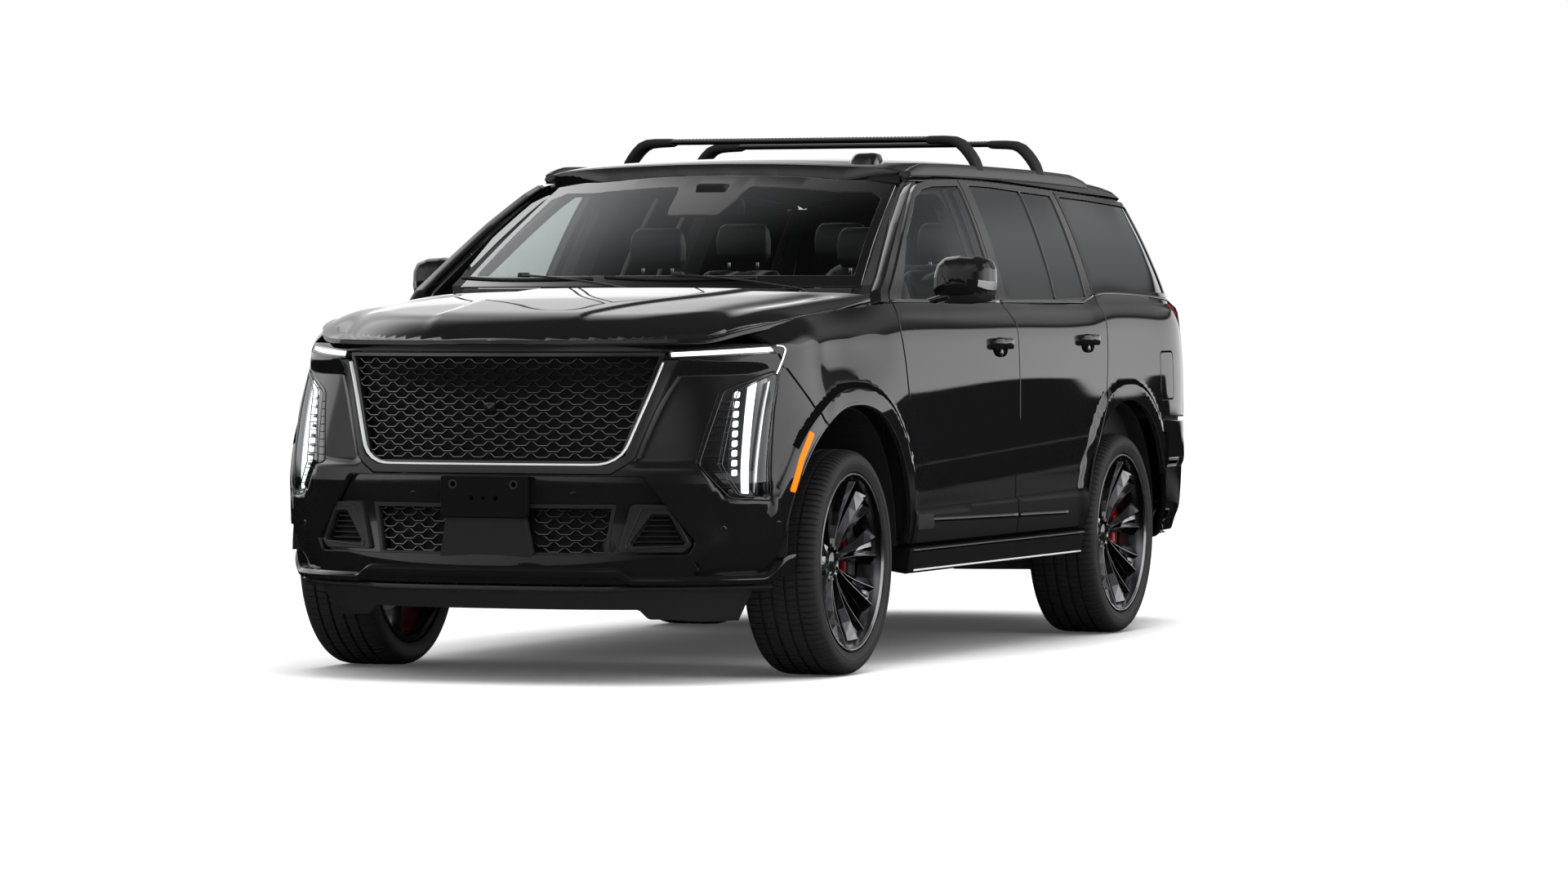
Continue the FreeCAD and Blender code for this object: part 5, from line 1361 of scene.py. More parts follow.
def cups(name, poly, z0, z1, off, body="body", rep=(), keepout=()):
    """A woven-looking mesh: staggered shallow cups that hook into each other, following the nose."""
    v, f, fm = [], [], []
    prof = [(-39, 8.5), (-33, 7.5), (-18, -5.0), (17, -5.0), (31, 7.5), (38, 8.5)]
    row = 0
    z = z0
    while z < z1:
        x = -640.0 + (40.0 if row % 2 else 0.0)
        while x <= 640:
            if inside((x, z), [poly]) and not any(inside((x, z), [k]) for k in keepout):
                base = len(v)
                pts = []
                for i, (px, pz) in enumerate(prof):
                    a = prof[max(i - 1, 0)]
                    b = prof[min(i + 1, len(prof) - 1)]
                    tx, tz = b[0] - a[0], b[1] - a[1]
                    l = math.hypot(tx, tz)
                    nx, nz = -tz / l, tx / l
                    for n, d in ((-2.4, 3.0), (-1.0, 0.0), (1.4, 0.0), (2.6, 3.4), (2.0, 17.0), (-2.0, 17.0)):
                        X, Z = x + px + nx * n, z + pz + nz * n
                        v.append((X, front_y(X, Z) + off + d, Z))
                m_ = 6
                for i in range(len(prof) - 1):
                    for k in range(m_):
                        l_ = (k + 1) % m_
                        f.append((base + i * m_ + k, base + (i + 1) * m_ + k, base + (i + 1) * m_ + l_, base + i * m_ + l_))
                        fm.append(1 if k in (1, 2) and i in (1, 2, 3) else 0)
                f.append(tuple(base + k for k in range(m_)))
                f.append(tuple(base + (len(prof) - 1) * m_ + k for k in reversed(range(m_))))
                fm += [0, 0]
            x += 80.0
        z += 20.5
        row += 1
    o = make(name, v, f, body, None, mats=[M["gloss"], M["smoke"]], fmat=fm, smooth=False, slot="gloss_black", rep=rep)
    fix(o)
    return o


cups("grille_mesh", inset(GR, 17), 779, 1158, 20, rep=("grille",))
panel("grille_backing", "body", M["dark"], S_nose_off(48), [U(inset(GR, -6), 30)], (0, -1, 0), step=40, wall=8, lip=2, round_=1, slot="matte_black", **NK)
# a small camera housing sits in the mesh
cam_p = [(-22, 985), (22, 985), (18, 955), (-18, 955)]
yc = front_y(0, 970)
solid("front_camera_housing", "body", M["gloss"], rounded(cam_p, 6), "y", yc + 8, yc + 34, bev=3, slot="gloss_black")
lathe("front_camera_lens", "body", M["screen"], [(0, 0.5), (0, 6), (-1.5, 8), (1, 10), (5, 11), (5, 0.5)], (0, yc + 6, 970), axis="y", n=32, slot="gloss_black")

# mouth
panel("mouth_panel", "body", M["gloss"], S_nose_off(24), [U(inset(MOUTH, -3)), U([(-438, 458), (438, 458), (466, 622), (-466, 622)])] + [U([(s * x, z) for x, z in ((604, 590), (650, 590), (700, 490), (530, 486))]) for s in (1, -1)], (0, -1, 0), step=15, wall=16, lip=2, round_=1.4, slot="gloss_black", bstep=12, **NK)
INT = [(-438, 458), (438, 458), (466, 622), (-466, 622)]
panel("intake_frame", "body", M["satin"], S_nose_off(20), [U(inset(INT, -9)), U(inset(INT, 5))], (0, -1, 0), step=12, wall=24, lip=1.4, round_=1.2, slot="matte_black", bstep=12, **NK)
support = [(-172, 560), (172, 560), (186, 446), (-128, 446)]
support = [(-160, 566), (160, 566), (176, 442), (-118 - 58, 442)]
cups("intake_mesh", inset(INT, 7), 470, 618, 34, keepout=[support])
panel("intake_backing", "body", M["dark"], S_nose_off(60), [U(inset(INT, -6), 30)], (0, -1, 0), step=40, wall=8, lip=2, round_=1, slot="matte_black", **NK)
for s, nm in ((1, "left"), (-1, "right")):
    V1 = rounded([(524, 632), (652, 630), (718, 490), (690, 466), (480, 466)], [22, 22, 14, 12, 10])
    V2 = rounded([(592, 600), (648, 598), (702, 492), (512, 486)], [12, 14, 8, 12])
    panel(f"vent_frame_{nm}", "body", M["satin"], S_nose_off(9), [U([(s * x, z) for x, z in V1], 10), U([(s * x, z) for x, z in V2], 10)], (0, -1, 0), step=12, wall=26, lip=2.6, round_=2.0, slot="matte_black", bstep=9, **NK)
    V3 = rounded([(560, 618), (650, 616), (712, 490), (500, 476)], 14)
    # a raised line round the vent
    pp = [(s * x, z) for x, z in V3]
    ppn = resample(pp, 12)
    pt = nose_path(ppn, 9)
    upv = [tuple((Vector(nose_pt(nose_u(x, z), z, -4)) - Vector(nose_pt(nose_u(x, z), z, 9))).normalized()) for x, z in ppn]
    sweep(f"vent_rim_{nm}", "body", M["gloss"], pt, [(-3, -3), (3, -3), (2, 2.5), (-2, 2.5)], closed=True, up=upv, slot="gloss_black")
    for k in range(5):
        z = 500 + k * 19
        xi, xo = 512 + (z - 486) * 0.70, 702 - (z - 492) * 0.51
        xs_ = lin_(xi - 6, xo + 6, 7)
        P = nose_path([(s * x, z) for x in xs_], 26)
        sweep(f"vent_slat_{nm}_{k}", "body", M["gloss"], P, [(-1.5, -10), (1.5, -10), (2.5, 8), (-0.5, 8)], up=(0, -0.9, 0.45), slot="gloss_black")
    panel(f"vent_back_{nm}", "body", M["dark"], S_nose_off(48), [U([(s * x, z) for x, z in inset(V2, -10)], 20)], (0, -1, 0), step=30, wall=6, lip=2, round_=1, slot="matte_black", **NK)

# plate bracket, blank, with its four holes, and the fairing under it
br = rounded([(-163, 586), (163, 586), (163, 728), (-163, 728)], 9)


def S_br(x, z):
    return (x, -2690.0, z)


hl4 = [[(cx + r * math.cos(a * math.pi / 8), cz + r * math.sin(a * math.pi / 8)) for a in range(16)] for cx, cz, r in ((-116, 700, 8.5), (116, 700, 8.5), (-46, 652, 8), (46, 652, 8), (0, 652, 5))]
panel("plate_carrier", "body", M["clad"], S_br, [br] + hl4, (0, -1, 0), step=14, wall=30, lip=2.2, round_=1.6, back=lambda p, n: Vector((p.x, -2656.0, p.z)), slot="matte_black", rep=("plate_bracket",), bstep=9)
for cx, cz in ((-116, 700), (116, 700)):
    lathe(f"plate_boss_{'l' if cx > 0 else 'r'}", "body", M["satin"], [(0, 9.5), (-1.2, 11), (-1.2, 15), (0.5, 17), (2, 17), (2, 9.5)], (cx, -2690, cz), axis="y", n=28, slot="matte_black")
fair = [(-150, 584), (150, 584), (176, 448), (-176, 448)]


def S_fair(x, z):
    t = (584 - z) / 136.0
    return (x, -2674 + 8 * t - 6 * (abs(x) / 170) ** 4 * 0, z)


panel("plate_fairing", "body", M["matte"], S_fair, [fair], (0, -1, 0), step=20, wall=30, lip=3, round_=2, slot="matte_black", bstep=14)


# parking sensors
def disc_on_nose(name, x, z, r, mat, off=0.0, h=3.0, hollow=None):
    u = nose_u(x, z)
    rr = recess(abs(x), z)
    p = Vector(nose_pt(u, z, rr + off))
    n = normal_at(S_nose, u, z, (0, -1, 0), 0.002, 2)
    a = n.cross(Vector((0, 0, 1))).normalized()
    b = n.cross(a)
    v, f = [], []
    prof = [(r, -4), (r, h * 0.5), (r * 0.86, h), (r * 0.62, h), (r * 0.55, h * 0.4), (0.01, h * 0.35)]
    N2 = 28
    for i in range(N2):
        t = 2 * math.pi * i / N2
        d = a * math.cos(t) + b * math.sin(t)
        for q, hh in prof:
            v.append(p + d * q + n * hh)
    m_ = len(prof)
    for i in range(N2):
        j = (i + 1) % N2
        for k in range(m_ - 1):
            f.append((i * m_ + k, j * m_ + k, j * m_ + k + 1, i * m_ + k + 1))
    o = make(name, v, f, "body", mat, slot="black_paint")
    fix(o)
    return sharp(o, 30)


for i, (x, z, off) in enumerate(((-307, 662, 24), (325, 664, 24), (805, 546, 0), (-820, 546, 0), (945, 560, 0), (-945, 560, 0))):
    disc_on_nose(f"parking_sensor_{i}", x, z, 12.5, M["paint"], off, 2.0)
lathe("tow_eye_cover", "body", M["matte"], [(0, 0.5), (0, 20), (2, 24), (10, 25), (10, 0.5)], (437, front_y(437, 486) + 26, 486), axis="y", n=36, slot="matte_black")


# ---------------------------------------------------------------- splitter and air dam
def lip_z(ax):
    """Top and bottom of the lip by distance from the middle."""
    t = smooth((ax - 458) / 74.0)
    top = 418 - 32 * t + 68 * smooth((ax - 895) / 60.0)
    bot = 378 - 26 * t + 24 * smooth((ax - 880) / 80.0)
    return top, bot


pv, pf = [], []
us = [i / 100.0 for i in range(-100, 101)]
u_end = nose_uy(-2168, 400)
k_ = 9
for t in us:
    u = u_end * (abs(t) ** 0.9) * (1 if t >= 0 else -1)
    ax = abs(nose_pt(u, 400)[0])
    zt, zb = lip_z(ax)
    e = 1 - 0.75 * smooth((ax - 905) / 62.0)
    o_ = 15 * e
    r0 = recess(ax, zt)
    for off, z in ((r0 + 3, zt), (-1, zt - 3), (-o_ * 0.85, zt - 14), (-o_, zt - 18), (-o_, zb + 7), (-o_ + 3, zb + 1), (6, zb - 2), (30, zb - 4), (30, zt - 6)):
        pv.append(nose_pt(u, z, off))
for i in range(len(us) - 1):
    for k in range(k_):
        l = (k + 1) % k_
        pf.append((i * k_ + k, (i + 1) * k_ + k, (i + 1) * k_ + l, i * k_ + l))
pf.append(tuple(range(k_)))
pf.append(tuple((len(us) - 1) * k_ + k for k in reversed(range(k_))))
o = fix(make("splitter_lip", pv, pf, "body", M["paint"], slot="gloss_black", rep=("splitter",)))
sharp(o, 24)
# lower bar with a slot above it, and the dark dam behind
pv, pf = [], []
for t in us:
    u = 0.93 * u_end * t
    ax = abs(nose_pt(u, 350)[0])
    c = 1 - smooth((ax - 420) / 110.0)
    zb = 346 + 4 * (1 - c)
    for off, z in ((4 - 8 * c, zb), (-6, zb - 6), (-7, zb - 14), (0, zb - 20), (60, zb - 22), (60, zb - 2)):
        pv.append(nose_pt(u, z, off))
k_ = 6
for i in range(len(us) - 1):
    for k in range(k_):
        l = (k + 1) % k_
        pf.append((i * k_ + k, (i + 1) * k_ + k, (i + 1) * k_ + l, i * k_ + l))
pf.append(tuple(range(k_)))
pf.append(tuple((len(us) - 1) * k_ + k for k in reversed(range(k_))))
sharp(fix(make("lower_bar", pv, pf, "body", M["satin"], slot="matte_black")), 24)
for i in range(-3, 4):
    x = i * 118
    yv = front_y(x, 360)
    solid(f"slot_web_{i + 3}", "body", M["matte"], [(yv + 10, 340), (yv + 50, 340), (yv + 50, 392), (yv + 10, 388)], "x", x - 3, x + 3, bev=1.0, slot="matte_black")
pv, pf = [], []
k_ = 5
for t in us:
    u = 0.90 * u_end * t
    ax = abs(nose_pt(u, 330)[0])
    zlow = 262 - 34 * smooth((ax - 560) / 60.0) - 10 * smooth((ax - 620) / 200)
    for off, z in ((40, 384), (44, 332), (62, zlow), (68, zlow), (78, 384)):
        q = nose_pt(u, max(z, 262), off)
        pv.append((q[0], q[1], z))
for i in range(len(us) - 1):
    for k in range(k_):
        l = (k + 1) % k_
        pf.append((i * k_ + k, (i + 1) * k_ + k, (i + 1) * k_ + l, i * k_ + l))
pf.append(tuple(range(k_)))
pf.append(tuple((len(us) - 1) * k_ + k for k in reversed(range(k_))))
sharp(fix(make("air_dam", pv, pf, "body", M["matte"], slot="matte_black")), 24)

# ---------------------------------------------------------------- lamps
for s, nm in ((1, "left"), (-1, "right")):
    mx = lambda pts: [(s * x, z) for x, z in pts]
    panel(f"lamp_bezel_{nm}", "body", M["gloss"], S_nose_off(5), [U(mx(inset(LAMP, 1.5)), 10), U(mx(inset(LENS, 0)), 10)], (0, -1, 0), step=12, wall=26, lip=2.0, round_=1.6, slot="gloss_black", bstep=9, rep=("headlamps",), **NK)
    # thin satin line round the housing
    for nme, lp_, off, w_, mt in (("housing_line", inset(LAMP, 3.5), 3.0, 1.3, "smoke"), ("lens_line", inset(LENS, -1.5), 3.0, 1.2, "smoke")):
        pts = resample(mx(lp_), 14)
        pt = nose_path(pts, off)
        upv = [tuple((Vector(nose_pt(nose_u(x, z), z, -6)) - Vector(nose_pt(nose_u(x, z), z, off))).normalized()) for x, z in pts]
        sweep(f"lamp_{nme}_{nm}", "body", M[mt], pt, [(-w_, -2), (w_, -2), (w_ * .7, 1.4), (-w_ * .7, 1.4)], closed=True, up=upv, slot="steel")
    # louvres inboard of the lens
    for k in range(12):
        z = 692 + k * 27.0
        xin = 733 + max(0, 768 - z) * 0.78 + max(0, z - 768) * 0.19 + 9
        xout = 803 + max(0, 770 - z) * 0.50 + max(0, z - 770) * 0.084 - 5
        if z > 1000:
            xin += (z - 1000) * 1.2
        if xout - xin > 14:
            P = nose_path([(s * x, z) for x in lin_(xin, xout, 5)], 2.5)
            sweep(f"lamp_louvre_{nm}_{k}", "body", M["smoke"] if k % 2 else M["satin"], P, [(-1.6, -3), (1.6, -3), (0.8, 1.6), (-0.8, 1.6)], up=(0, -1, 0.1), slot="gloss_black")
    # housing bowl and its inner fittings
    panel(f"lamp_bowl_{nm}", "body", M["dark"], S_nose_off(42), [U(mx(inset(LENS, -12)), 18)], (0, -1, 0), step=26, wall=6, lip=2, round_=1, slot="matte_black", **NK)
    strips = [("reflector", [(884, 668), (915, 664), (919, 1040), (905, 1078), (884, 1052)], 34, "smoke", 0), ("outer_rib", [(897, 664), (902, 664), (908, 1060), (903, 1056)], 16, "chrome", 0), ("inner_box", [(812, 772), (832, 690), (843, 700), (838, 1010), (828, 1004)], 30, "gloss", 0)]
    for nme, pl, off, mt, _ in strips:
        panel(f"lamp_{nme}_{nm}", "body", M[mt], S_nose_off(off), [U(mx(pl), 14)], (0, -1, 0), step=16, wall=8, lip=1.2, round_=1, slot="gloss_black", **NK)
    drl = [(867, 668), (882, 667), (877, 1062), (868, 1054), (860, 1040)]
    panel(f"lamp_running_light_{nm}", "body", M["white_light"], S_nose_off(9), [U(mx(rounded(drl, 4)), 10)], (0, -1, 0), step=12, wall=14, lip=2.0, round_=2.2, slot="lamp_lens", **NK)
    for k in range(9):
        zc = 741 + k * 34
        xc = 851 - k * 1.6
        c_ = rounded([(xc - 6.5, zc - 11), (xc + 6.5, zc - 11), (xc + 6, zc + 11), (xc - 7, zc + 11)], 5)
        panel(f"lamp_cell_{nm}_{k}", "body", M["led"], S_nose_off(14), [U(mx(c_), 5)], (0, -1, 0), step=7, wall=10, lip=1.8, round_=2.0, slot="lamp_lens", **NK)
        xi = 812 + (abs(zc - 790) * 0.09)
        P = nose_path([(s * x, zc + 16) for x in lin_(xi, xc - 12, 3)], 20)
        sweep(f"lamp_shelf_{nm}_{k}", "body", M["smoke"], P, [(-1.4, -6), (1.4, -6), (1.0, 5), (-1.0, 5)], up=(0, -1, 0.1), slot="gloss_black")
    panel(f"lamp_pane_{nm}", "body", M["lens"], S_nose_off(2.2), [U(mx(inset(LENS, 0.4)), 10)], (0, -1, 0), step=22, wall=3, lip=1.0, round_=0.8, slot="lamp_lens", **NK)
    # light bar over the lamp: a white guide behind a clear cover
    bar_in = [(632, 1145), (629, 1160), (800, 1171), (918, 1181), (931, 1174), (928, 1112), (923, 1114), (919, 1166), (800, 1157)]
    panel(f"light_bar_{nm}", "body", M["white_light"], S_nose_off(9), [U(mx(bar_in), 8)], (0, -1, 0), step=10, wall=8, lip=1.4, round_=1.6, slot="lamp_lens", bstep=8, **NK)
    hook = nose_path([(s * x, z) for x, z in ((900, 1183), (910, 1182), (917, 1178), (921, 1170), (921, 1160), (919, 1140), (916, 1120), (913, 1102), (910, 1086))], -1.2)
    sweep(f"light_bar_hook_{nm}", "body", M["led"], hook, [(-1.5, -4.0), (1.2, -3.6), (1.8, 0), (1.2, 3.6), (-1.5, 4.0)], up=(0, -1, 0.1), slot="lamp_lens")
    panel(f"light_bar_tray_{nm}", "body", M["smoke"], S_nose_off(16), [U(mx(inset(BAR, -2)), 12)], (0, -1, 0), step=14, wall=8, lip=1.4, round_=1.0, slot="gloss_black", **NK)
    panel(f"light_bar_cover_{nm}", "body", M["lens"], S_nose_off(1.5), [U(mx(inset(BAR, 0.6)), 10)], (0, -1, 0), step=18, wall=3, lip=0.8, round_=0.8, slot="lamp_lens", **NK)
    # amber side marker on the arch lip
    am = [(-2098, 876), (-2106, 880), (-2132, 862), (-2234, 676), (-2230, 668), (-2206, 668), (-2106, 856)]
    am = rounded([(-2091, 872), (-2120, 884), (-2186, 790), (-2236, 674), (-2208, 668), (-2160, 780)], 8)
    panel(f"side_marker_{nm}", "body", M["amber"], S_nose_off(-2.0), [UY(resample(am, 8), s)], (s, -0.2, 0), step=9, wall=8, lip=2.0, round_=1.8, slot="lamp_lens", **NK)


# ---------------------------------------------------------------- wheels
def tyre_mesh(name, body, yc, side, rep):
    PITCH = 104
    th = []
    for i in range(PITCH):
        for o_ in (0.0, 0.40, 0.66, 0.72, 0.93):
            th.append((i + o_, o_))
    # stations across: (x, radius, kind) kind g groove floor, r rib, s shoulder block, w wall
    st = [(-133, 324, "w"), (-137, 332, "w"), (-140.5, 345, "w"), (-142.3, 360, "w"), (-141, 372, "w"), (-138, 381, "w"), (-134, 387.5, "e"), (-127, 394, "s"), (-117, 399.6, "s"), (-100, 403.2, "s"), (-77, 404.2, "s"), (-76.5, 404.2, "r0")]
    gr = [-72, -25, 25, 72]
    rows = list(st[:-1])
    for k, g in enumerate(gr):
        rows += [(g - 5.5, 404.3, "r"), (g - 4.5, 395.5, "g"), (g + 4.5, 395.5, "g"), (g + 5.5, 404.3, "r")]
        if k < 3:
            rows += [((gr[k] + gr[k + 1]) / 2 - 8, 405, "c"), ((gr[k] + gr[k + 1]) / 2 + 8, 405, "c")]
    rows += [(-x, r, k) for x, r, k in reversed(st[:-1])]
    v, f = [], []
    m_ = len(rows)
    for a, ph in th:
        for x, r, kind in rows:
            slot_ = ph > 0.69
            skew = 0.0
            if kind in ("r", "c", "g"):
                skew = x * 0.010 if abs(x) < 30 else -x * 0.006 + math.copysign(0.45, x)
            dr = 0.0
            if slot_:
                dr = {"s": 4.6, "e": 2.4, "c": 3.0, "r": 3.0}.get(kind, 0.0)
                if kind == "s" and abs(x) > 120:
                    dr = 3.6
            t = 2 * math.pi * (a + skew) / PITCH
            rr = r - dr
            v.append((side * 0 + TRACK_X + x, yc + rr * math.cos(t), AXLE_Z + rr * math.sin(t)))
    n = len(th)
    for i in range(n):
        j = (i + 1) % n
        for k in range(m_ - 1):
            f.append((i * m_ + k, j * m_ + k, j * m_ + k + 1, i * m_ + k + 1))
    # inner side of the casing, down to the rim
    base = len(v)
    inner = [(133, 324), (112, 322), (98, 309), (-106, 309), (-116, 324), (-133, 324)]
    N2 = 96
    for i in range(N2):
        t = 2 * math.pi * i / N2
        for x, r in inner:
            v.append((TRACK_X + x, yc + r * math.cos(t), AXLE_Z + r * math.sin(t)))
    for i in range(N2):
        j = (i + 1) % N2
        for k in range(len(inner) - 1):
            f.append((base + i * 6 + k, base + j * 6 + k, base + j * 6 + k + 1, base + i * 6 + k + 1))
    o = make(name, v, f, body, M["tyre"], side=side, slot="tyre", rep=rep)
    import bmesh
    bm = bmesh.new()
    bm.from_mesh(o.data)
    bmesh.ops.recalc_face_normals(bm, faces=bm.faces)
    for e in bm.edges:
        e.smooth = not (len(e.link_faces) == 2 and e.calc_face_angle(0) > math.radians(28))
    bm.to_mesh(o.data)
    bm.free()
    # moulded rings on the outer wall
    for q, (xx, r0) in enumerate(((138.9, 378.0), (142.1, 353.0), (136.2, 331.0))):
        lathe(f"{name}_ring_{q}", body, M["tyre"], [(xx - 2, r0 - 1.6), (xx + 0.5, r0 - 1.0), (xx + 0.5, r0 + 1.0), (xx - 2, r0 + 1.6)], (TRACK_X, yc, AXLE_Z), side=side, n=120, slot="tyre")
    return o


def rim_mesh(name, body, yc, side, rep):
    b = [(-132, 300), (-130, 316), (-126, 321.5), (-119, 321), (-112, 309), (-60, 305), (60, 305), (98, 306), (110, 316), (124, 321.5), (131, 321.5), (133.6, 318), (133, 311), (127, 303), (110, 297), (60, 291), (-108, 289), (-126, 294)]
    lathe(f"{name}_barrel", body, M["wheel"], b, (TRACK_X, yc, AXLE_Z), side=side, n=128, slot="wheel_black", rep=rep)
    lathe(f"{name}_lip_line", body, M["smoke"], [(132.4, 318.9), (134.2, 317.4), (134.4, 315.6), (132.6, 314.2)], (TRACK_X, yc, AXLE_Z), side=side, n=128, slot="wheel_black")
    # blades in pairs that splay from the hub
    v, f, fm = [], [], []
    rad = [54, 84, 130, 180, 230, 272, 301]
    xr = [57, 58, 64, 75, 90, 104, 113]
    for g in range(10):
        for h in (-1, 1):
            base = len(v)
            secs = []
            for r, x in zip(rad, xr):
                q = (r - 54) / 247.0
                ph = math.radians(36 * g + 9 + h * (1.6 + 4.9 * q ** 0.9))
                w = 11 + 15 * q + 15 * max(0, q - 0.62) ** 1.1 * 2
                wi = w * (0.34 if q < 0.6 else 0.34 + 0.5 * (q - 0.6))
                # (tangential outwards from the pair's middle, axial)
                sec = [(-wi, x - 15 - 8 * q), (-1.9, x - 1.0), (-0.9, x), (0.9, x), (1.9, x - 1.0), (w, x - 12 - 14 * q), (w + 1.0, x - 15 - 14 * q), (w - 2, x - 36 - 4 * q), (-wi + 1, x - 36)]
                for t, ax in sec:
                    t *= h
                    v.append((TRACK_X + ax, yc + r * math.cos(ph) - t * math.sin(ph), AXLE_Z + r * math.sin(ph) + t * math.cos(ph)))
            m_ = 9
            for i in range(len(rad) - 1):
                for k in range(m_):
                    l = (k + 1) % m_
                    f.append((base + i * m_ + k, base + (i + 1) * m_ + k, base + (i + 1) * m_ + l, base + i * m_ + l))
                    fm.append(1 if k in (2, 5) else 0)
            f.append(tuple(base + k for k in range(m_)))
            f.append(tuple(base + (len(rad) - 1) * m_ + k for k in reversed(range(m_))))
            fm += [0, 0]
        # faceted web between the ends of a pair, set back from their ridges
        base = len(v)
        a0 = math.radians(36 * g + 9)
        for r, hw, x in ((205, 6, 60), (262, 22, 74), (304, 36, 92)):
            for t in (-hw, 0, hw):
                xx = x + (6 if t == 0 else 0)
                v.append((TRACK_X + xx, yc + r * math.cos(a0) - t * math.sin(a0), AXLE_Z + r * math.sin(a0) + t * math.cos(a0)))
                v.append((TRACK_X + xx - 10, yc + r * math.cos(a0) - t * math.sin(a0), AXLE_Z + r * math.sin(a0) + t * math.cos(a0)))
        idx = lambda i, j, k: base + (i * 3 + j) * 2 + k
        for i in range(2):
            for j in range(2):
                f.append((idx(i, j, 0), idx(i + 1, j, 0), idx(i + 1, j + 1, 0), idx(i, j + 1, 0)))
                f.append((idx(i, j, 1), idx(i, j + 1, 1), idx(i + 1, j + 1, 1), idx(i + 1, j, 1)))
                fm += [0, 0]
            f.append((idx(i, 0, 0), idx(i, 0, 1), idx(i + 1, 0, 1), idx(i + 1, 0, 0)))
            f.append((idx(i, 2, 0), idx(i + 1, 2, 0), idx(i + 1, 2, 1), idx(i, 2, 1)))
            fm += [0, 0]
        f.append((idx(0, 0, 0), idx(0, 1, 0), idx(0, 1, 1), idx(0, 0, 1)))
        f.append((idx(0, 1, 0), idx(0, 2, 0), idx(0, 2, 1), idx(0, 1, 1)))
        f.append((idx(2, 0, 0), idx(2, 0, 1), idx(2, 1, 1), idx(2, 1, 0)))
        f.append((idx(2, 1, 0), idx(2, 1, 1), idx(2, 2, 1), idx(2, 2, 0)))
        fm += [0, 0, 0, 0]
    o = make(f"{name}_blades", v, f, body, None, side=side, mats=[M["wheel"], M["smoke"]], fmat=fm, smooth=False, slot="wheel_black")
    fix(o)
    # hub: recessed, with a plain cap and six nuts
    lathe(f"{name}_hub", body, M["wheel"], [(10, 8), (10, 93), (30, 92), (44, 84), (52, 66), (50, 52), (40, 47), (38, 40), (38, 8)], (TRACK_X, yc, AXLE_Z), side=side, n=72, slot="wheel_black")
    lathe(f"{name}_cap", body, M["gloss"], [(36, 0.4), (36, 38), (46, 37), (52, 33), (54.5, 22), (55.5, 0.4)], (TRACK_X, yc, AXLE_Z), side=side, n=64, slot="gloss_black")
    lathe(f"{name}_cap_ring", body, M["smoke"], [(50.0, 34.6), (52.8, 33.8), (53.2, 31.0), (51.0, 31.5)], (TRACK_X, yc, AXLE_Z), side=side, n=64, slot="steel")
    nv, nf = [], []
    for i in range(6):
        a = math.radians(60 * i + 9 + 18)
        cy, cz = yc + 63 * math.cos(a), AXLE_Z + 63 * math.sin(a)
        b0 = len(nv)
        for x, r in ((30, 9), (50, 9), (54, 7), (54.2, 2)):
            for k in range(6):
                t = math.pi / 3 * k
                nv.append((TRACK_X + x, cy + r * math.cos(t), cz + r * math.sin(t)))
        for q in range(3):
            for k in range(6):
                l = (k + 1) % 6
                nf.append((b0 + q * 6 + k, b0 + q * 6 + l, b0 + q * 6 + 6 + l, b0 + q * 6 + 6 + k))
        nf.append(tuple(b0 + 18 + k for k in range(6)))
        nf.append(tuple(b0 + k for k in reversed(range(6))))
    fix(make(f"{name}_nuts", nv, nf, body, M["smoke"], side=side, smooth=False, slot="steel"))
    # brake disc with a vented edge
    d = [(-34, 60), (-34, 204), (-24, 205), (-23, 196), (-15, 196), (-14, 205), (-4, 204), (-4, 112), (12, 92), (12, 60)]
    lathe(f"{name}_disc", body, M["disc"], d, (TRACK_X, yc, AXLE_Z), side=side, n=96, slot="cast_iron")
    lathe(f"{name}_valve", body, M["rubber"], [(92, 0.5), (92, 4.5), (116, 3.6), (122, 3.6), (124, 0.5)], (TRACK_X, yc + 286 * math.cos(0.9), AXLE_Z + 286 * math.sin(0.9)), side=side, n=14, slot="tyre")


for which, yc in (("front", Y_F), ("rear", Y_R)):
    for side, nm in ((1, "left"), (-1, "right")):
        bd = f"wheel_{which}_{nm}"
        tyre_mesh(f"tyre_{which}_{nm}_tread", bd, yc, side, (f"tyre_{which}_{nm}",))
        rim_mesh(f"rim_{which}_{nm}_v", bd, yc, side, (f"rim_{which}_{nm}",))
        # red caliper over the disc: on the knuckle at the front, on the carrier at the rear
        cb = f"knuckle_{nm}" if which == "front" else "body"
        v, f = [], []
        angs = [math.radians(a) for a in range(-38, 39, 4)]
        secs = [(826, 204), (826, 262), (834, 279), (868, 281), (892, 270), (899, 246), (899, 216), (890, 208), (872, 208), (872, 226), (838, 226), (838, 206)]
        if which == "rear":
            secs = [(x, r - 0) for x, r in secs]
        for a in angs:
            for x, r in secs:
                v.append((x, yc + r * math.cos(a), AXLE_Z + r * math.sin(a)))
        m_ = len(secs)
        for i in range(len(angs) - 1):
            for k in range(m_):
                l = (k + 1) % m_
                f.append((i * m_ + k, (i + 1) * m_ + k, (i + 1) * m_ + l, i * m_ + l))
        f.append(tuple(range(m_)))
        f.append(tuple((len(angs) - 1) * m_ + k for k in reversed(range(m_))))
        o = fix(make(f"caliper_{which}_{nm}", v, f, cb, M["caliper"], side=side, slot="cast_iron"))
        bevel(o, 3, 2, 40)


# ---------------------------------------------------------------- windscreen
def S_ws(x, z):
    return (x, screen_y(x, z), z)


def ws_top(x):
    z = 1800.0
    while screen_y(x, z) < -462:
        z += 2
    return min(z, 1838.0)


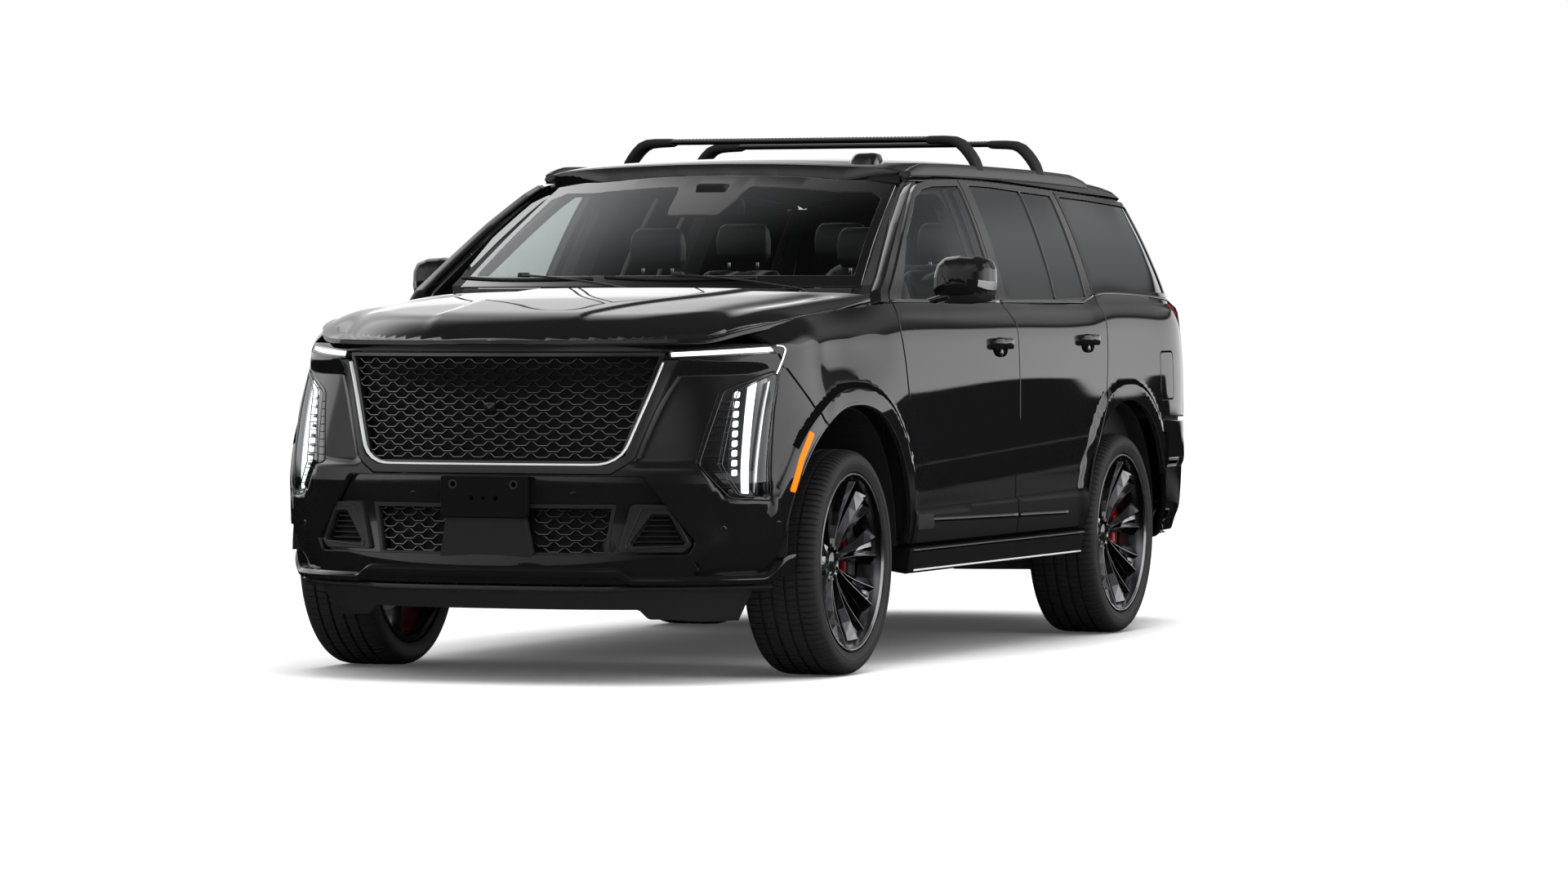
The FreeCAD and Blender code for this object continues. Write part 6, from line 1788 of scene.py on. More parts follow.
FR = (0, -1, 0.4)
ws = [(-808, 1395), (808, 1395)]
ws_r = [(812 - (z - 1392) * 0.29 - 3, z) for z in lin_(1395, ws_top(690) - 6, 12)]
ws_t = [(x, ws_top(x)) for x in lin_(672, -672, 45)]
ws_out = ws_r + ws_t + [(-x, z) for x, z in reversed(ws_r)]


def ws_band(x):
    """The lower edge of the black band along the top, deeper in the middle behind the mirror."""
    return 44 + 112 * (1 - smooth((abs(x) - 95) / 60.0))


in_r = [(812 - (z - 1392) * 0.29 - 34, z) for z in lin_(1436, ws_top(640) - 70, 12)]
in_t = [(x, ws_top(x) - ws_band(x)) for x in lin_(628, -628, 90)]
ws_in = rounded(in_r + in_t + [(-x, z) for x, z in reversed(in_r)], [24] + [0] * (len(in_r) + len(in_t) - 1) + [0] * (len(in_r) - 1) + [24])
M["frit"] = principled("black_frit_glass", (0.003, 0.003, 0.003), 0.05, coat=1.0, bump=(50, 0.003, 0.0005, "noise"))
panel("windscreen_frit", "body", M["frit"], S_ws, [ws_out, ws_in], FR, step=40, wall=5, lip=1.2, round_=1.0, t=5.0, slot="gloss_black", rep=("windshield",), bstep=22)
panel("windscreen_pane", "body", M["glass"], S_ws, [inset(ws_in, -0.2)], FR, step=60, wall=5, lip=0.5, round_=0.5, t=5.0, slot="clear_glass", bstep=26)
# roof header above the screen, closing the step up to the roof skin
hdr = []
for x in lin_(-712, 712, 49):
    zt = ws_top(min(abs(x), 672))
    y0, z0 = screen_y(min(abs(x), 672), zt) + 2, zt
    hdr.append((x, y0, z0))
v, f = [], []
for x, y0, z0 in hdr:
    zr = roof_z(x, -446)
    v += [(x, y0, z0 - 12), (x, y0 - 1, z0 - 1), (x, -458, zr - 5), (x, -449, zr - 1.5), (x, -444, zr - 12), (x, -440, z0 - 26)]
for i in range(len(hdr) - 1):
    for k in range(5):
        f.append((i * 6 + k, i * 6 + k + 1, i * 6 + k + 7, i * 6 + k + 6))
make("screen_header", v, f, "body", M["gloss"], slot="gloss_black")

# ---------------------------------------------------------------- cowl and wipers
cw = spline([(0, -1330), (260, -1319), (500, -1290), (640, -1248), (760, -1209), (790, -1204)])
v, f = [], []
xs = lin_(-786, 786, 120)
for i, x in enumerate(xs):
    ax = abs(x)
    yh = cw(ax)
    zh = hood_z(x, yh)
    ys = screen_y(x, 1392)
    rib = 1.6 if i % 4 < 2 else 0.0
    pts = [(yh - 20, zh - 46), (yh - 4, zh - 42), (yh + 10, zh - 34), ((yh + ys) / 2, (zh + 1392) / 2 - 20 - rib), (ys - 16, 1384 - rib), (ys - 5, 1388), (ys - 3, 1378)]
    v += [(x, y, min(z, 1392)) for y, z in pts]
for i in range(len(xs) - 1):
    for k in range(6):
        f.append((i * 7 + k, i * 7 + k + 1, i * 7 + k + 8, i * 7 + k + 7))
make("cowl_panel", v, f, "body", M["matte"], slot="matte_black")
for k, (px, jx) in enumerate(((620, 130), (-30, -515))):
    def on_glass(x, z, up=8.0):
        n = normal_at(S_ws, x, z, FR)
        p = Vector(S_ws(x, z)) + n * up
        return (p.x, p.y, p.z)
    yp = screen_y(px, 1392) - 26
    lathe(f"wiper_spindle_{k}", "body", M["satin"], [(-30, 0.5), (-30, 14), (4, 14), (10, 10), (12, 0.5)], (px, yp, 1372), n=28, axis="z", slot="matte_black")
    a, b = Vector((px, yp, 1384)), Vector(on_glass(jx, 1418, 24))
    arm = [tuple(a.lerp(b, t) + Vector((0, -3, 7 * math.sin(math.pi * t)))) for t in lin_(0, 1, 14)]
    sweep(f"wiper_arm_{k}", "body", M["satin"], arm, [(-9, -3), (9, -3), (7, 4), (-7, 4)], slot="matte_black")
    x0, x1 = jx - 300, jx + 300
    blade = [on_glass(x, 1412 + 10 * ((x - jx) / 300.0) ** 2 * (1 if x < jx else 0.4), 9) for x in lin_(x0, x1, 28)]
    sweep(f"wiper_blade_{k}", "body", M["rubber"], blade, [(-5, -6), (5, -6), (8, 2), (3, 9), (-3, 9), (-8, 2)], slot="matte_black", up=(0, -0.8, 0.6))
    solid(f"wiper_joint_{k}", "body", M["satin"], rounded([(jx - 24, b.z - 8), (jx + 24, b.z - 8), (jx + 20, b.z + 10), (jx - 20, b.z + 10)], 5), "y", b.y - 9, b.y + 9, bev=2, slot="matte_black")

# inner mirror and the sensor box behind the screen
yc = screen_y(0, 1770)
solid("screen_sensor_box", "body", M["matte"], rounded([(-70, 1700), (70, 1700), (58, 1790), (-58, 1790)], 16), "y", screen_y(0, 1745) + 22, screen_y(0, 1745) + 96, bev=10, seg=3, slot="matte_black")
solid("inner_mirror", "body", M["matte"], rounded([(-132, 1662), (132, 1662), (140, 1700), (128, 1738), (-128, 1738), (-140, 1700)], 20), "y", -600, -572, bev=9, seg=3, slot="matte_black")
solid("inner_mirror_glass", "body", M["mirror"], rounded([(-124, 1669), (124, 1669), (131, 1700), (120, 1731), (-120, 1731), (-131, 1700)], 16), "y", -574, -570, bev=1, slot="steel")
sweep("inner_mirror_stem", "body", M["matte"], [(0, -590, 1720), (0, -584, 1750), (0, -560, 1772)], [(9 * math.cos(t), 9 * math.sin(t)) for t in lin_(0, 5.5, 8)], up=(1, 0, 0), slot="matte_black")

# ---------------------------------------------------------------- roof rails and cross bars
for side, nm in ((1, "left"), (-1, "right")):
    v, f, st = [], [], []
    ys = lin_(-436, 1686, 64)
    for y in ys:
        x = 742 - 10 * smooth((y - 900) / 900)
        zt = roof_z(x, y)
        k = max(0.0, min(1, (y + 440) / 160.0, (1690 - y) / 200.0))
        h = 6 + 30 * math.sqrt(k)
        xi = x - 15
        zi = roof_z(xi, y)
        sec = [(x + 13, zt - 8), (x + 12, zt + h * 0.55), (x + 8, zt + h * 0.88), (x + 1, zt + h), (x - 9, zt + h), (x - 14, zt + h * 0.86), (x - 16.5, zt + h * 0.5), (x - 17.5, zi - 3)]
        v += [(a, y, b) for a, b in sec]
    m_ = 8
    for i in range(len(ys) - 1):
        for k in range(m_ - 1):
            f.append((i * m_ + k, (i + 1) * m_ + k, (i + 1) * m_ + k + 1, i * m_ + k + 1))
    f.append(tuple(range(m_)))
    f.append(tuple(reversed(range((len(ys) - 1) * m_, len(ys) * m_))))
    o = make(f"roof_rail_{nm}", v, f, "body", M["satin"], side=side, slot="gloss_black", rep=("roof_rails",))
    fix(o)
    sharp(o, 50)
    # dark foot line under the rail
    path = [(742 - 10 * smooth((y - 900) / 900) + 14, y, roof_z(742 - 10 * smooth((y - 900) / 900) + 14, y) + 1.0) for y in lin_(-436, 1686, 60)]
    sweep(f"rail_seal_{nm}", "body", M["rubber"], path, [(-2, -2), (2.5, -2), (1.5, 2.5), (-2, 3)], side=side, slot="matte_black")

for nb, y in enumerate((351.0, 1074.0)):
    # wing-shaped bar
    sec = [(-38, -3), (-34, -9), (-10, -12), (24, -11), (38, -4), (39, 0), (30, 6), (8, 9.5), (-14, 9.5), (-32, 5), (-38, 0)]
    path = [(x, y, 1978) for x in lin_(-575, 575, 24)]
    sweep(f"cross_bar_{nb}", "body", M["satin"], path, sec, slot="matte_black", rep=("cross_bars",))
    # serrated rubber strip along the top
    v, f = [], []
    n = 150
    for i in range(n + 1):
        x = -555 + 1110 * i / n
        h = 12.0 if i % 2 else 9.6
        for yy, zz in ((-13, 6), (-11, h - 2), (-8, h), (8, h), (11, h - 2), (13, 6)):
            v.append((x, y + yy, 1978 + zz))
    for i in range(n):
        for k in range(5):
            f.append((i * 6 + k, i * 6 + k + 1, i * 6 + k + 7, i * 6 + k + 6))
    f.append(tuple(reversed(range(6))))
    f.append(tuple(range(n * 6, n * 6 + 6)))
    o = make(f"cross_bar_strip_{nb}", v, f, "body", M["rubber"], smooth=False, slot="matte_black")
    fix(o)
    for side, nm in ((1, "left"), (-1, "right")):
        # foot: a bent cover from the bar's end over the edge of the roof down to the rail
        cp = [(538, 1976, 13, 34), (552, 1975, 18, 41), (610, 1974, 19.5, 44), (646, 1971, 20, 45), (672, 1960, 20, 46), (694, 1940, 19, 46), (713, 1917, 18, 46), (729, 1893, 17, 46), (740, 1870, 15, 44), (745, 1852, 13, 42)]
        v, f = [], []
        for i, (cx, cz, th, wy) in enumerate(cp):
            a = cp[max(i - 1, 0)]
            b = cp[min(i + 1, len(cp) - 1)]
            t = Vector((b[0] - a[0], 0, b[1] - a[1])).normalized()
            nn = Vector((-t.z, 0, t.x))
            th = th * 0.92
            for ang in lin_(0, 2 * math.pi, 17)[:-1]:
                cs, sn = math.cos(ang), math.sin(ang)
                e = 0.45
                uu = math.copysign(abs(cs) ** e, cs) * wy
                ww = math.copysign(abs(sn) ** e, sn) * th
                v.append((cx + nn.x * ww, y + uu, cz + nn.z * ww))
        for i in range(len(cp) - 1):
            for k in range(16):
                l = (k + 1) % 16
                f.append((i * 16 + k, i * 16 + l, (i + 1) * 16 + l, (i + 1) * 16 + k))
        f.append(tuple(reversed(range(16))))
        f.append(tuple(range((len(cp) - 1) * 16, len(cp) * 16)))
        o = make(f"cross_bar_foot_{nb}_{nm}", v, f, "body", M["matte"], side=side, slot="matte_black")
        fix(o)
        sharp(o, 55)

# small pod on the front edge of the roof
v, f = [], []
px, py = 545.0, -352.0
n = 28
for t in (0.0, 0.35, 0.7, 0.9, 1.0):
    h = 46 * t
    for i in range(n):
        a = 2 * math.pi * i / n
        c, s = math.cos(a), math.sin(a)
        sc = (1 - 0.30 * t ** 2.2) if t < 0.95 else 0.5
        x = px + math.copysign(abs(c) ** 0.6, c) * 58 * sc
        y = py + math.copysign(abs(s) ** 0.6, s) * 62 * sc + 10 * t
        v.append((x, y, roof_z(px, py) - 6 + (h if t < 0.95 else 46)))
for k in range(4):
    for i in range(n):
        j = (i + 1) % n
        f.append((k * n + i, k * n + j, (k + 1) * n + j, (k + 1) * n + i))
f.append(tuple(range(4 * n, 5 * n)))
o = make("roof_pod", v, f, "body", M["gloss"], slot="gloss_black")
fix(o)
sharp(o, 60)

# ---------------------------------------------------------------- door mirrors
mo = [(962, 1342), (1000, 1332), (1090, 1330), (1160, 1338), (1178, 1362), (1184, 1412), (1182, 1462), (1166, 1494), (1126, 1508), (1060, 1512), (996, 1504), (968, 1480), (954, 1430), (953, 1376)]
mo = resample(rounded(mo, 22), 9)
mc = (1076, 1420)


def mirror_grid(stations, frac0=0.0):
    v = []
    for y, s, dx, dz in stations:
        for x, z in mo:
            v.append((mc[0] + (x - mc[0]) * s + dx, y, mc[1] + (z - mc[1]) * s + dz))
    return v


for side, nm in ((1, "left"), (-1, "right")):
    st = [(-789, 0.30, -6, 6), (-786, 0.52, -5, 5), (-778, 0.70, -4, 4), (-764, 0.84, -2, 2), (-744, 0.94, 0, 0), (-718, 0.99, 0, 0), (-690, 1.0, 0, 0), (-664, 0.985, 0, 0), (-656, 0.96, 0, 0), (-657, 0.93, 0, 0), (-668, 0.915, 0, 0)]
    n = len(mo)
    v = mirror_grid(st)
    f = [tuple(range(n))]
    fm = [0]
    for k in range(len(st) - 1):
        for i in range(n):
            j = (i + 1) % n
            f.append((k * n + i, k * n + j, (k + 1) * n + j, (k + 1) * n + i))
            zz = (v[k * n + i][2] + v[k * n + j][2]) / 2
            fm.append(1 if (zz < 1376 or k >= 8) else 0)
    f.append(tuple(reversed(range((len(st) - 1) * n, len(st) * n))))
    fm.append(1)
    o = make(f"mirror_shell_{nm}", v, f, f"front_door_{nm}", None, side=side, mats=[M["paint"], M["matte"]], fmat=fm, slot="black_paint", rep=(f"mirror_{nm}",))
    fix(o)
    sharp(o, 50)
    g = [(mc[0] + (x - mc[0]) * 0.89, mc[1] + (z - mc[1]) * 0.89) for x, z in mo[::2]]
    solid(f"mirror_glass_{nm}", f"front_door_{nm}", M["mirror"], g, "y", -670, -663, side=side, bev=1.2, slot="steel")
    # turn lamp wrapped round the outer lower edge
    lens = []
    for y, s, dx, dz in st[2:8]:
        lens.append([(mc[0] + (x - mc[0]) * s * 1.004 + dx + 0.8, y, mc[1] + (z - mc[1]) * s + dz) for x, z in ((1174, 1368), (1180, 1384), (1183, 1400), (1183.5, 1414))])
    v, f = [], []
    for r in lens:
        v += r
    for i in range(len(lens) - 1):
        for k in range(3):
            f.append((i * 4 + k, i * 4 + k + 1, (i + 1) * 4 + k + 1, (i + 1) * 4 + k))
    make(f"mirror_turn_lamp_{nm}", v, f, f"front_door_{nm}", M["lens2"], side=side, slot="lamp_lens")
    # arm from the door's front corner
    v, f = [], []
    arm = [(944, 1338, -725, 62, 13), (968, 1344, -726, 58, 14), (996, 1352, -727, 54, 15), (1030, 1360, -727, 50, 15)]
    for x, z, y, wy, tz in arm:
        for a in lin_(0, 2 * math.pi, 17)[:-1]:
            c, s = math.cos(a), math.sin(a)
            v.append((x, y + math.copysign(abs(c) ** 0.6, c) * wy, z + math.copysign(abs(s) ** 0.6, s) * tz))
    for i in range(len(arm) - 1):
        for k in range(16):
            l = (k + 1) % 16
            f.append((i * 16 + k, i * 16 + l, (i + 1) * 16 + l, (i + 1) * 16 + k))
    f.append(tuple(reversed(range(16))))
    f.append(tuple(range(48, 64)))
    o = make(f"mirror_arm_{nm}", v, f, f"front_door_{nm}", M["gloss"], side=side, slot="gloss_black")
    fix(o)
    sharp(o, 60)

# ---------------------------------------------------------------- door handles
for side, nm in ((1, "left"), (-1, "right")):
    for which, yc, zc in (("front", -165, 1178), ("rear", 899, 1188)):
        v, f = [], []
        st = lin_(-108, 108, 27)
        for t in st:
            u = t / 108.0
            out = 37 * (1 - abs(u) ** 4.5) - (0 if abs(u) < 0.98 else 4)
            xs_ = side_x(yc + t, zc)
            hh = 22 * (1 - 0.22 * abs(u) ** 3)
            th = 9.5 * (1 - 0.2 * u * u)
            cx = xs_ - 8 + out
            cz = zc + 3 - 2 * u
            for a in lin_(0, 2 * math.pi, 15)[:-1]:
                c, s = math.cos(a), math.sin(a)
                v.append((cx + math.copysign(abs(c) ** 0.7, c) * th, yc + t, cz + math.copysign(abs(s) ** 0.7, s) * hh))
        for i in range(len(st) - 1):
            for k in range(14):
                l = (k + 1) % 14
                f.append((i * 14 + k, i * 14 + l, (i + 1) * 14 + l, (i + 1) * 14 + k))
        f.append(tuple(reversed(range(14))))
        f.append(tuple(range((len(st) - 1) * 14, len(st) * 14)))
        o = make(f"{which}_door_handle_{nm}", v, f, f"{which}_door_{nm}", M["paint"], side=side, slot="black_paint")
        fix(o)
        sharp(o, 60)
        lathe(f"{which}_door_lock_{nm}", f"{which}_door_{nm}", M["gloss"], [(-22, 0.5), (-22, 17), (-3, 17), (1, 14), (2, 0.5)], (side_x(yc, zc - 36), yc + 12, zc - 33), side=side, n=36, slot="gloss_black")


# ---------------------------------------------------------------- lower doors, rocker and running boards
def S_clad(y, z):
    """Lower moulding: stands a little proud of the door below its hollow."""
    top = 574 + 0.0147 * (y + 1112)
    k = smooth((top - z) / 11.0)
    return (side_x(y, z) - cut_side(y, min(z, top)) * (1 - 0.75 * k) + 1.5 + 3.5 * k, y, z)


def in_door(outl, d, z_top, z_bot=None):
    L = inset(outl, GAP / 2 + d)
    L = clip(L, z_top)
    return clip(L, z_bot, "above") if z_bot else L


for side, nm in ((1, "left"), (-1, "right")):
    for which, outl in (("front", FRONT_DOOR), ("rear", REAR_DOOR)):
        body = f"{which}_door_{nm}"
        L = in_door(outl, 0.9, lambda y: 574 + 0.0147 * (y + 1112))
        panel(f"{which}_door_cladding_{nm}", body, M["clad"], S_clad, [L], OUT, step=24, wall=6, lip=2.0, round_=1.6, side=side, slot="gloss_black", bstep=16)
        # satin strip along the moulding
        a, b = (-1052, 30) if which == "front" else (60, 640)
        n = 20
        path = [(S_clad(y, 522)[0] + 1.5, y, 535 - (y + 1061) * 0.0135) for y in lin_(a, b, n)]
        sec = [(-3, -9), (3.5, -8), (5, -2), (4, 7), (-3, 9)]
        sweep(f"{which}_door_strip_{nm}", body, M["strip"], path, sec, side=side, slot="frame_steel")
        if which == "front":
            xs_ = S_clad(-980, 525)[0]
            pts = [(-1066, 498), (-905, 500), (-888, 512), (-905, 556), (-1062, 556)]
            solid(f"front_door_strip_end_{nm}", body, M["matte"], rounded(pts, 6), "x", xs_ - 8, xs_ + 7, side=side, bev=2.5, slot="gloss_black")
    # rocker with a rounded upper shoulder, a hollow below it and the fixed board
    sec = [(886, 437), (980, 438), (1001, 436), (1009, 429), (1008, 420), (1003, 392), (999, 368), (997, 352), (994, 341), (975, 338), (900, 350), (884, 380)]
    ys = [-1111, -1106, -1090] + lin_(-1050, 820, 34) + [858, 874, 879]
    v, f = [], []
    for y in ys:
        e = min(1.0, (y + 1111) / 21.0, (879 - y) / 21.0)
        s = 1 - 0.10 * (1 - max(e, 0)) ** 2
        for x, z in sec:
            v.append((946 + (x - 946) * s, y, 388 + (z - 388) * s))
    m_ = len(sec)
    for i in range(len(ys) - 1):
        for k in range(m_):
            l = (k + 1) % m_
            f.append((i * m_ + k, i * m_ + l, (i + 1) * m_ + l, (i + 1) * m_ + k))
    f.append(tuple(reversed(range(m_))))
    f.append(tuple(range((len(ys) - 1) * m_, len(ys) * m_)))
    o = make(f"rocker_moulding_{nm}", v, f, "body", M["clad"], side=side, slot="matte_black", rep=("running_boards",))
    fix(o)
    bevel(o, 1.5, 2, 50)
    path = [(997.0, y, 351) for y in lin_(-1060, 860, 24)]
    sweep(f"rocker_bright_strip_{nm}", "body", M["silver"], path, [(-2.5, -4.0), (1.5, -3.5), (2.2, 2.5), (-2.5, 3.5)], side=side, slot="steel")
    path = [(1008.0, y, 424) for y in lin_(-1090, 870, 24)]
    sweep(f"rocker_top_trim_{nm}", "body", M["strip"], path, [(-2.5, -6.0), (0.8, -6.0), (1.2, 5.0), (-2.5, 6.0)], side=side, slot="frame_steel")
    # ribbed step pad on top
    v, f = [], []
    n = 110
    for i in range(n + 1):
        y = -1040 + 1860 * i / n
        h = 1.6 if i % 2 else 0.0
        v += [(914, y, 436.5), (916, y, 438.4 + h * 0.6), (962, y, 438.8 + h), (968, y, 437.2)]
    for i in range(n):
        for k in range(3):
            f.append((i * 4 + k, i * 4 + k + 1, i * 4 + k + 5, i * 4 + k + 4))
    make(f"step_pad_{nm}", v, f, "body", M["rubber"], smooth=False, side=side, slot="matte_black")
    # inner sill plates that show when the doors are open
    for a, b, tag in ((-1030, 20, "front"), (90, 830, "rear")):
        xs_ = side_x(0, 560) - 110 - 24
        solid(f"sill_plate_{tag}_{nm}", "body", M["smoke"], rounded([(xs_ - 48, a), (xs_ - 4, a), (xs_ - 4, b), (xs_ - 48, b)], 8), "z", 561, 565, side=side, bev=1, slot="frame_steel")
    # painted shadow: a near-black line round the outside of the arch flares, and a soft lip at their inner edge
    for A, tag in ((ARCH_F, "front"), (ARCH_R, "rear")):
        pts = [p for p in arch_curve(A, 2, 6, 174, 70)]
        path = [(side_x(y, z) - 4, y, z) for y, z in pts if (y > -2240 and z > 470 and not (tag == "rear" and y > 1880))]
        # painted shadow: a near-black strip that follows the step on the outer side of the flare
        lo_, hi_ = (40, 145) if tag == "front" else (68, 132)
        n_ = 70
        rows = []
        for g, o_ in ((61, -1.2), (64, 0.9), (72, 1.6), (80, 1.6), (86, 0.9), (89, -1.2), (86, -5.0), (64, -5.0)):
            rows.append([(side_x(y, z) + o_, y, z) for y, z in arch_curve(A, g, lo_, hi_, n_)])
        m_ = len(rows)
        vv = [p for r in rows for p in r]
        ff = []
        for i in range(m_):
            j = (i + 1) % m_
            for k in range(n_ - 1):
                ff.append((i * n_ + k, i * n_ + k + 1, j * n_ + k + 1, j * n_ + k))
        ff.append(tuple(i * n_ for i in range(m_)))
        ff.append(tuple(i * n_ + n_ - 1 for i in reversed(range(m_))))
        fix(make(f"flare_painted_shadow_{tag}_{nm}", vv, ff, "body", M["shadow"], side=side, slot="matte_black"))
        sweep(f"arch_lip_{tag}_{nm}", "body", M["matte"], path, [(-10, -3), (2.6, -3), (3.6, 0), (2.6, 3), (-10, 3)], side=side, slot="gloss_black", up=(1, 0, 0))

# ---------------------------------------------------------------- seals on the body round the door openings
for side, nm in ((1, "left"), (-1, "right")):
    for tag, outl in (("front", FRONT_DOOR), ("rear", REAR_DOOR)):
        L = resample(inset(outl, 40), 30)
        path = []
        for y, z in L:
            lo = side_x(1100, z) - 110 - 20
            hi = cabin_x(y, max(z, 1340)) - 46 - 27
            k = smooth((z - 1345) / 70.0)
            path.append((lo * (1 - k) + hi * k, y, z))
        sweep(f"door_seal_{tag}_{nm}", "body", M["rubber"], path, [(5 * math.cos(a), 5 * math.sin(a)) for a in lin_(0, 5.4, 7)], closed=True, side=side, up=(1, 0, 0), slot="matte_black")


# ---------------------------------------------------------------- tail
def S_tail(x, z):
    """Tail surface by half-width and height."""
    return (x, rear_y(x, z), z)


def S_tail_u(u, z):
    return tail_pt(u, z)


BACK = (0, 1, 0.15)
T1 = 0.7215
TK = (1 - T1 ** REAR_N) ** (1 / REAR_N)


def gate_u(z):
    """Plan angle of the liftgate's side edge."""
    return tail_u(rear_a(z) * TK, z)


TUK = dict(su=900, eu=.0008)
# liftgate skin below the window and round it, as one panel in plan angle and height
edge = [(gate_u(z), z) for z in lin_(876, 1776, 46)]
low = [(tail_u(648, 708), 708), (tail_u(648, 876), 876)]
top = [(-edge[-1][0] + 2 * edge[-1][0] * (1 - i / 40), 1776) for i in range(1, 40)]
bot = [(-low[0][0] + 2 * low[0][0] * i / 30, 708) for i in range(1, 30)]
gate = low + edge + top + [(-u, z) for u, z in reversed(edge)] + [(-low[1][0], 876), (-low[0][0], 708)] + bot
win = [(-690, 1340), (690, 1340), (600, 1730), (-600, 1730)]


def UT(pts, step=30):
    return [(tail_u(x, z), z) for x, z in resample(pts, step)]


plate_hole = rounded([(-290, 884), (290, 884), (300, 1090), (-300, 1090)], 26)


def gate_d(x, z):
    """Pressing of the liftgate: a shelf line above the plate recess and a hollow at its base."""
    d = 10 * smooth((z - 1098) / 26.0) * (1 - smooth((z - 1150) / 60.0)) * (1 - smooth((abs(x) - 640) / 120.0))
    d -= 8 * smooth((820 - z) / 70.0)
    return d


def S_gate(u, z):
    p = tail_pt(u, z)
    k = smooth((abs(p[0]) - 600) / 200.0)
    d = (gate_d(p[0], z) - 10) * (1 - k)
    return (p[0], p[1] + d, p[2])


panel("liftgate_skin", "liftgate", M["paint"], S_gate, [gate, UT(win), UT(plate_hole, 16)], BACK, step=22, wall=22, lip=2.2, round_=1.8, back=lambda p, n: Vector((p.x * 0.985, p.y - 20, p.z)), slot="black_paint", rep=("liftgate",), bstep=14, **TUK)
# inner trim of the liftgate, with a pull handle
inn = [(tail_u(648, 720) * 0.93, 720), (tail_u(648, 872) * 0.95, 872)] + [(gate_u(z) * 0.93, z) for z in lin_(900, 1760, 30)]
inn = inn + [(-u, z) for u, z in reversed(inn)]
panel("liftgate_trim", "liftgate", M["matte"], lambda u, z: tuple(Vector(tail_pt(u, z)) - Vector((tail_pt(u, z)[0] * 0.05, 62, 0))), [inn, UT([(-672, 1352), (672, 1352), (588, 1716), (-588, 1716)])], (0, -1, 0), step=34, wall=-38, lip=3, round_=-2, slot="matte_black", bstep=24, **TUK)
solid("liftgate_pull", "liftgate", M["matte"], rounded([(250, 792), (420, 792), (410, 830), (260, 830)], 10), "y", rear_y(330, 810) - 84, rear_y(330, 810) - 60, bev=5, seg=3, slot="matte_black")
# plate recess, left blank
v, f = [], []
L = resample(plate_hole, 20)
n = len(L)
for d, s in ((4, 1.0), (34, 0.97), (40, 0.94)):
    for x, z in L:
        xx, zz = x * s, 987 + (z - 987) * s
        v.append((xx, rear_y(x, z) - 10 - d, zz))
for k in range(2):
    for i in range(n):
        j = (i + 1) % n
        f.append((k * n + i, k * n + j, (k + 1) * n + j, (k + 1) * n + i))
f.append(tuple(range(2 * n, 3 * n)))
o = make("plate_recess", v, f, "liftgate", M["gloss"], slot="gloss_black")
sharp(o, 40)
for x in (-150, 150):
    lathe(f"plate_light_{'a' if x < 0 else 'b'}", "liftgate", M["lens"], [(0, 0.5), (0, 16), (6, 18), (9, 14), (9, 0.5)], (x, rear_y(x, 1060) - 46, 1066), n=24, axis="y", slot="lamp_lens")
# rear glass with its dark band
g_out = inset(win, 2)
g_in = [(-640, 1372), (640, 1372), (560, 1700), (-560, 1700)]
panel("liftgate_glass_band", "liftgate", M["frit"], lambda x, z: (x, rear_y(x, z) - 16, z), [g_out, rounded(g_in, 30)], BACK, step=40, wall=5, lip=1, round_=0.8, t=5, slot="gloss_black", bstep=24, rep=("liftgate_glass",))
panel("liftgate_pane", "liftgate", M["tint"], lambda x, z: (x, rear_y(x, z) - 16, z), [inset(rounded(g_in, 30), -0.2)], BACK, step=60, wall=5, lip=0.5, round_=0.5, t=5, slot="dark_glass", bstep=30)
# heating lines on the rear glass
for k in range(9):
    z = 1400 + k * 34
    w = 628 - (z - 1372) * 0.235
    path = [(x, rear_y(x, z) - 14.6, z) for x in lin_(-w, w, 20)]
    sweep(f"rear_heater_line_{k}", "liftgate", M["smoke"], path, [(-0.5, -0.3), (0.5, -0.3), (0.5, 0.3), (-0.5, 0.3)], slot="steel", caps=True)
# rear wiper parked under the spoiler
def on_rear(x, z, up=8):
    return (x, rear_y(x, z) - 16 + up, z)
sweep("rear_wiper_arm", "liftgate", M["satin"], [on_rear(20, 1724, 22), on_rear(60, 1714, 26), on_rear(160, 1703, 24), on_rear(260, 1697, 20)], [(-7, -4), (7, -4), (5, 5), (-5, 5)], slot="matte_black", up=(0, 1, 0.3))
sweep("rear_wiper_blade", "liftgate", M["rubber"], [on_rear(x, 1694 - abs(x - 230) * 0.01, 10) for x in lin_(60, 400, 14)], [(-4, -6), (4, -6), (6, 4), (0, 9), (-6, 4)], slot="matte_black", up=(0, 1, 0.3))

# spoiler
def S_sp_top(x, y):
    zz = ROOF_Y(y) - 30 * (abs(x) / 740) ** 2 - 40 * (abs(x) / 740) ** 10
    return (x, y, zz)


so = [(648 - 0.0012 * (y - 2217) ** 2 * 0.6, y) for y in lin_(2218, 2366, 20)]
so = so + [(x, 2366 + 4 * (1 - (x / 640) ** 2)) for x in lin_(628, -628, 40)] + [(-x, y) for x, y in reversed(so)]
def sp_back(p, n):
    return Vector((p.x * 0.985, p.y, p.z - (24 + 40 * smooth((2372 - p.y) / 120.0))))
panel("roof_spoiler", "liftgate", M["paint"], S_sp_top, [so], UP, step=24, wall=12, lip=2.6, round_=2.4, back=sp_back, slot="black_paint", bstep=14)
lp_path = [(x, 2362 + 4 * (1 - (x / 640) ** 2) , S_sp_top(x, 2362)[2] - 18) for x in lin_(-210, 210, 16)]
sweep("high_stop_lamp", "liftgate", M["red"], lp_path, [(-4, -7), (7, -6), (7, 6), (-4, 7)], up=(0, 0, 1), slot="red_lens")

# ---------------------------------------------------------------- tail lamps
def S_lamp(u, z, off=0.0):
    return tail_pt(u, z, off)


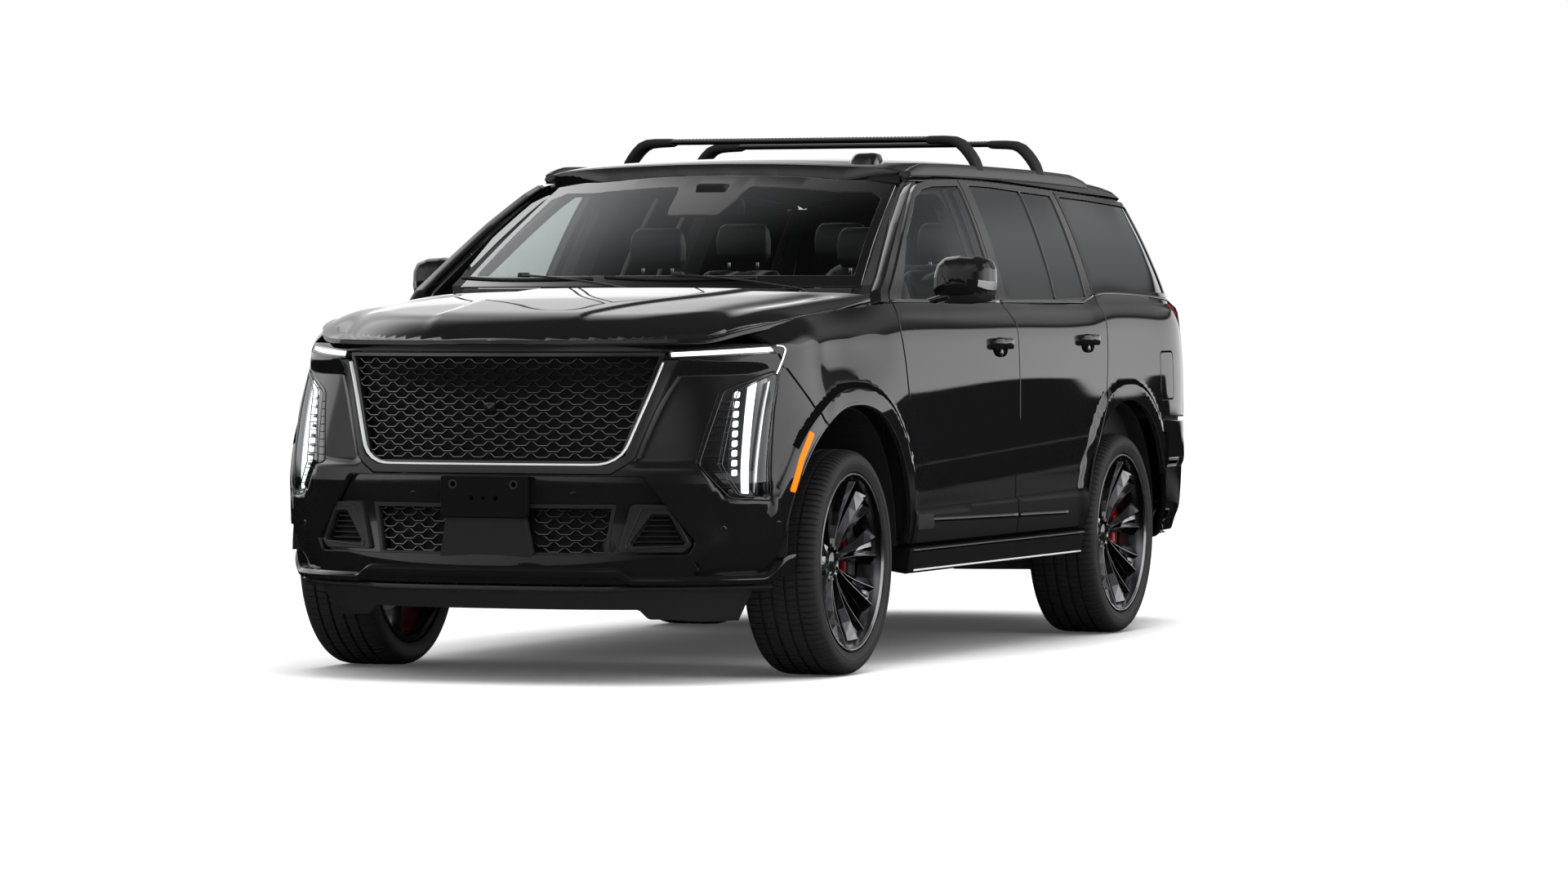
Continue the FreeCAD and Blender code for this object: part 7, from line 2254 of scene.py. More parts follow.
def lamp_edge(t, z):
    return tail_u(rear_a(z) * (1 - t ** REAR_N) ** (1 / REAR_N), z)


for side, nm in ((1, "left"), (-1, "right")):
    a = [(lamp_edge(0.549, z), z) for z in lin_(876, 1741, 44)]
    b = [(lamp_edge(0.703, z), z) for z in lin_(1741, 876, 44)]
    tl = a + b
    panel(f"tail_lamp_lens_{nm}", "body", M["red"], lambda u, z: tail_pt(u, z, 0.6), [tl], (0.7, 0.7, 0), step=16, wall=14, lip=1.4, round_=1.2, side=side, slot="red_lens", bstep=10, rep=("tail_lamps",), **TUK)
    for t, w_, mt in ((0.590, 2.2, "led"), (0.655, 2.2, "led")):
        path = [Vector(tail_pt(lamp_edge(t, z), z, -0.2)) for z in lin_(920, 1700, 40)]
        sweep(f"tail_lamp_guide_{nm}_{int(t * 1000)}", "body", M["smoke"], [tuple(p) for p in path], [(-w_, -1), (w_, -1), (w_ * 0.6, 1.2), (-w_ * 0.6, 1.2)], side=side, up=(0.7, 0.7, 0), slot="steel")
    # trim on the corner post's inner side, behind the lamp
    panel(f"rear_corner_trim_{nm}", "body", M["matte"], lambda u, z: tail_pt(u, z, 38), [[(lamp_edge(0.53, z), z) for z in lin_(880, 1736, 30)] + [(lamp_edge(0.69, z), z) for z in lin_(1736, 880, 30)]], (-0.7, -0.7, 0), step=40, wall=6, lip=1.0, round_=1.0, side=side, slot="matte_black", **TUK)
    # frame of the lamp towards the quarter
    path = [tail_pt(lamp_edge(0.5435, z), z, 1.0) for z in lin_(876, 1741, 50)]
    sweep(f"tail_lamp_frame_{nm}", "body", M["gloss"], path, [(-2, -3), (2, -3), (1.4, 1.4), (-1.4, 1.4)], side=side, up=(0.8, 0.6, 0), slot="gloss_black")

# ---------------------------------------------------------------- rear corners above the bumper, beside the lamps
def S_bump(u, z):
    p = tail_pt(u, z)
    x, y, _ = p
    # facets: a shelf at the top and a tuck towards the lower edge
    k = smooth((690 - z) / 34.0)
    k2 = smooth((500 - z) / 80.0)
    return (x * (1 - 0.010 * k - 0.010 * k2), y - (9 * k + 12 * k2) * smooth((y - 1900) / 200.0), z)


be = [(tail_uy(max(1894, 1398 + 520 * ((1 - min(max(z - 405, 0) / 540.0, 1) ** 2.25) ** (1 / 2.25)) + 2), z), z) for z in lin_(392, 858, 30)]
tn = [(tail_u(664, 858), 858), (tail_u(664, 704), 704)]
loop = be + tn + [(tn[1][0] * (1 - i / 20), 704) for i in range(1, 20)]
loop = loop + [(0.0, 704)] + [(-u, z) for u, z in reversed(loop)]
# lower edge with the exhaust cut-outs and the tow notch
end_u = be[0][0]
seg = []
seg += [(-end_u + (tail_u(-802, 392) + end_u) * i / 16, 392) for i in range(1, 16)]
ex = [(-802, 392), (-792, 438), (-604, 438), (-594, 392), (-134, 392), (-134, 502), (134, 502), (134, 392), (594, 392), (604, 438), (792, 438), (802, 392)]
full = []
for i in range(len(ex) - 1):
    a, b = ex[i], ex[i + 1]
    k = max(1, int(math.dist(a, b) / 24))
    full += [(a[0] + (b[0] - a[0]) * j / k, a[1] + (b[1] - a[1]) * j / k) for j in range(k)]
full.append(ex[-1])
seg += [(tail_u(x, z), z) for x, z in full]
seg += [(tail_u(802, 392) + (end_u - tail_u(802, 392)) * i / 16, 392) for i in range(1, 16)]
loop = loop + seg
panel("rear_bumper_skin", "body", M["paint"], S_bump, [loop], BACK, step=24, wall=24, lip=2.2, round_=1.8, back=lambda p, n: Vector((p.x * 0.98, p.y - 22 if p.y > 2100 else p.y, p.z)), slot="black_paint", rep=("rear_bumper",), bstep=14, **TUK)
# lower valance in grained black with fins, between the pipes
v, f = [], []
for i, x in enumerate(lin_(-584, 584, 120)):
    fin = 10 if (i % 12 in (0, 1)) and abs(x) > 150 else 0
    for z, d in ((394, 30), (398, 12), (430, 4), (470, 0), (512, 2), (540, 8)):
        y = rear_y(x, 460) - 8 - d + (fin if 398 <= z <= 480 else 0)
        if abs(x) < 134 and z < 503:
            y -= 46
        v.append((x, min(y, 2664), z))
m_ = 6
for i in range(119):
    for k in range(m_ - 1):
        f.append((i * m_ + k, (i + 1) * m_ + k, (i + 1) * m_ + k + 1, i * m_ + k + 1))
make("rear_valance", v, f, "body", M["matte"], slot="matte_black")
for side, nm in ((1, "left"), (-1, "right")):
    # reflector low in the corner, a dark line at the lamp's foot with a strip behind it, and parking sensors
    path = [tuple(Vector(S_bump(tail_u(x, 560), 560)) + Vector((0.3, 1.2, 0))) for x in lin_(700, 860, 12)]
    sweep(f"rear_reflector_{nm}", "body", M["red"], path, [(-2, -13), (2, -13), (3, 0), (2, 13), (-2, 13)], side=side, up=(0, 0, 1), slot="red_lens")
    path = [tuple(Vector(tail_pt(tail_uy(y, 868), 868)) + Vector((1.0, 0, 0))) for y in lin_(2060, 2230, 10)]
    back_ = [tuple(tail_pt(tail_uy(y, 863), 863, 22)) for y in lin_(1950, 2250, 14)]
    sweep(f"bumper_joint_back_{nm}", "body", M["matte"], back_, [(-26, -2), (26, -2), (26, 2), (-26, 2)], side=side, up=(1, 0, 0), slot="matte_black")
    sweep(f"bumper_top_line_{nm}", "body", M["matte"], path, [(-3, -3), (1.5, -3), (1.5, 3), (-3, 3)], side=side, up=(0, 0, 1), slot="gloss_black")
    for x in (300, 640):
        p = Vector(S_bump(tail_u(x, 610), 610))
        lathe(f"rear_sensor_{nm}_{x}", "body", M["gloss"], [(-4, 0.5), (-4, 13), (1.0, 12), (1.4, 8), (1.4, 0.5)], (p.x, p.y, p.z), side=side, n=24, axis="y", slot="gloss_black")
    # exhaust tips: rounded bright-black pairs
    for x, e in ((650, 2604), (745, 2560)):
        prof = [(1, 33.4), (3.5, 36.5), (2, 40.5), (-4, 41.9), (-60, 42.2), (-180, 42.2), (-184, 41.3), (-150, 33), (-20, 33)]
        lathe(f"exhaust_tip_{nm}_{x}", "body", M["smoke"], [(e + a - 1, r) for a, r in prof], (x, 0, 385), side=side, n=56, axis="y", slot="steel", deg=50)
        lathe(f"exhaust_bore_{nm}_{x}", "body", M["dark"], [(e - 120, 0.5), (e - 120, 33.2), (e - 118, 33.2), (e - 118, 0.5)], (x, 0, 385), side=side, n=40, axis="y", slot="steel")
# scuff plate on top of the rear bumper
pts = [(-640, 2500), (640, 2500), (640, 2560), (560, 2588), (0, 2608), (-560, 2588), (-640, 2560)]
solid("bumper_step", "body", M["matte"], rounded(pts, 16), "z", 690, 697, bev=2, slot="matte_black")
# hitch mouth ring
v, f = [], []
for y in (2630, 2655):
    for s in (32.0, 25.6):
        v += [(-s, y, 460 - s), (s, y, 460 - s), (s, y, 460 + s), (-s, y, 460 + s)]
for i in range(4):
    j = (i + 1) % 4
    f += [(i, j, 8 + j, 8 + i), (4 + i, 4 + j, 12 + j, 12 + i), (8 + i, 8 + j, 12 + j, 12 + i), (i, j, 4 + j, 4 + i)]
o = make("tow_receiver_mouth", v, f, "body", M["framepaint"], smooth=False, slot="frame_steel")
fix(o)


# ---------------------------------------------------------------- padded seats
def pad_mesh(name, verts, faces, mat, body="body", slot="seat_leather", voxel=0.011, pressure=4.0, cap=24, rep=(), seams=None):
    """A cushion: remeshed, blown up as cloth and capped (in quick mode only subdivided), then its seams are pressed in.
    """
    import bmesh
    me = bpy.data.meshes.new(name)
    me.from_pydata([(v[0] / 1000, v[1] / 1000, v[2] / 1000) for v in verts], [], faces)
    o = bpy.data.objects.new(name, me)
    SC.collection.objects.link(o)
    fix(o)
    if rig.quick():
        m = o.modifiers.new("sub", "SUBSURF")
        m.levels = 3
    else:
        m = o.modifiers.new("remesh", "REMESH")
        m.mode = "VOXEL"
        m.voxel_size = voxel
    o = applied(o)
    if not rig.quick():
        rest = [v.co.copy() for v in o.data.vertices]
        c = o.modifiers.new("cloth", "CLOTH")
        c.settings.use_pressure = True
        c.settings.uniform_pressure_force = pressure
        c.settings.effector_weights.gravity = 0
        c.settings.quality = 3
        c.collision_settings.use_collision = False
        c.settings.tension_stiffness = 30
        c.settings.compression_stiffness = 30
        c.settings.bending_stiffness = 4
        for fr_ in range(1, 13):
            SC.frame_set(fr_)
        dg = bpy.context.evaluated_depsgraph_get()
        new = [v.co.copy() for v in o.evaluated_get(dg).data.vertices]
        o.modifiers.clear()
        for v, a, b in zip(o.data.vertices, rest, new):
            d = b - a
            if d.length > cap / 1000:
                d = d.normalized() * (cap / 1000)
            v.co = a + d
        SC.frame_set(1)
    if seams:
        nrm = [v.normal.copy() for v in o.data.vertices]
        for v, n in zip(o.data.vertices, nrm):
            d = seams(v.co.x * 1000, v.co.y * 1000, v.co.z * 1000)
            if d:
                v.co = v.co - n * d / 1000
    o.data.polygons.foreach_set("use_smooth", [True] * len(o.data.polygons))
    o.data.materials.clear()
    o.data.materials.append(mat)
    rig.ride(o, body)
    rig.slot(o, slot)
    if rep:
        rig.replaces(o, *rep)
    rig.padded(o, 0.7)
    return o


def pad_copy(src, name, off, body="body", slot="seat_leather"):
    """The same cushion in another place."""
    me = src.data.copy()
    me.name = name
    me.transform(Matrix.Translation(Vector(off) / 1000))
    o = bpy.data.objects.new(name, me)
    SC.collection.objects.link(o)
    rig.ride(o, body)
    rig.slot(o, slot)
    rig.padded(o, 0.7)
    return o


def applied(o):
    dg = bpy.context.evaluated_depsgraph_get()
    me = bpy.data.meshes.new_from_object(o.evaluated_get(dg))
    o.modifiers.clear()
    old = o.data
    o.data = me
    me.name = o.name
    bpy.data.meshes.remove(old)
    return o


def seat_cushion(x0, x1, y, z, w=1.0):
    """Outline of a cushion: base cross-section along x with raised side bolsters."""
    v, f = [], []
    # side profile (y, z) going round: front lip down, top, rear, bottom
    prof = [(y - 262, z + 30), (y - 268, z + 90), (y - 248, z + 118), (y - 120, z + 112), (y + 60, z + 100), (y + 205, z + 92), (y + 215, z + 40), (y + 190, z + 12), (y - 200, z + 12)]
    xs = lin_(x0 + 10, x1 - 10, 9)
    n = len(xs)
    for i, x in enumerate(xs):
        t = abs(2 * i / (n - 1) - 1)
        bol = 22 * smooth((t - 0.45) / 0.4) - 26 * smooth((t - 0.9) / 0.1)
        for k, (yy, zz) in enumerate(prof):
            top = 1 if 2 <= k <= 5 else 0
            v.append((x, yy + (y - yy) * 0.04 * smooth((t - 0.85) / 0.15), zz + bol * top - (6 if top else 0)))
    m = len(prof)
    for i in range(n - 1):
        for k in range(m):
            l = (k + 1) % m
            f.append((i * m + k, i * m + l, (i + 1) * m + l, (i + 1) * m + k))
    f.append(tuple(range(m)))
    f.append(tuple(range((n - 1) * m, n * m)))
    return v, f


def seat_back(x0, x1, y, z):
    v, f = [], []
    # rings by height: (z, y front, y back, half-width factor)
    R = [(z + 92, y + 175, y + 300, 0.90), (z + 150, y + 168, y + 318, 0.98), (z + 300, y + 190, y + 338, 1.0), (z + 450, y + 222, y + 356, 0.97), (z + 570, y + 252, y + 370, 0.88), (z + 650, y + 278, y + 380, 0.76), (z + 684, y + 300, y + 384, 0.66)]
    xm, hw = (x0 + x1) / 2, (x1 - x0) / 2 - 24
    n = 13
    for zz, ya, yb, w in R:
        ring = []
        for i in range(n):
            t = -1 + 2 * i / (n - 1)
            bol = 26 * smooth((abs(t) - 0.45) / 0.4) * (1 if zz < z + 600 else 0.3)
            rnd = 30 * max(0, (abs(t) - 0.88) / 0.12) ** 2
            ring.append((xm + t * hw * w, ya - bol + rnd * 0.8, zz))
        for i in range(n):
            t = 1 - 2 * i / (n - 1)
            rnd = 22 * max(0, (abs(t) - 0.88) / 0.12) ** 2
            ring.append((xm + t * hw * w, yb - rnd, zz))
        v += ring
    m = 2 * n
    for k in range(len(R) - 1):
        for i in range(m):
            j = (i + 1) % m
            f.append((k * m + i, k * m + j, (k + 1) * m + j, (k + 1) * m + i))
    f.append(tuple(range(m)))
    f.append(tuple(range((len(R) - 1) * m, len(R) * m)))
    return v, f


def head_rest(xm, y, z, hw=112):
    v, f = [], []
    R = [(z + 712, y + 322, y + 378, 0.84), (z + 740, y + 308, y + 386, 0.97), (z + 800, y + 306, y + 384, 1.0), (z + 850, y + 318, y + 376, 0.92), (z + 868, y + 334, y + 366, 0.78)]
    n = 7
    for zz, ya, yb, w in R:
        for i in range(n):
            t = -1 + 2 * i / (n - 1)
            v.append((xm + t * hw * w, ya + 12 * t * t, zz))
        for i in range(n):
            t = 1 - 2 * i / (n - 1)
            v.append((xm + t * hw * w, yb - 6 * t * t, zz))
    m = 2 * n
    for k in range(len(R) - 1):
        for i in range(m):
            j = (i + 1) % m
            f.append((k * m + i, k * m + j, (k + 1) * m + j, (k + 1) * m + i))
    f.append(tuple(range(m)))
    f.append(tuple(range((len(R) - 1) * m, len(R) * m)))
    return v, f


def groove(v, c, w=5.0, d=5.0):
    return d * max(0.0, 1 - ((v - c) / w) ** 2)


FIRST = {}
SEATS = [("driver", 180, 690, -420, 760), ("passenger", -690, -180, -420, 760), ("second_left", 180, 690, 480, 790), ("second_right", -690, -180, 480, 790)]
for nm, x0, x1, y, z in SEATS:
    xm, hw = (x0 + x1) / 2, (x1 - x0) / 2

    def seam_c(px, py, pz, xm=xm, hw=hw, y=y, z=z):
        if pz < z + 60:
            return 0.0
        a = abs(px - xm)
        d = groove(a, hw * 0.56)
        if a < hw * 0.56:
            d = max(d, *(groove(py, y - 190 + k * 62, 5, 3.5) for k in range(6)))
        return d

    def seam_b(px, py, pz, xm=xm, hw=hw, y=y, z=z):
        if py > y + 290:
            return 0.0
        a = abs(px - xm)
        d = groove(a, hw * 0.54)
        if a < hw * 0.54:
            d = max(d, *(groove(pz, z + 190 + k * 66, 5, 3.5) for k in range(7)))
        return d
    if not FIRST:
        v, f = seat_cushion(x0, x1, y, z)
        FIRST["seat_cushion"] = pad_mesh(f"seat_cushion_{nm}", v, f, M["leather"], rep=("seats",), seams=seam_c)
        v, f = seat_back(x0, x1, y, z)
        FIRST["seat_back"] = pad_mesh(f"seat_back_{nm}", v, f, M["leather"], seams=seam_b)
        v, f = head_rest(xm, y, z)
        FIRST["head_rest"] = pad_mesh(f"head_rest_{nm}", v, f, M["leather"], cap=10)
        x_f, y_f, z_f = xm, y, z
    else:
        for kind, src in FIRST.items():
            pad_copy(src, f"{kind}_{nm}", (xm - x_f, y - y_f, z - z_f))
    for k, dx in enumerate((-62, 62)):
        sweep(f"head_rest_post_{nm}_{k}", "body", M["steel"], [(xm + dx, y + 345, z + 660), (xm + dx, y + 346, z + 745)], [(6 * math.cos(a), 6 * math.sin(a)) for a in lin_(0, 5.5, 10)], up=(1, 0, 0), slot="steel")
    # side covers, rails and base
    sh = rounded([(y - 235, z - 20), (y + 215, z - 20), (y + 250, z + 60), (y + 200, z + 66), (y - 235, z + 22)], 18)
    for k, (a, b) in enumerate(((x0 + 16, x0 + 44), (x1 - 44, x1 - 16))):
        solid(f"seat_side_cover_{nm}_{k}", "body", M["matte"], sh, "x", a, b, bev=8, seg=3, slot="matte_black")
        rail_z = 566
        solid(f"seat_rail_{nm}_{k}", "body", M["framepaint"], rounded([(y - 250, rail_z + 2), (y + 240, rail_z + 2), (y + 240, rail_z + 34), (y - 230, rail_z + 34)], 6), "x", (a + b) / 2 + (40 if k == 0 else -40) - 14, (a + b) / 2 + (40 if k == 0 else -40) + 14, bev=2, slot="frame_steel")
    leg = rounded([(y - 170, 600), (y + 150, 600), (y + 170, z + 14), (y - 190, z + 14)], 16)
    solid(f"seat_base_{nm}", "body", M["matte"], leg, "x", x0 + 62, x1 - 62, bev=10, seg=3, slot="matte_black")

# third row bench in three places
x0, x1, y, z = -520, 520, 1340, 830


def seam_c3(px, py, pz):
    if pz < z + 60:
        return 0.0
    return max(groove(abs(px), 175, 6, 7), groove(py, y - 60, 5, 3), groove(py, y + 60, 5, 3))


def seam_b3(px, py, pz):
    if py > y + 290:
        return 0.0
    return max(groove(abs(px), 175, 6, 7), *(groove(pz, z + 200 + k * 110, 5, 3) for k in range(4)))


v, f = seat_cushion(x0, x1, y, z)
pad_mesh("bench_cushion", v, f, M["leather"], seams=seam_c3)
v, f = seat_back(x0, x1, y, z)
pad_mesh("bench_back", v, f, M["leather"], seams=seam_b3)
for k, xm in enumerate((-340, 340)):
    pad_copy(FIRST["head_rest"], f"bench_head_rest_{k}", (xm - x_f, y - y_f, z - 24 - z_f))
solid("bench_base", "body", M["matte"], rounded([(y - 170, 570), (y + 150, 570), (y + 180, z + 14), (y - 190, z + 14)], 16), "x", -458, 458, bev=10, seg=3, slot="matte_black")

# ---------------------------------------------------------------- dashboard
DP = [(-1150, 1300), (-1000, 1322), (-840, 1290), (-800, 1180), (-850, 1060), (-980, 980), (-1150, 980)]
v, f = [], []
dp = resample(rounded(DP, [10, 60, 46, 40, 40, 20, 10]), 26)
xs = lin_(-788, 788, 46)
for i, x in enumerate(xs):
    t = abs(x) / 788.0
    for yy, zz in dp:
        k = 1 if zz > 1120 else 0
        hump = 0
        dy = 34 * smooth((t - 0.75) / 0.25) * (1 if yy > -1000 else 0)
        cen = -14 * math.exp(-(x / 170.0) ** 2) * (1 if yy > -900 and zz < 1200 else 0)
        v.append((x, yy - dy * 0.5 + cen, zz + hump))
m_ = len(dp)
fm = []
for i in range(len(xs) - 1):
    for k in range(m_):
        l = (k + 1) % m_
        f.append((i * m_ + k, i * m_ + l, (i + 1) * m_ + l, (i + 1) * m_ + k))
        zc = (dp[k][1] + dp[l][1]) / 2
        fm.append(1 if 1120 < zc < 1215 and dp[k][0] > -900 else 0)
f.append(tuple(range(m_)))
f.append(tuple(range((len(xs) - 1) * m_, len(xs) * m_)))
fm += [0, 0]
o = make("dash_pad", v, f, "body", None, mats=[M["leather"], M["leather2"]], fmat=fm, slot="seat_leather", rep=("dashboard",))
fix(o)
sharp(o, 50)
# wide curved display in front of the driver and the middle
v, f = [], []
n = 40
for i in range(n + 1):
    x = 700 - 900 * i / n
    bow = 26 * ((x - 250) / 450.0) ** 2
    yb = -822 - 6 + bow * 0.0 + 22 * (1 - ((x - 250) / 460.0) ** 2)
    h = 84 - 14 * smooth((abs(x - 250) - 260) / 200.0)
    zc = 1276
    for yy, zz in ((yb - 12, zc - h), (yb, zc - h + 5), (yb - 14, zc + h - 30), (yb - 26, zc + h - 34)):
        v.append((x, yy, zz))
for i in range(n):
    for k in range(4):
        l = (k + 1) % 4
        f.append((i * 4 + k, i * 4 + l, (i + 1) * 4 + l, (i + 1) * 4 + k))
f.append((0, 1, 2, 3))
f.append(tuple(n * 4 + k for k in range(4)))
o = make("dash_display", v, f, "body", M["screen"], slot="gloss_black")
fix(o)
bevel(o, 3, 2, 40)
# vents, trim strip, pedals
for k, (xa, xb) in enumerate(((600, 720), (-60, 60), (-200, -90), (-720, -600))):
    for q in range(4):
        z0_ = 1148 + q * 13
        solid(f"dash_vent_slat_{k}_{q}", "body", M["smoke"] if q in (0, 3) else M["matte"], [(xa, z0_), (xb, z0_), (xb, z0_ + 4), (xa, z0_ + 4)], "y", -830, -802 - (14 if abs(xa) < 300 else 0), bev=1, slot="frame_steel")
sweep("dash_trim_strip", "body", M["smoke"], [(x, -803 - 17 * smooth((abs(x) - 591) / 197.0) - 13 * math.exp(-(x / 170.0) ** 2), 1214) for x in lin_(-760, 760, 50)], [(-2, -5), (3, -4), (3, 4), (-2, 5)], slot="frame_steel")
for k, (x, w_) in enumerate(((330, 46), (470, 80))):
    solid(f"pedal_{k}", "body", M["steel"], rounded([(x - w_ / 2, 690 if k == 0 else 740), (x + w_ / 2, 690 if k == 0 else 740), (x + w_ / 2, 850 if k == 0 else 800), (x - w_ / 2, 850 if k == 0 else 800)], 8), "y", -1090, -1078, bev=2, slot="steel")
# console between the seats
CP = [(-900, 668), (-930, 1040), (-860, 1048), (-800, 962), (-500, 902), (-100, 880), (-62, 700), (-66, 578), (-290, 578), (-290, 668)]
solid("console_body", "body", M["matte"], rounded(CP, [4, 10, 20, 50, 60, 40, 20, 10, 4, 4]), "x", -146, 146, bev=12, seg=3, slot="matte_black")
solid("console_lid", "body", M["leather"], rounded([(-420, 884), (-110, 874), (-112, 896), (-140, 914), (-400, 922), (-424, 908)], 10), "x", -138, 138, bev=9, seg=3, slot="seat_leather")
solid("console_panel", "body", M["screen"], rounded([(-120, -790), (120, -790), (116, -470), (-116, -470)], 18), "z", 948, 951, bev=1, slot="gloss_black")
for k, x in enumerate((-58, 58)):
    lathe(f"cup_ring_{k}", "body", M["smoke"], [(0, 38), (0, 44), (5, 44), (5, 38)], (x, -500, 906), n=40, axis="z", slot="frame_steel")
solid("gear_lever", "body", M["leather"], rounded([(-700, 950), (-640, 950), (-646, 1010), (-660, 1026), (-690, 1026), (-704, 1008)], 10), "x", 24, 64, bev=9, seg=3, slot="seat_leather")

# ---------------------------------------------------------------- steering wheel and column
RC = Vector((430, -640, 1130))
RX = Matrix.Rotation(math.radians(-65), 3, "X")


def wheel_obj(name, verts, faces, mat, slot, deg=50, bev=0):
    vv = [tuple(RX @ Vector(p) + RC) for p in verts]
    o = make(name, vv, faces, "steering_wheel", mat, slot=slot)
    fix(o)
    if bev:
        bevel(o, bev, 2, 40)
    return sharp(o, deg)


v, f = [], []
N1, N2 = 88, 14
for i in range(N1):
    a = 2 * math.pi * i / N1
    # slightly flattened at the bottom
    R = 185 - 7 * max(0, -math.sin(a)) ** 6
    th = 15.6 + 1.6 * (abs(math.cos(a)) > 0.82)
    for k in range(N2):
        b = 2 * math.pi * k / N2
        v.append(((R + th * math.cos(b)) * math.cos(a), (R + th * math.cos(b)) * math.sin(a), th * 0.95 * math.sin(b)))
for i in range(N1):
    for k in range(N2):
        f.append((i * N2 + k, ((i + 1) % N1) * N2 + k, ((i + 1) % N1) * N2 + (k + 1) % N2, i * N2 + (k + 1) % N2))
o = wheel_obj("steering_rim", v, f, M["leather"], "seat_leather", 80)
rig.replaces(o, "steering_wheel")
hub = resample(rounded([(-88, 34), (-60, 62), (60, 62), (88, 34), (70, -60), (0, -86), (-70, -60)], 30), 14)
v, f = [], []
n = len(hub)
for zz, s in ((-26, 0.86), (-6, 1.0), (12, 0.95), (20, 0.72), (22, 0.3)):
    v += [(x * s * 0.8, y * s * 0.8, zz) for x, y in hub]
for k in range(4):
    for i in range(n):
        j = (i + 1) % n
        f.append((k * n + i, k * n + j, (k + 1) * n + j, (k + 1) * n + i))
f.append(tuple(range(n)))
f.append(tuple(range(4 * n, 5 * n)))
wheel_obj("steering_hub", v, f, M["leather"], "seat_leather", 70)
for k, (ax, w_, wide) in enumerate(((0, 40, 1), (180, 40, 1), (270, 30, 0))):
    c, s = math.cos(math.radians(ax)), math.sin(math.radians(ax))
    pts = [(44, -w_ / 2 - 6), (174, -w_ / 2 + 6), (174, w_ / 2 - 6), (44, w_ / 2 + 6)]
    vv = [(x * c - y * s, x * s + y * c, zz) for zz in (-9, 5) for x, y in pts]
    ff = [(0, 1, 2, 3), (4, 5, 6, 7)] + [(i, (i + 1) % 4, 4 + (i + 1) % 4, 4 + i) for i in range(4)]
    wheel_obj(f"steering_spoke_{k}", vv, ff, M["gloss"], "gloss_black", 40, 4)
    if wide:
        pts = [(74, -13), (140, -9), (140, 9), (74, 13)]
        vv = [(x * c - y * s, x * s + y * c, zz) for zz in (4, 9) for x, y in pts]
        wheel_obj(f"steering_keys_{k}", vv, ff, M["smoke"], "frame_steel", 40, 2)
ca, cb = Vector((430, -900, 1009)), Vector((430, -676, 1113.6))
path = [tuple(ca.lerp(cb, t)) for t in (0, 0.2, 0.45, 0.7, 0.9, 1.0)]
sweep("column_shroud", "body", M["matte"], path, [(34 * math.cos(a), 33 * math.sin(a)) for a in lin_(0, 2 * math.pi, 25)[:-1]], up=(0, 0, 1), slot="matte_black", rep=("steering_column",))

# ---------------------------------------------------------------- carpet, headliner and pillar trims
def slab(name, body, mat, loops, z, t, slot, step=60, bump=None):
    return panel(name, body, mat, lambda x, y: (x, y, z + (bump(x, y) if bump else 0)), loops, UP, step=step, wall=t, lip=3, round_=2.5, slot=slot, bstep=40)


cp = [(-800, -1100), (-520, -1100), (-508, -1232), (508, -1232), (520, -1100), (800, -1100), (800, 848), (534, 860), (534, 1944), (800, 1950), (800, 2340), (-800, 2340), (-800, 1950), (-534, 1944), (-534, 860), (-800, 848)]
slab("floor_carpet", "body", M["carpet"], [cp, [(-184, -1220), (184, -1220), (184, -296), (-184, -296)]], 569.0, 2.4, "matte_black", bump=lambda x, y: 1.2 * math.sin(x * 0.02) * math.sin(y * 0.017))


def S_liner(x, y):
    return (x, y, roof_z(x, y) - 34 - 24 * (abs(x) / 700.0) ** 6)


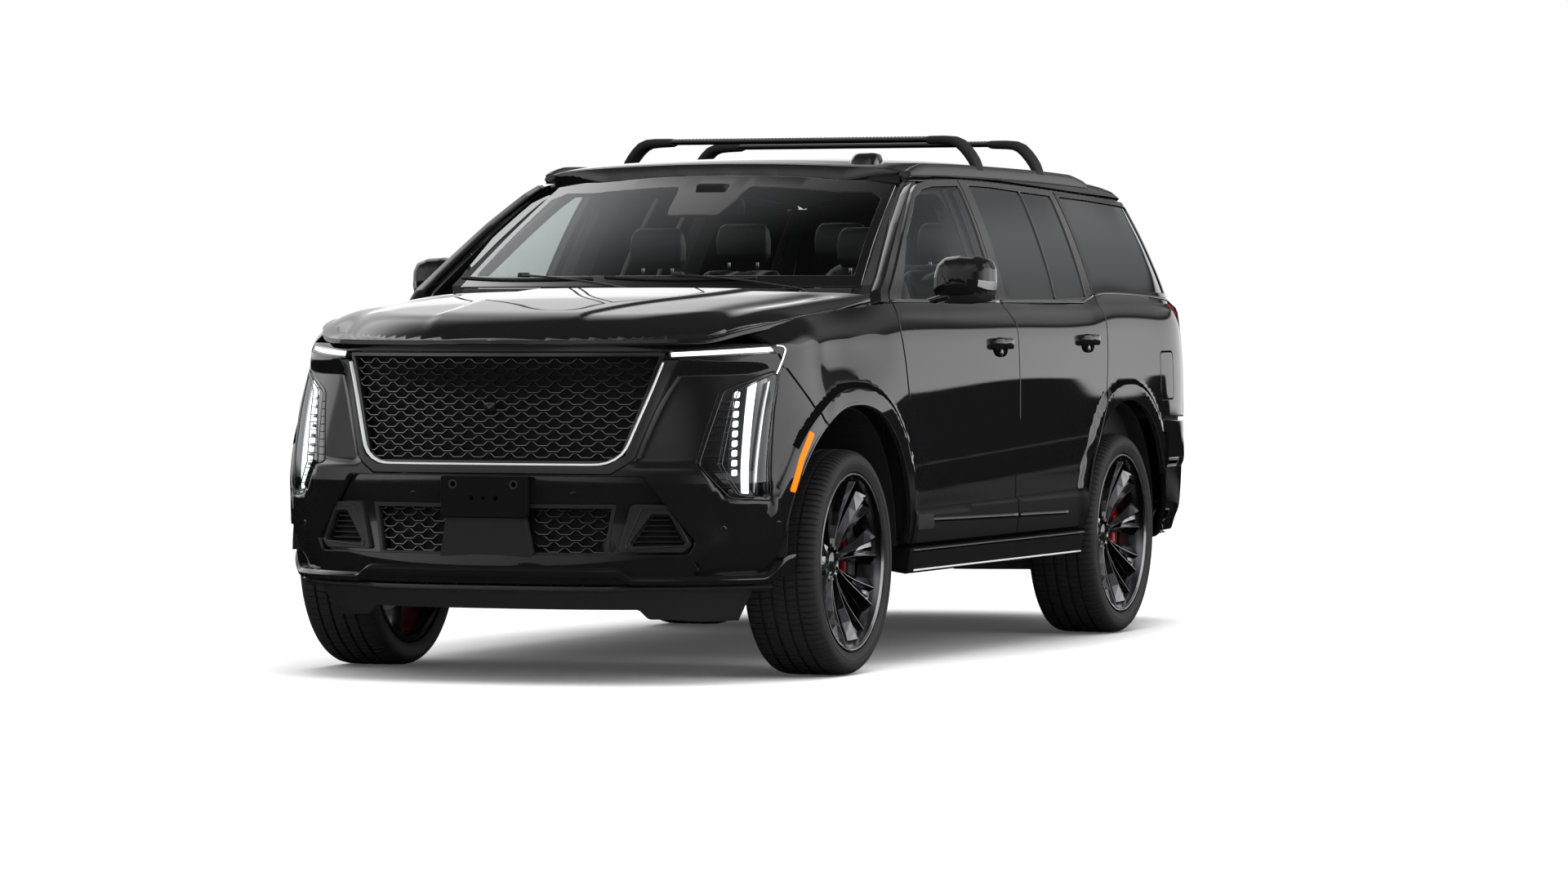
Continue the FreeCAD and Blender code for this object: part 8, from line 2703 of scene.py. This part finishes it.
hl_out = [(690, y) for y in lin_(-380, 2150, 30)] + [(-690, y) for y in lin_(2150, -380, 30)]
panel("headliner", "body", M["fabric"], S_liner, [hl_out], (0, 0, -1), step=60, wall=-6, lip=3, round_=-2, slot="matte_black", bstep=40)
for nm, y in (("front", -60), ("rear", 800)):
    solid(f"roof_console_{nm}", "body", M["matte"], rounded([(-110, y - 90), (110, y - 90), (100, y + 90), (-100, y + 90)], 24), "z", 1830, 1852, bev=7, seg=3, slot="matte_black")
for side, nm in ((1, "left"), (-1, "right")):
    # trims on the wheelhouses and the side walls behind the rear doors
    def S_wall(y, z):
        lo = side_x(min(y, 2150), min(z, 1280)) - 128
        hi = cabin_x(min(y, 2150), max(z, 1345)) - 74
        k = smooth((z - 1300) / 70.0)
        return (lo * (1 - k) + hi * k, y, z)
    wl = [(1180, 600), (2100, 600), (2130, 1000), (2120, 1376), (2060, 1740), (1190, 1762)]
    panel(f"quarter_trim_{nm}", "body", M["matte"], S_wall, [wl, inset(QG, -14)], (-1, 0, 0), step=44, wall=-10, lip=3, round_=-2, side=side, slot="matte_black", bstep=30)
    solid(f"cup_shelf_{nm}", "body", M["matte"], rounded([(1250, 1010), (1700, 1010), (1690, 1050), (1260, 1050)], 14), "x", 760, 880, side=side, bev=8, seg=3, slot="matte_black")
    # belts on the posts
    for tag, y0_ in (("front", -30), ("rear", 1120)):
        path = [(cabin_x(y0_, 1700) - 86, y0_, 1680), (cabin_x(y0_, 1500) - 96, y0_, 1480), (side_x(y0_, 1250) - 150, y0_ + 4, 1300), (side_x(y0_, 1000) - 146, y0_ + 8, 1000), (side_x(y0_, 700) - 142, y0_ + 10, 720)]
        pl = []
        for a, b in zip(path, path[1:]):
            pl += [tuple(Vector(a).lerp(Vector(b), t)) for t in (0, 0.33, 0.66)]
        pl.append(path[-1])
        sweep(f"belt_{tag}_{nm}", "body", M["belt"], pl, [(-23, -0.8), (23, -0.8), (23, 0.8), (-23, 0.8)], side=side, up=(-1, 0, 0), slot="matte_black")
        solid(f"belt_anchor_{tag}_{nm}", "body", M["matte"], rounded([(y0_ - 20, 1660), (y0_ + 20, 1660), (y0_ + 16, 1720), (y0_ - 16, 1720)], 8), "x", cabin_x(y0_, 1700) - 92, cabin_x(y0_, 1700) - 78, side=side, bev=4, slot="matte_black")

# ---------------------------------------------------------------- carried-over nodes get their finish
NODES = frame["nodes"]


def finish_nodes(mat, *names):
    for n in names:
        o = NODES[n]
        o.data.materials.clear()
        o.data.materials.append(mat)


finish_nodes(M["framepaint"], "side_frames", "chassis_frame")
finish_nodes(M["framepaint"], "floor_pan", "firewall")
finish_nodes(M["iron"], "engine_block", "driveline", "front_suspension", "rear_suspension", "knuckle_left", "knuckle_right")
finish_nodes(M["exhaust"], "exhaust")
finish_nodes(M["liner"], "wheel_liners", "wheelhouses")
for n, o in NODES.items():
    if not o.hide_render and len(o.data.materials) and o.data.materials[0] not in M.values():
        print("PLAIN NODE", n)


# ---------------------------------------------------------------- floor, light and camera
def floor():
    n = 24
    v, f = [], []
    S_ = 40.0
    for j in range(n + 1):
        for i in range(n + 1):
            v.append((-S_ + 2 * S_ * i / n, -S_ + 2 * S_ * j / n, -0.0005))
    for j in range(n):
        for i in range(n):
            a = j * (n + 1) + i
            f.append((a, a + 1, a + n + 2, a + n + 1))
    me = bpy.data.meshes.new("floor")
    me.from_pydata(v, [], f)
    o = bpy.data.objects.new("floor", me)
    SC.collection.objects.link(o)
    m, nt, b = new_mat("pale_floor")
    b.inputs["Base Color"].default_value = (0.86, 0.86, 0.86, 1)
    b.inputs["Roughness"].default_value = 1.0
    b.inputs["Specular IOR Level"].default_value = 0.0
    # painted light: the floor glows faintly near the car and more towards its far edge, where it fades into the white
    # backdrop
    b.inputs["Emission Color"].default_value = (1, 1, 1, 1)
    tc_ = nt.nodes.new("ShaderNodeTexCoord")
    ln_ = nt.nodes.new("ShaderNodeVectorMath")
    ln_.operation = "LENGTH"
    nt.links.new(tc_.outputs["Object"], ln_.inputs[0])
    mr_ = nt.nodes.new("ShaderNodeMapRange")
    mr_.inputs["From Min"].default_value = 9.0
    mr_.inputs["From Max"].default_value = 18.0
    mr_.inputs["To Min"].default_value = 0.05
    mr_.inputs["To Max"].default_value = 0.35
    nt.links.new(ln_.outputs["Value"], mr_.inputs["Value"])
    nt.links.new(mr_.outputs["Result"], b.inputs["Emission Strength"])
    # painted contact shadow: the floor's colour darkens under the body, more towards the rear
    xyz = nt.nodes.new("ShaderNodeSeparateXYZ")
    nt.links.new(tc_.outputs["Object"], xyz.inputs[0])
    sc_ = nt.nodes.new("ShaderNodeVectorMath")
    sc_.operation = "MULTIPLY"
    sc_.inputs[1].default_value = (1 / 1.35, 1 / 2.9, 0.0)
    nt.links.new(tc_.outputs["Object"], sc_.inputs[0])
    l2 = nt.nodes.new("ShaderNodeVectorMath")
    l2.operation = "LENGTH"
    nt.links.new(sc_.outputs["Vector"], l2.inputs[0])
    contact_shadow_mask = nt.nodes.new("ShaderNodeMapRange")
    contact_shadow_mask.interpolation_type = "SMOOTHSTEP"
    for k_, v_ in (("From Min", 0.72), ("From Max", 1.06), ("To Min", 1.0), ("To Max", 0.0)):
        contact_shadow_mask.inputs[k_].default_value = v_
    nt.links.new(l2.outputs["Value"], contact_shadow_mask.inputs["Value"])
    fy = nt.nodes.new("ShaderNodeMapRange")
    for k_, v_ in (("From Min", -1.7), ("From Max", 2.2), ("To Min", 0.0), ("To Max", 0.72)):
        fy.inputs[k_].default_value = v_
    nt.links.new(xyz.outputs["Y"], fy.inputs["Value"])
    contact_shadow_amount = nt.nodes.new("ShaderNodeMath")
    contact_shadow_amount.operation = "MULTIPLY"
    nt.links.new(contact_shadow_mask.outputs["Result"], contact_shadow_amount.inputs[0])
    nt.links.new(fy.outputs["Result"], contact_shadow_amount.inputs[1])
    # painted shadow: the floor's colour falls from pale towards black with the contact shadow amount
    al = nt.nodes.new("ShaderNodeMapRange")
    for k_, v_ in (("From Min", 0.0), ("From Max", 1.0), ("To Min", 0.86), ("To Max", 0.0)):
        al.inputs[k_].default_value = v_
    nt.links.new(contact_shadow_amount.outputs["Value"], al.inputs["Value"])
    nt.links.new(al.outputs["Result"], b.inputs["Base Color"])
    me.materials.append(m)
    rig.stage(o)
    o.visible_glossy = False
    return o


FLOOR = floor()

w = bpy.data.worlds.new("studio") if not bpy.data.worlds else bpy.data.worlds[0]
SC.world = w
w.use_nodes = True
nt = w.node_tree
nt.nodes.clear()
N_ = nt.nodes.new
tc = N_("ShaderNodeTexCoord")
sep = N_("ShaderNodeSeparateXYZ")
nt.links.new(tc.outputs["Generated"], sep.inputs[0])


def vmath(op, a=None, b=None, x=None, y=None, clamp=False):
    m = N_("ShaderNodeMath")
    m.operation = op
    m.use_clamp = clamp
    for k, s in ((0, a), (1, b)):
        if s is None:
            continue
        if isinstance(s, (int, float)):
            m.inputs[k].default_value = s
        else:
            nt.links.new(s, m.inputs[k])
    return m.outputs[0]


X_, Y_, Z_ = sep.outputs[0], sep.outputs[1], sep.outputs[2]
# horizontal direction of the reflected ray
hl_ = vmath("SQRT", vmath("ADD", vmath("MULTIPLY", X_, X_), vmath("MULTIPLY", Y_, Y_)))
el = vmath("ARCTAN2", Z_, hl_)           # elevation in radians


def along(dx, dy):
    """cosine of the angle in plan between the ray and a direction."""
    s = vmath("ADD", vmath("MULTIPLY", X_, dx), vmath("MULTIPLY", Y_, dy))
    return vmath("DIVIDE", s, vmath("MAXIMUM", hl_, 1e-4))


def sramp(v, a, b):
    m = N_("ShaderNodeMapRange")
    m.interpolation_type = "SMOOTHSTEP"
    m.inputs["From Min"].default_value = a
    m.inputs["From Max"].default_value = b
    nt.links.new(v, m.inputs["Value"])
    return m.outputs["Result"]


def inv(v):
    return vmath("SUBTRACT", 1.0, v)


def mulv(*a):
    r = a[0]
    for b in a[1:]:
        r = vmath("MULTIPLY", r, b)
    return r


def addv(*a):
    r = a[0]
    for b in a[1:]:
        r = vmath("ADD", r, b)
    return r


s_h = along(-0.9466, 0.3223)
edge_h = vmath("MAXIMUM", vmath("SUBTRACT", 0.0060, addv(mulv(s_h, s_h, 4.2), mulv(sramp(s_h, 0.0225, 0.0300), 0.014))), -0.0185)
up_ = sramp(vmath("SUBTRACT", el, edge_h), -0.0010, 0.0016)      # sharp horizon, bowed beside the doors
el2 = vmath("SUBTRACT", el, addv(mulv(sramp(along(0.866, 0.5), 0.84, 0.90), 0.22), mulv(sramp(along(0.98, 0.17), 0.86, 0.97), 0.30)))
# left side band: bright from the horizon up, a dimmer step above it, dark overhead
side_c = sramp(along(0.80, 0.60), -0.10, 0.62)
low = mulv(inv(sramp(el2, 0.130, 0.150)), 1.08)
mid = mulv(sramp(el, 0.13, 0.30), inv(sramp(el, 0.36, 0.60)), sramp(along(0.80, 0.60), 0.25, 0.55), 0.24)
belt_c = mulv(sramp(along(-0.9397, 0.3420), 0.02, 0.08), inv(sramp(along(-1.0, 0.0), 0.0, 0.15)), sramp(el, 0.15, 0.19), inv(sramp(el, 0.24, 0.30)), 0.22)
grad = vmath("SUBTRACT", 1.12, mulv(sramp(el, -0.01, 0.16), 0.26))
sill_ = mulv(sramp(el, -0.075, -0.055), inv(sramp(el, -0.052, -0.040)), 0.10)
band = mulv(side_c, addv(mulv(grad, low), mid, belt_c))
# a softer light to the front right, seen by the nose
front_c = sramp(along(-0.55, -0.83), 0.55, 0.98)
band2 = mulv(front_c, inv(sramp(el, 0.25, 1.2)), 0.50)
front_d = sramp(along(0.25, -0.97), 0.80, 1.0)
band4 = mulv(front_d, sramp(el, 0.10, 0.45), inv(sramp(el, 0.7, 1.35)), 0.55)
# a pale wall behind the roof and hood, paler to its right
back_c = sramp(along(-0.80, 0.60), 0.825, 0.868)
band3 = mulv(back_c, sramp(el, -0.01, 0.05), inv(sramp(el, 0.60, 0.99)), addv(mulv(sramp(along(-0.80, 0.60), 0.93, 0.99), sramp(el, 0.3, 0.5), 1.0), 0.90))
# a pale wall far to the right, seen by the right corner of the nose
band5 = mulv(sramp(along(-0.95, -0.31), 0.55, 0.92), inv(sramp(el, 0.30, 0.80)), 0.50)
# narrow card beside the front corner
band6 = mulv(sramp(along(0.94, 0.34), 0.72, 0.92), inv(sramp(el, 0.45, 0.65)), 1.2)
tot = addv(band, band2, band3, band4, band5, band6, 0.035)
gloss_v = addv(vmath("MULTIPLY", tot, up_), mulv(side_c, sill_), 0.004)
lp = N_("ShaderNodeLightPath")
# diffuse rays see an even pale room
dif = vmath("ADD", vmath("MULTIPLY", sramp(el, -0.1, 0.9), 1.15), 0.10)
mix1 = N_("ShaderNodeMix")
mix1.data_type = "FLOAT"
nt.links.new(lp.outputs["Is Glossy Ray"], mix1.inputs["Factor"])
nt.links.new(dif, mix1.inputs["A"])
nt.links.new(gloss_v, mix1.inputs["B"])
mix2 = N_("ShaderNodeMix")
mix2.data_type = "FLOAT"
nt.links.new(lp.outputs["Is Camera Ray"], mix2.inputs["Factor"])
nt.links.new(mix1.outputs["Result"], mix2.inputs["A"])
mix2.inputs["B"].default_value = 1.0
bg = N_("ShaderNodeBackground")
nt.links.new(mix2.outputs["Result"], bg.inputs["Color"])
bg.inputs["Strength"].default_value = 1.0
wo = N_("ShaderNodeOutputWorld")
nt.links.new(bg.outputs[0], wo.inputs[0])


def area(name, loc, size, power, target=(0, 0, 0.6), sy=None, glossy=False):
    l = bpy.data.lights.new(name, "AREA")
    l.shape = "RECTANGLE"
    l.size, l.size_y = size, sy or size
    l.energy = power
    o = bpy.data.objects.new(name, l)
    o.location = loc
    d = Vector(target) - Vector(loc)
    o.rotation_euler = d.to_track_quat("-Z", "Y").to_euler()
    SC.collection.objects.link(o)
    o.visible_camera = False
    o.visible_glossy = glossy
    return o


area("soft_overhead", (1.0, -1.0, 9.0), 9.0, 1000, sy=12.0)
area("soft_left", (8.5, -3.0, 4.0), 5.0, 260, target=(0.8, 0, 0.5), sy=4.0)

cam = bpy.data.cameras.new("camera")
cam.lens, cam.sensor_width = 136.3, 36.0
cam.clip_start, cam.clip_end = 0.5, 200.0
co = bpy.data.objects.new("camera", cam)
SC.collection.objects.link(co)
co.location = (8.5533, -21.5404, 1.29794)
yaw, pit = math.radians(21.5015), math.radians(1.2379)
co.rotation_euler = (math.pi / 2 - pit, 0, yaw)
SC.camera = co
try:
    SC.view_settings.view_transform = "Standard"
except TypeError:
    pass

# the cabin and its glass aren't mirrored in the hood, as in a studio picture lit by cards
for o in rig.pieces():
    zs = [v.co.z for v in o.data.vertices] if o.type == "MESH" else [0.0]
    if min(zs) > 1.22 or o.name.startswith(("seat_", "head_rest", "dash", "bench", "belt_", "steering", "console", "column", "cowl", "wiper", "quarter_trim", "windscreen", "firewall", "screen_post", "headliner", "side_frames")):
        o.visible_glossy = False

lo_, hi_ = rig.bounds()
with open("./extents.json", "w") as fh:
    json.dump({"cad": [list(CAD_LO), list(CAD_HI)], "visual": [list(lo_), list(hi_)]}, fh)
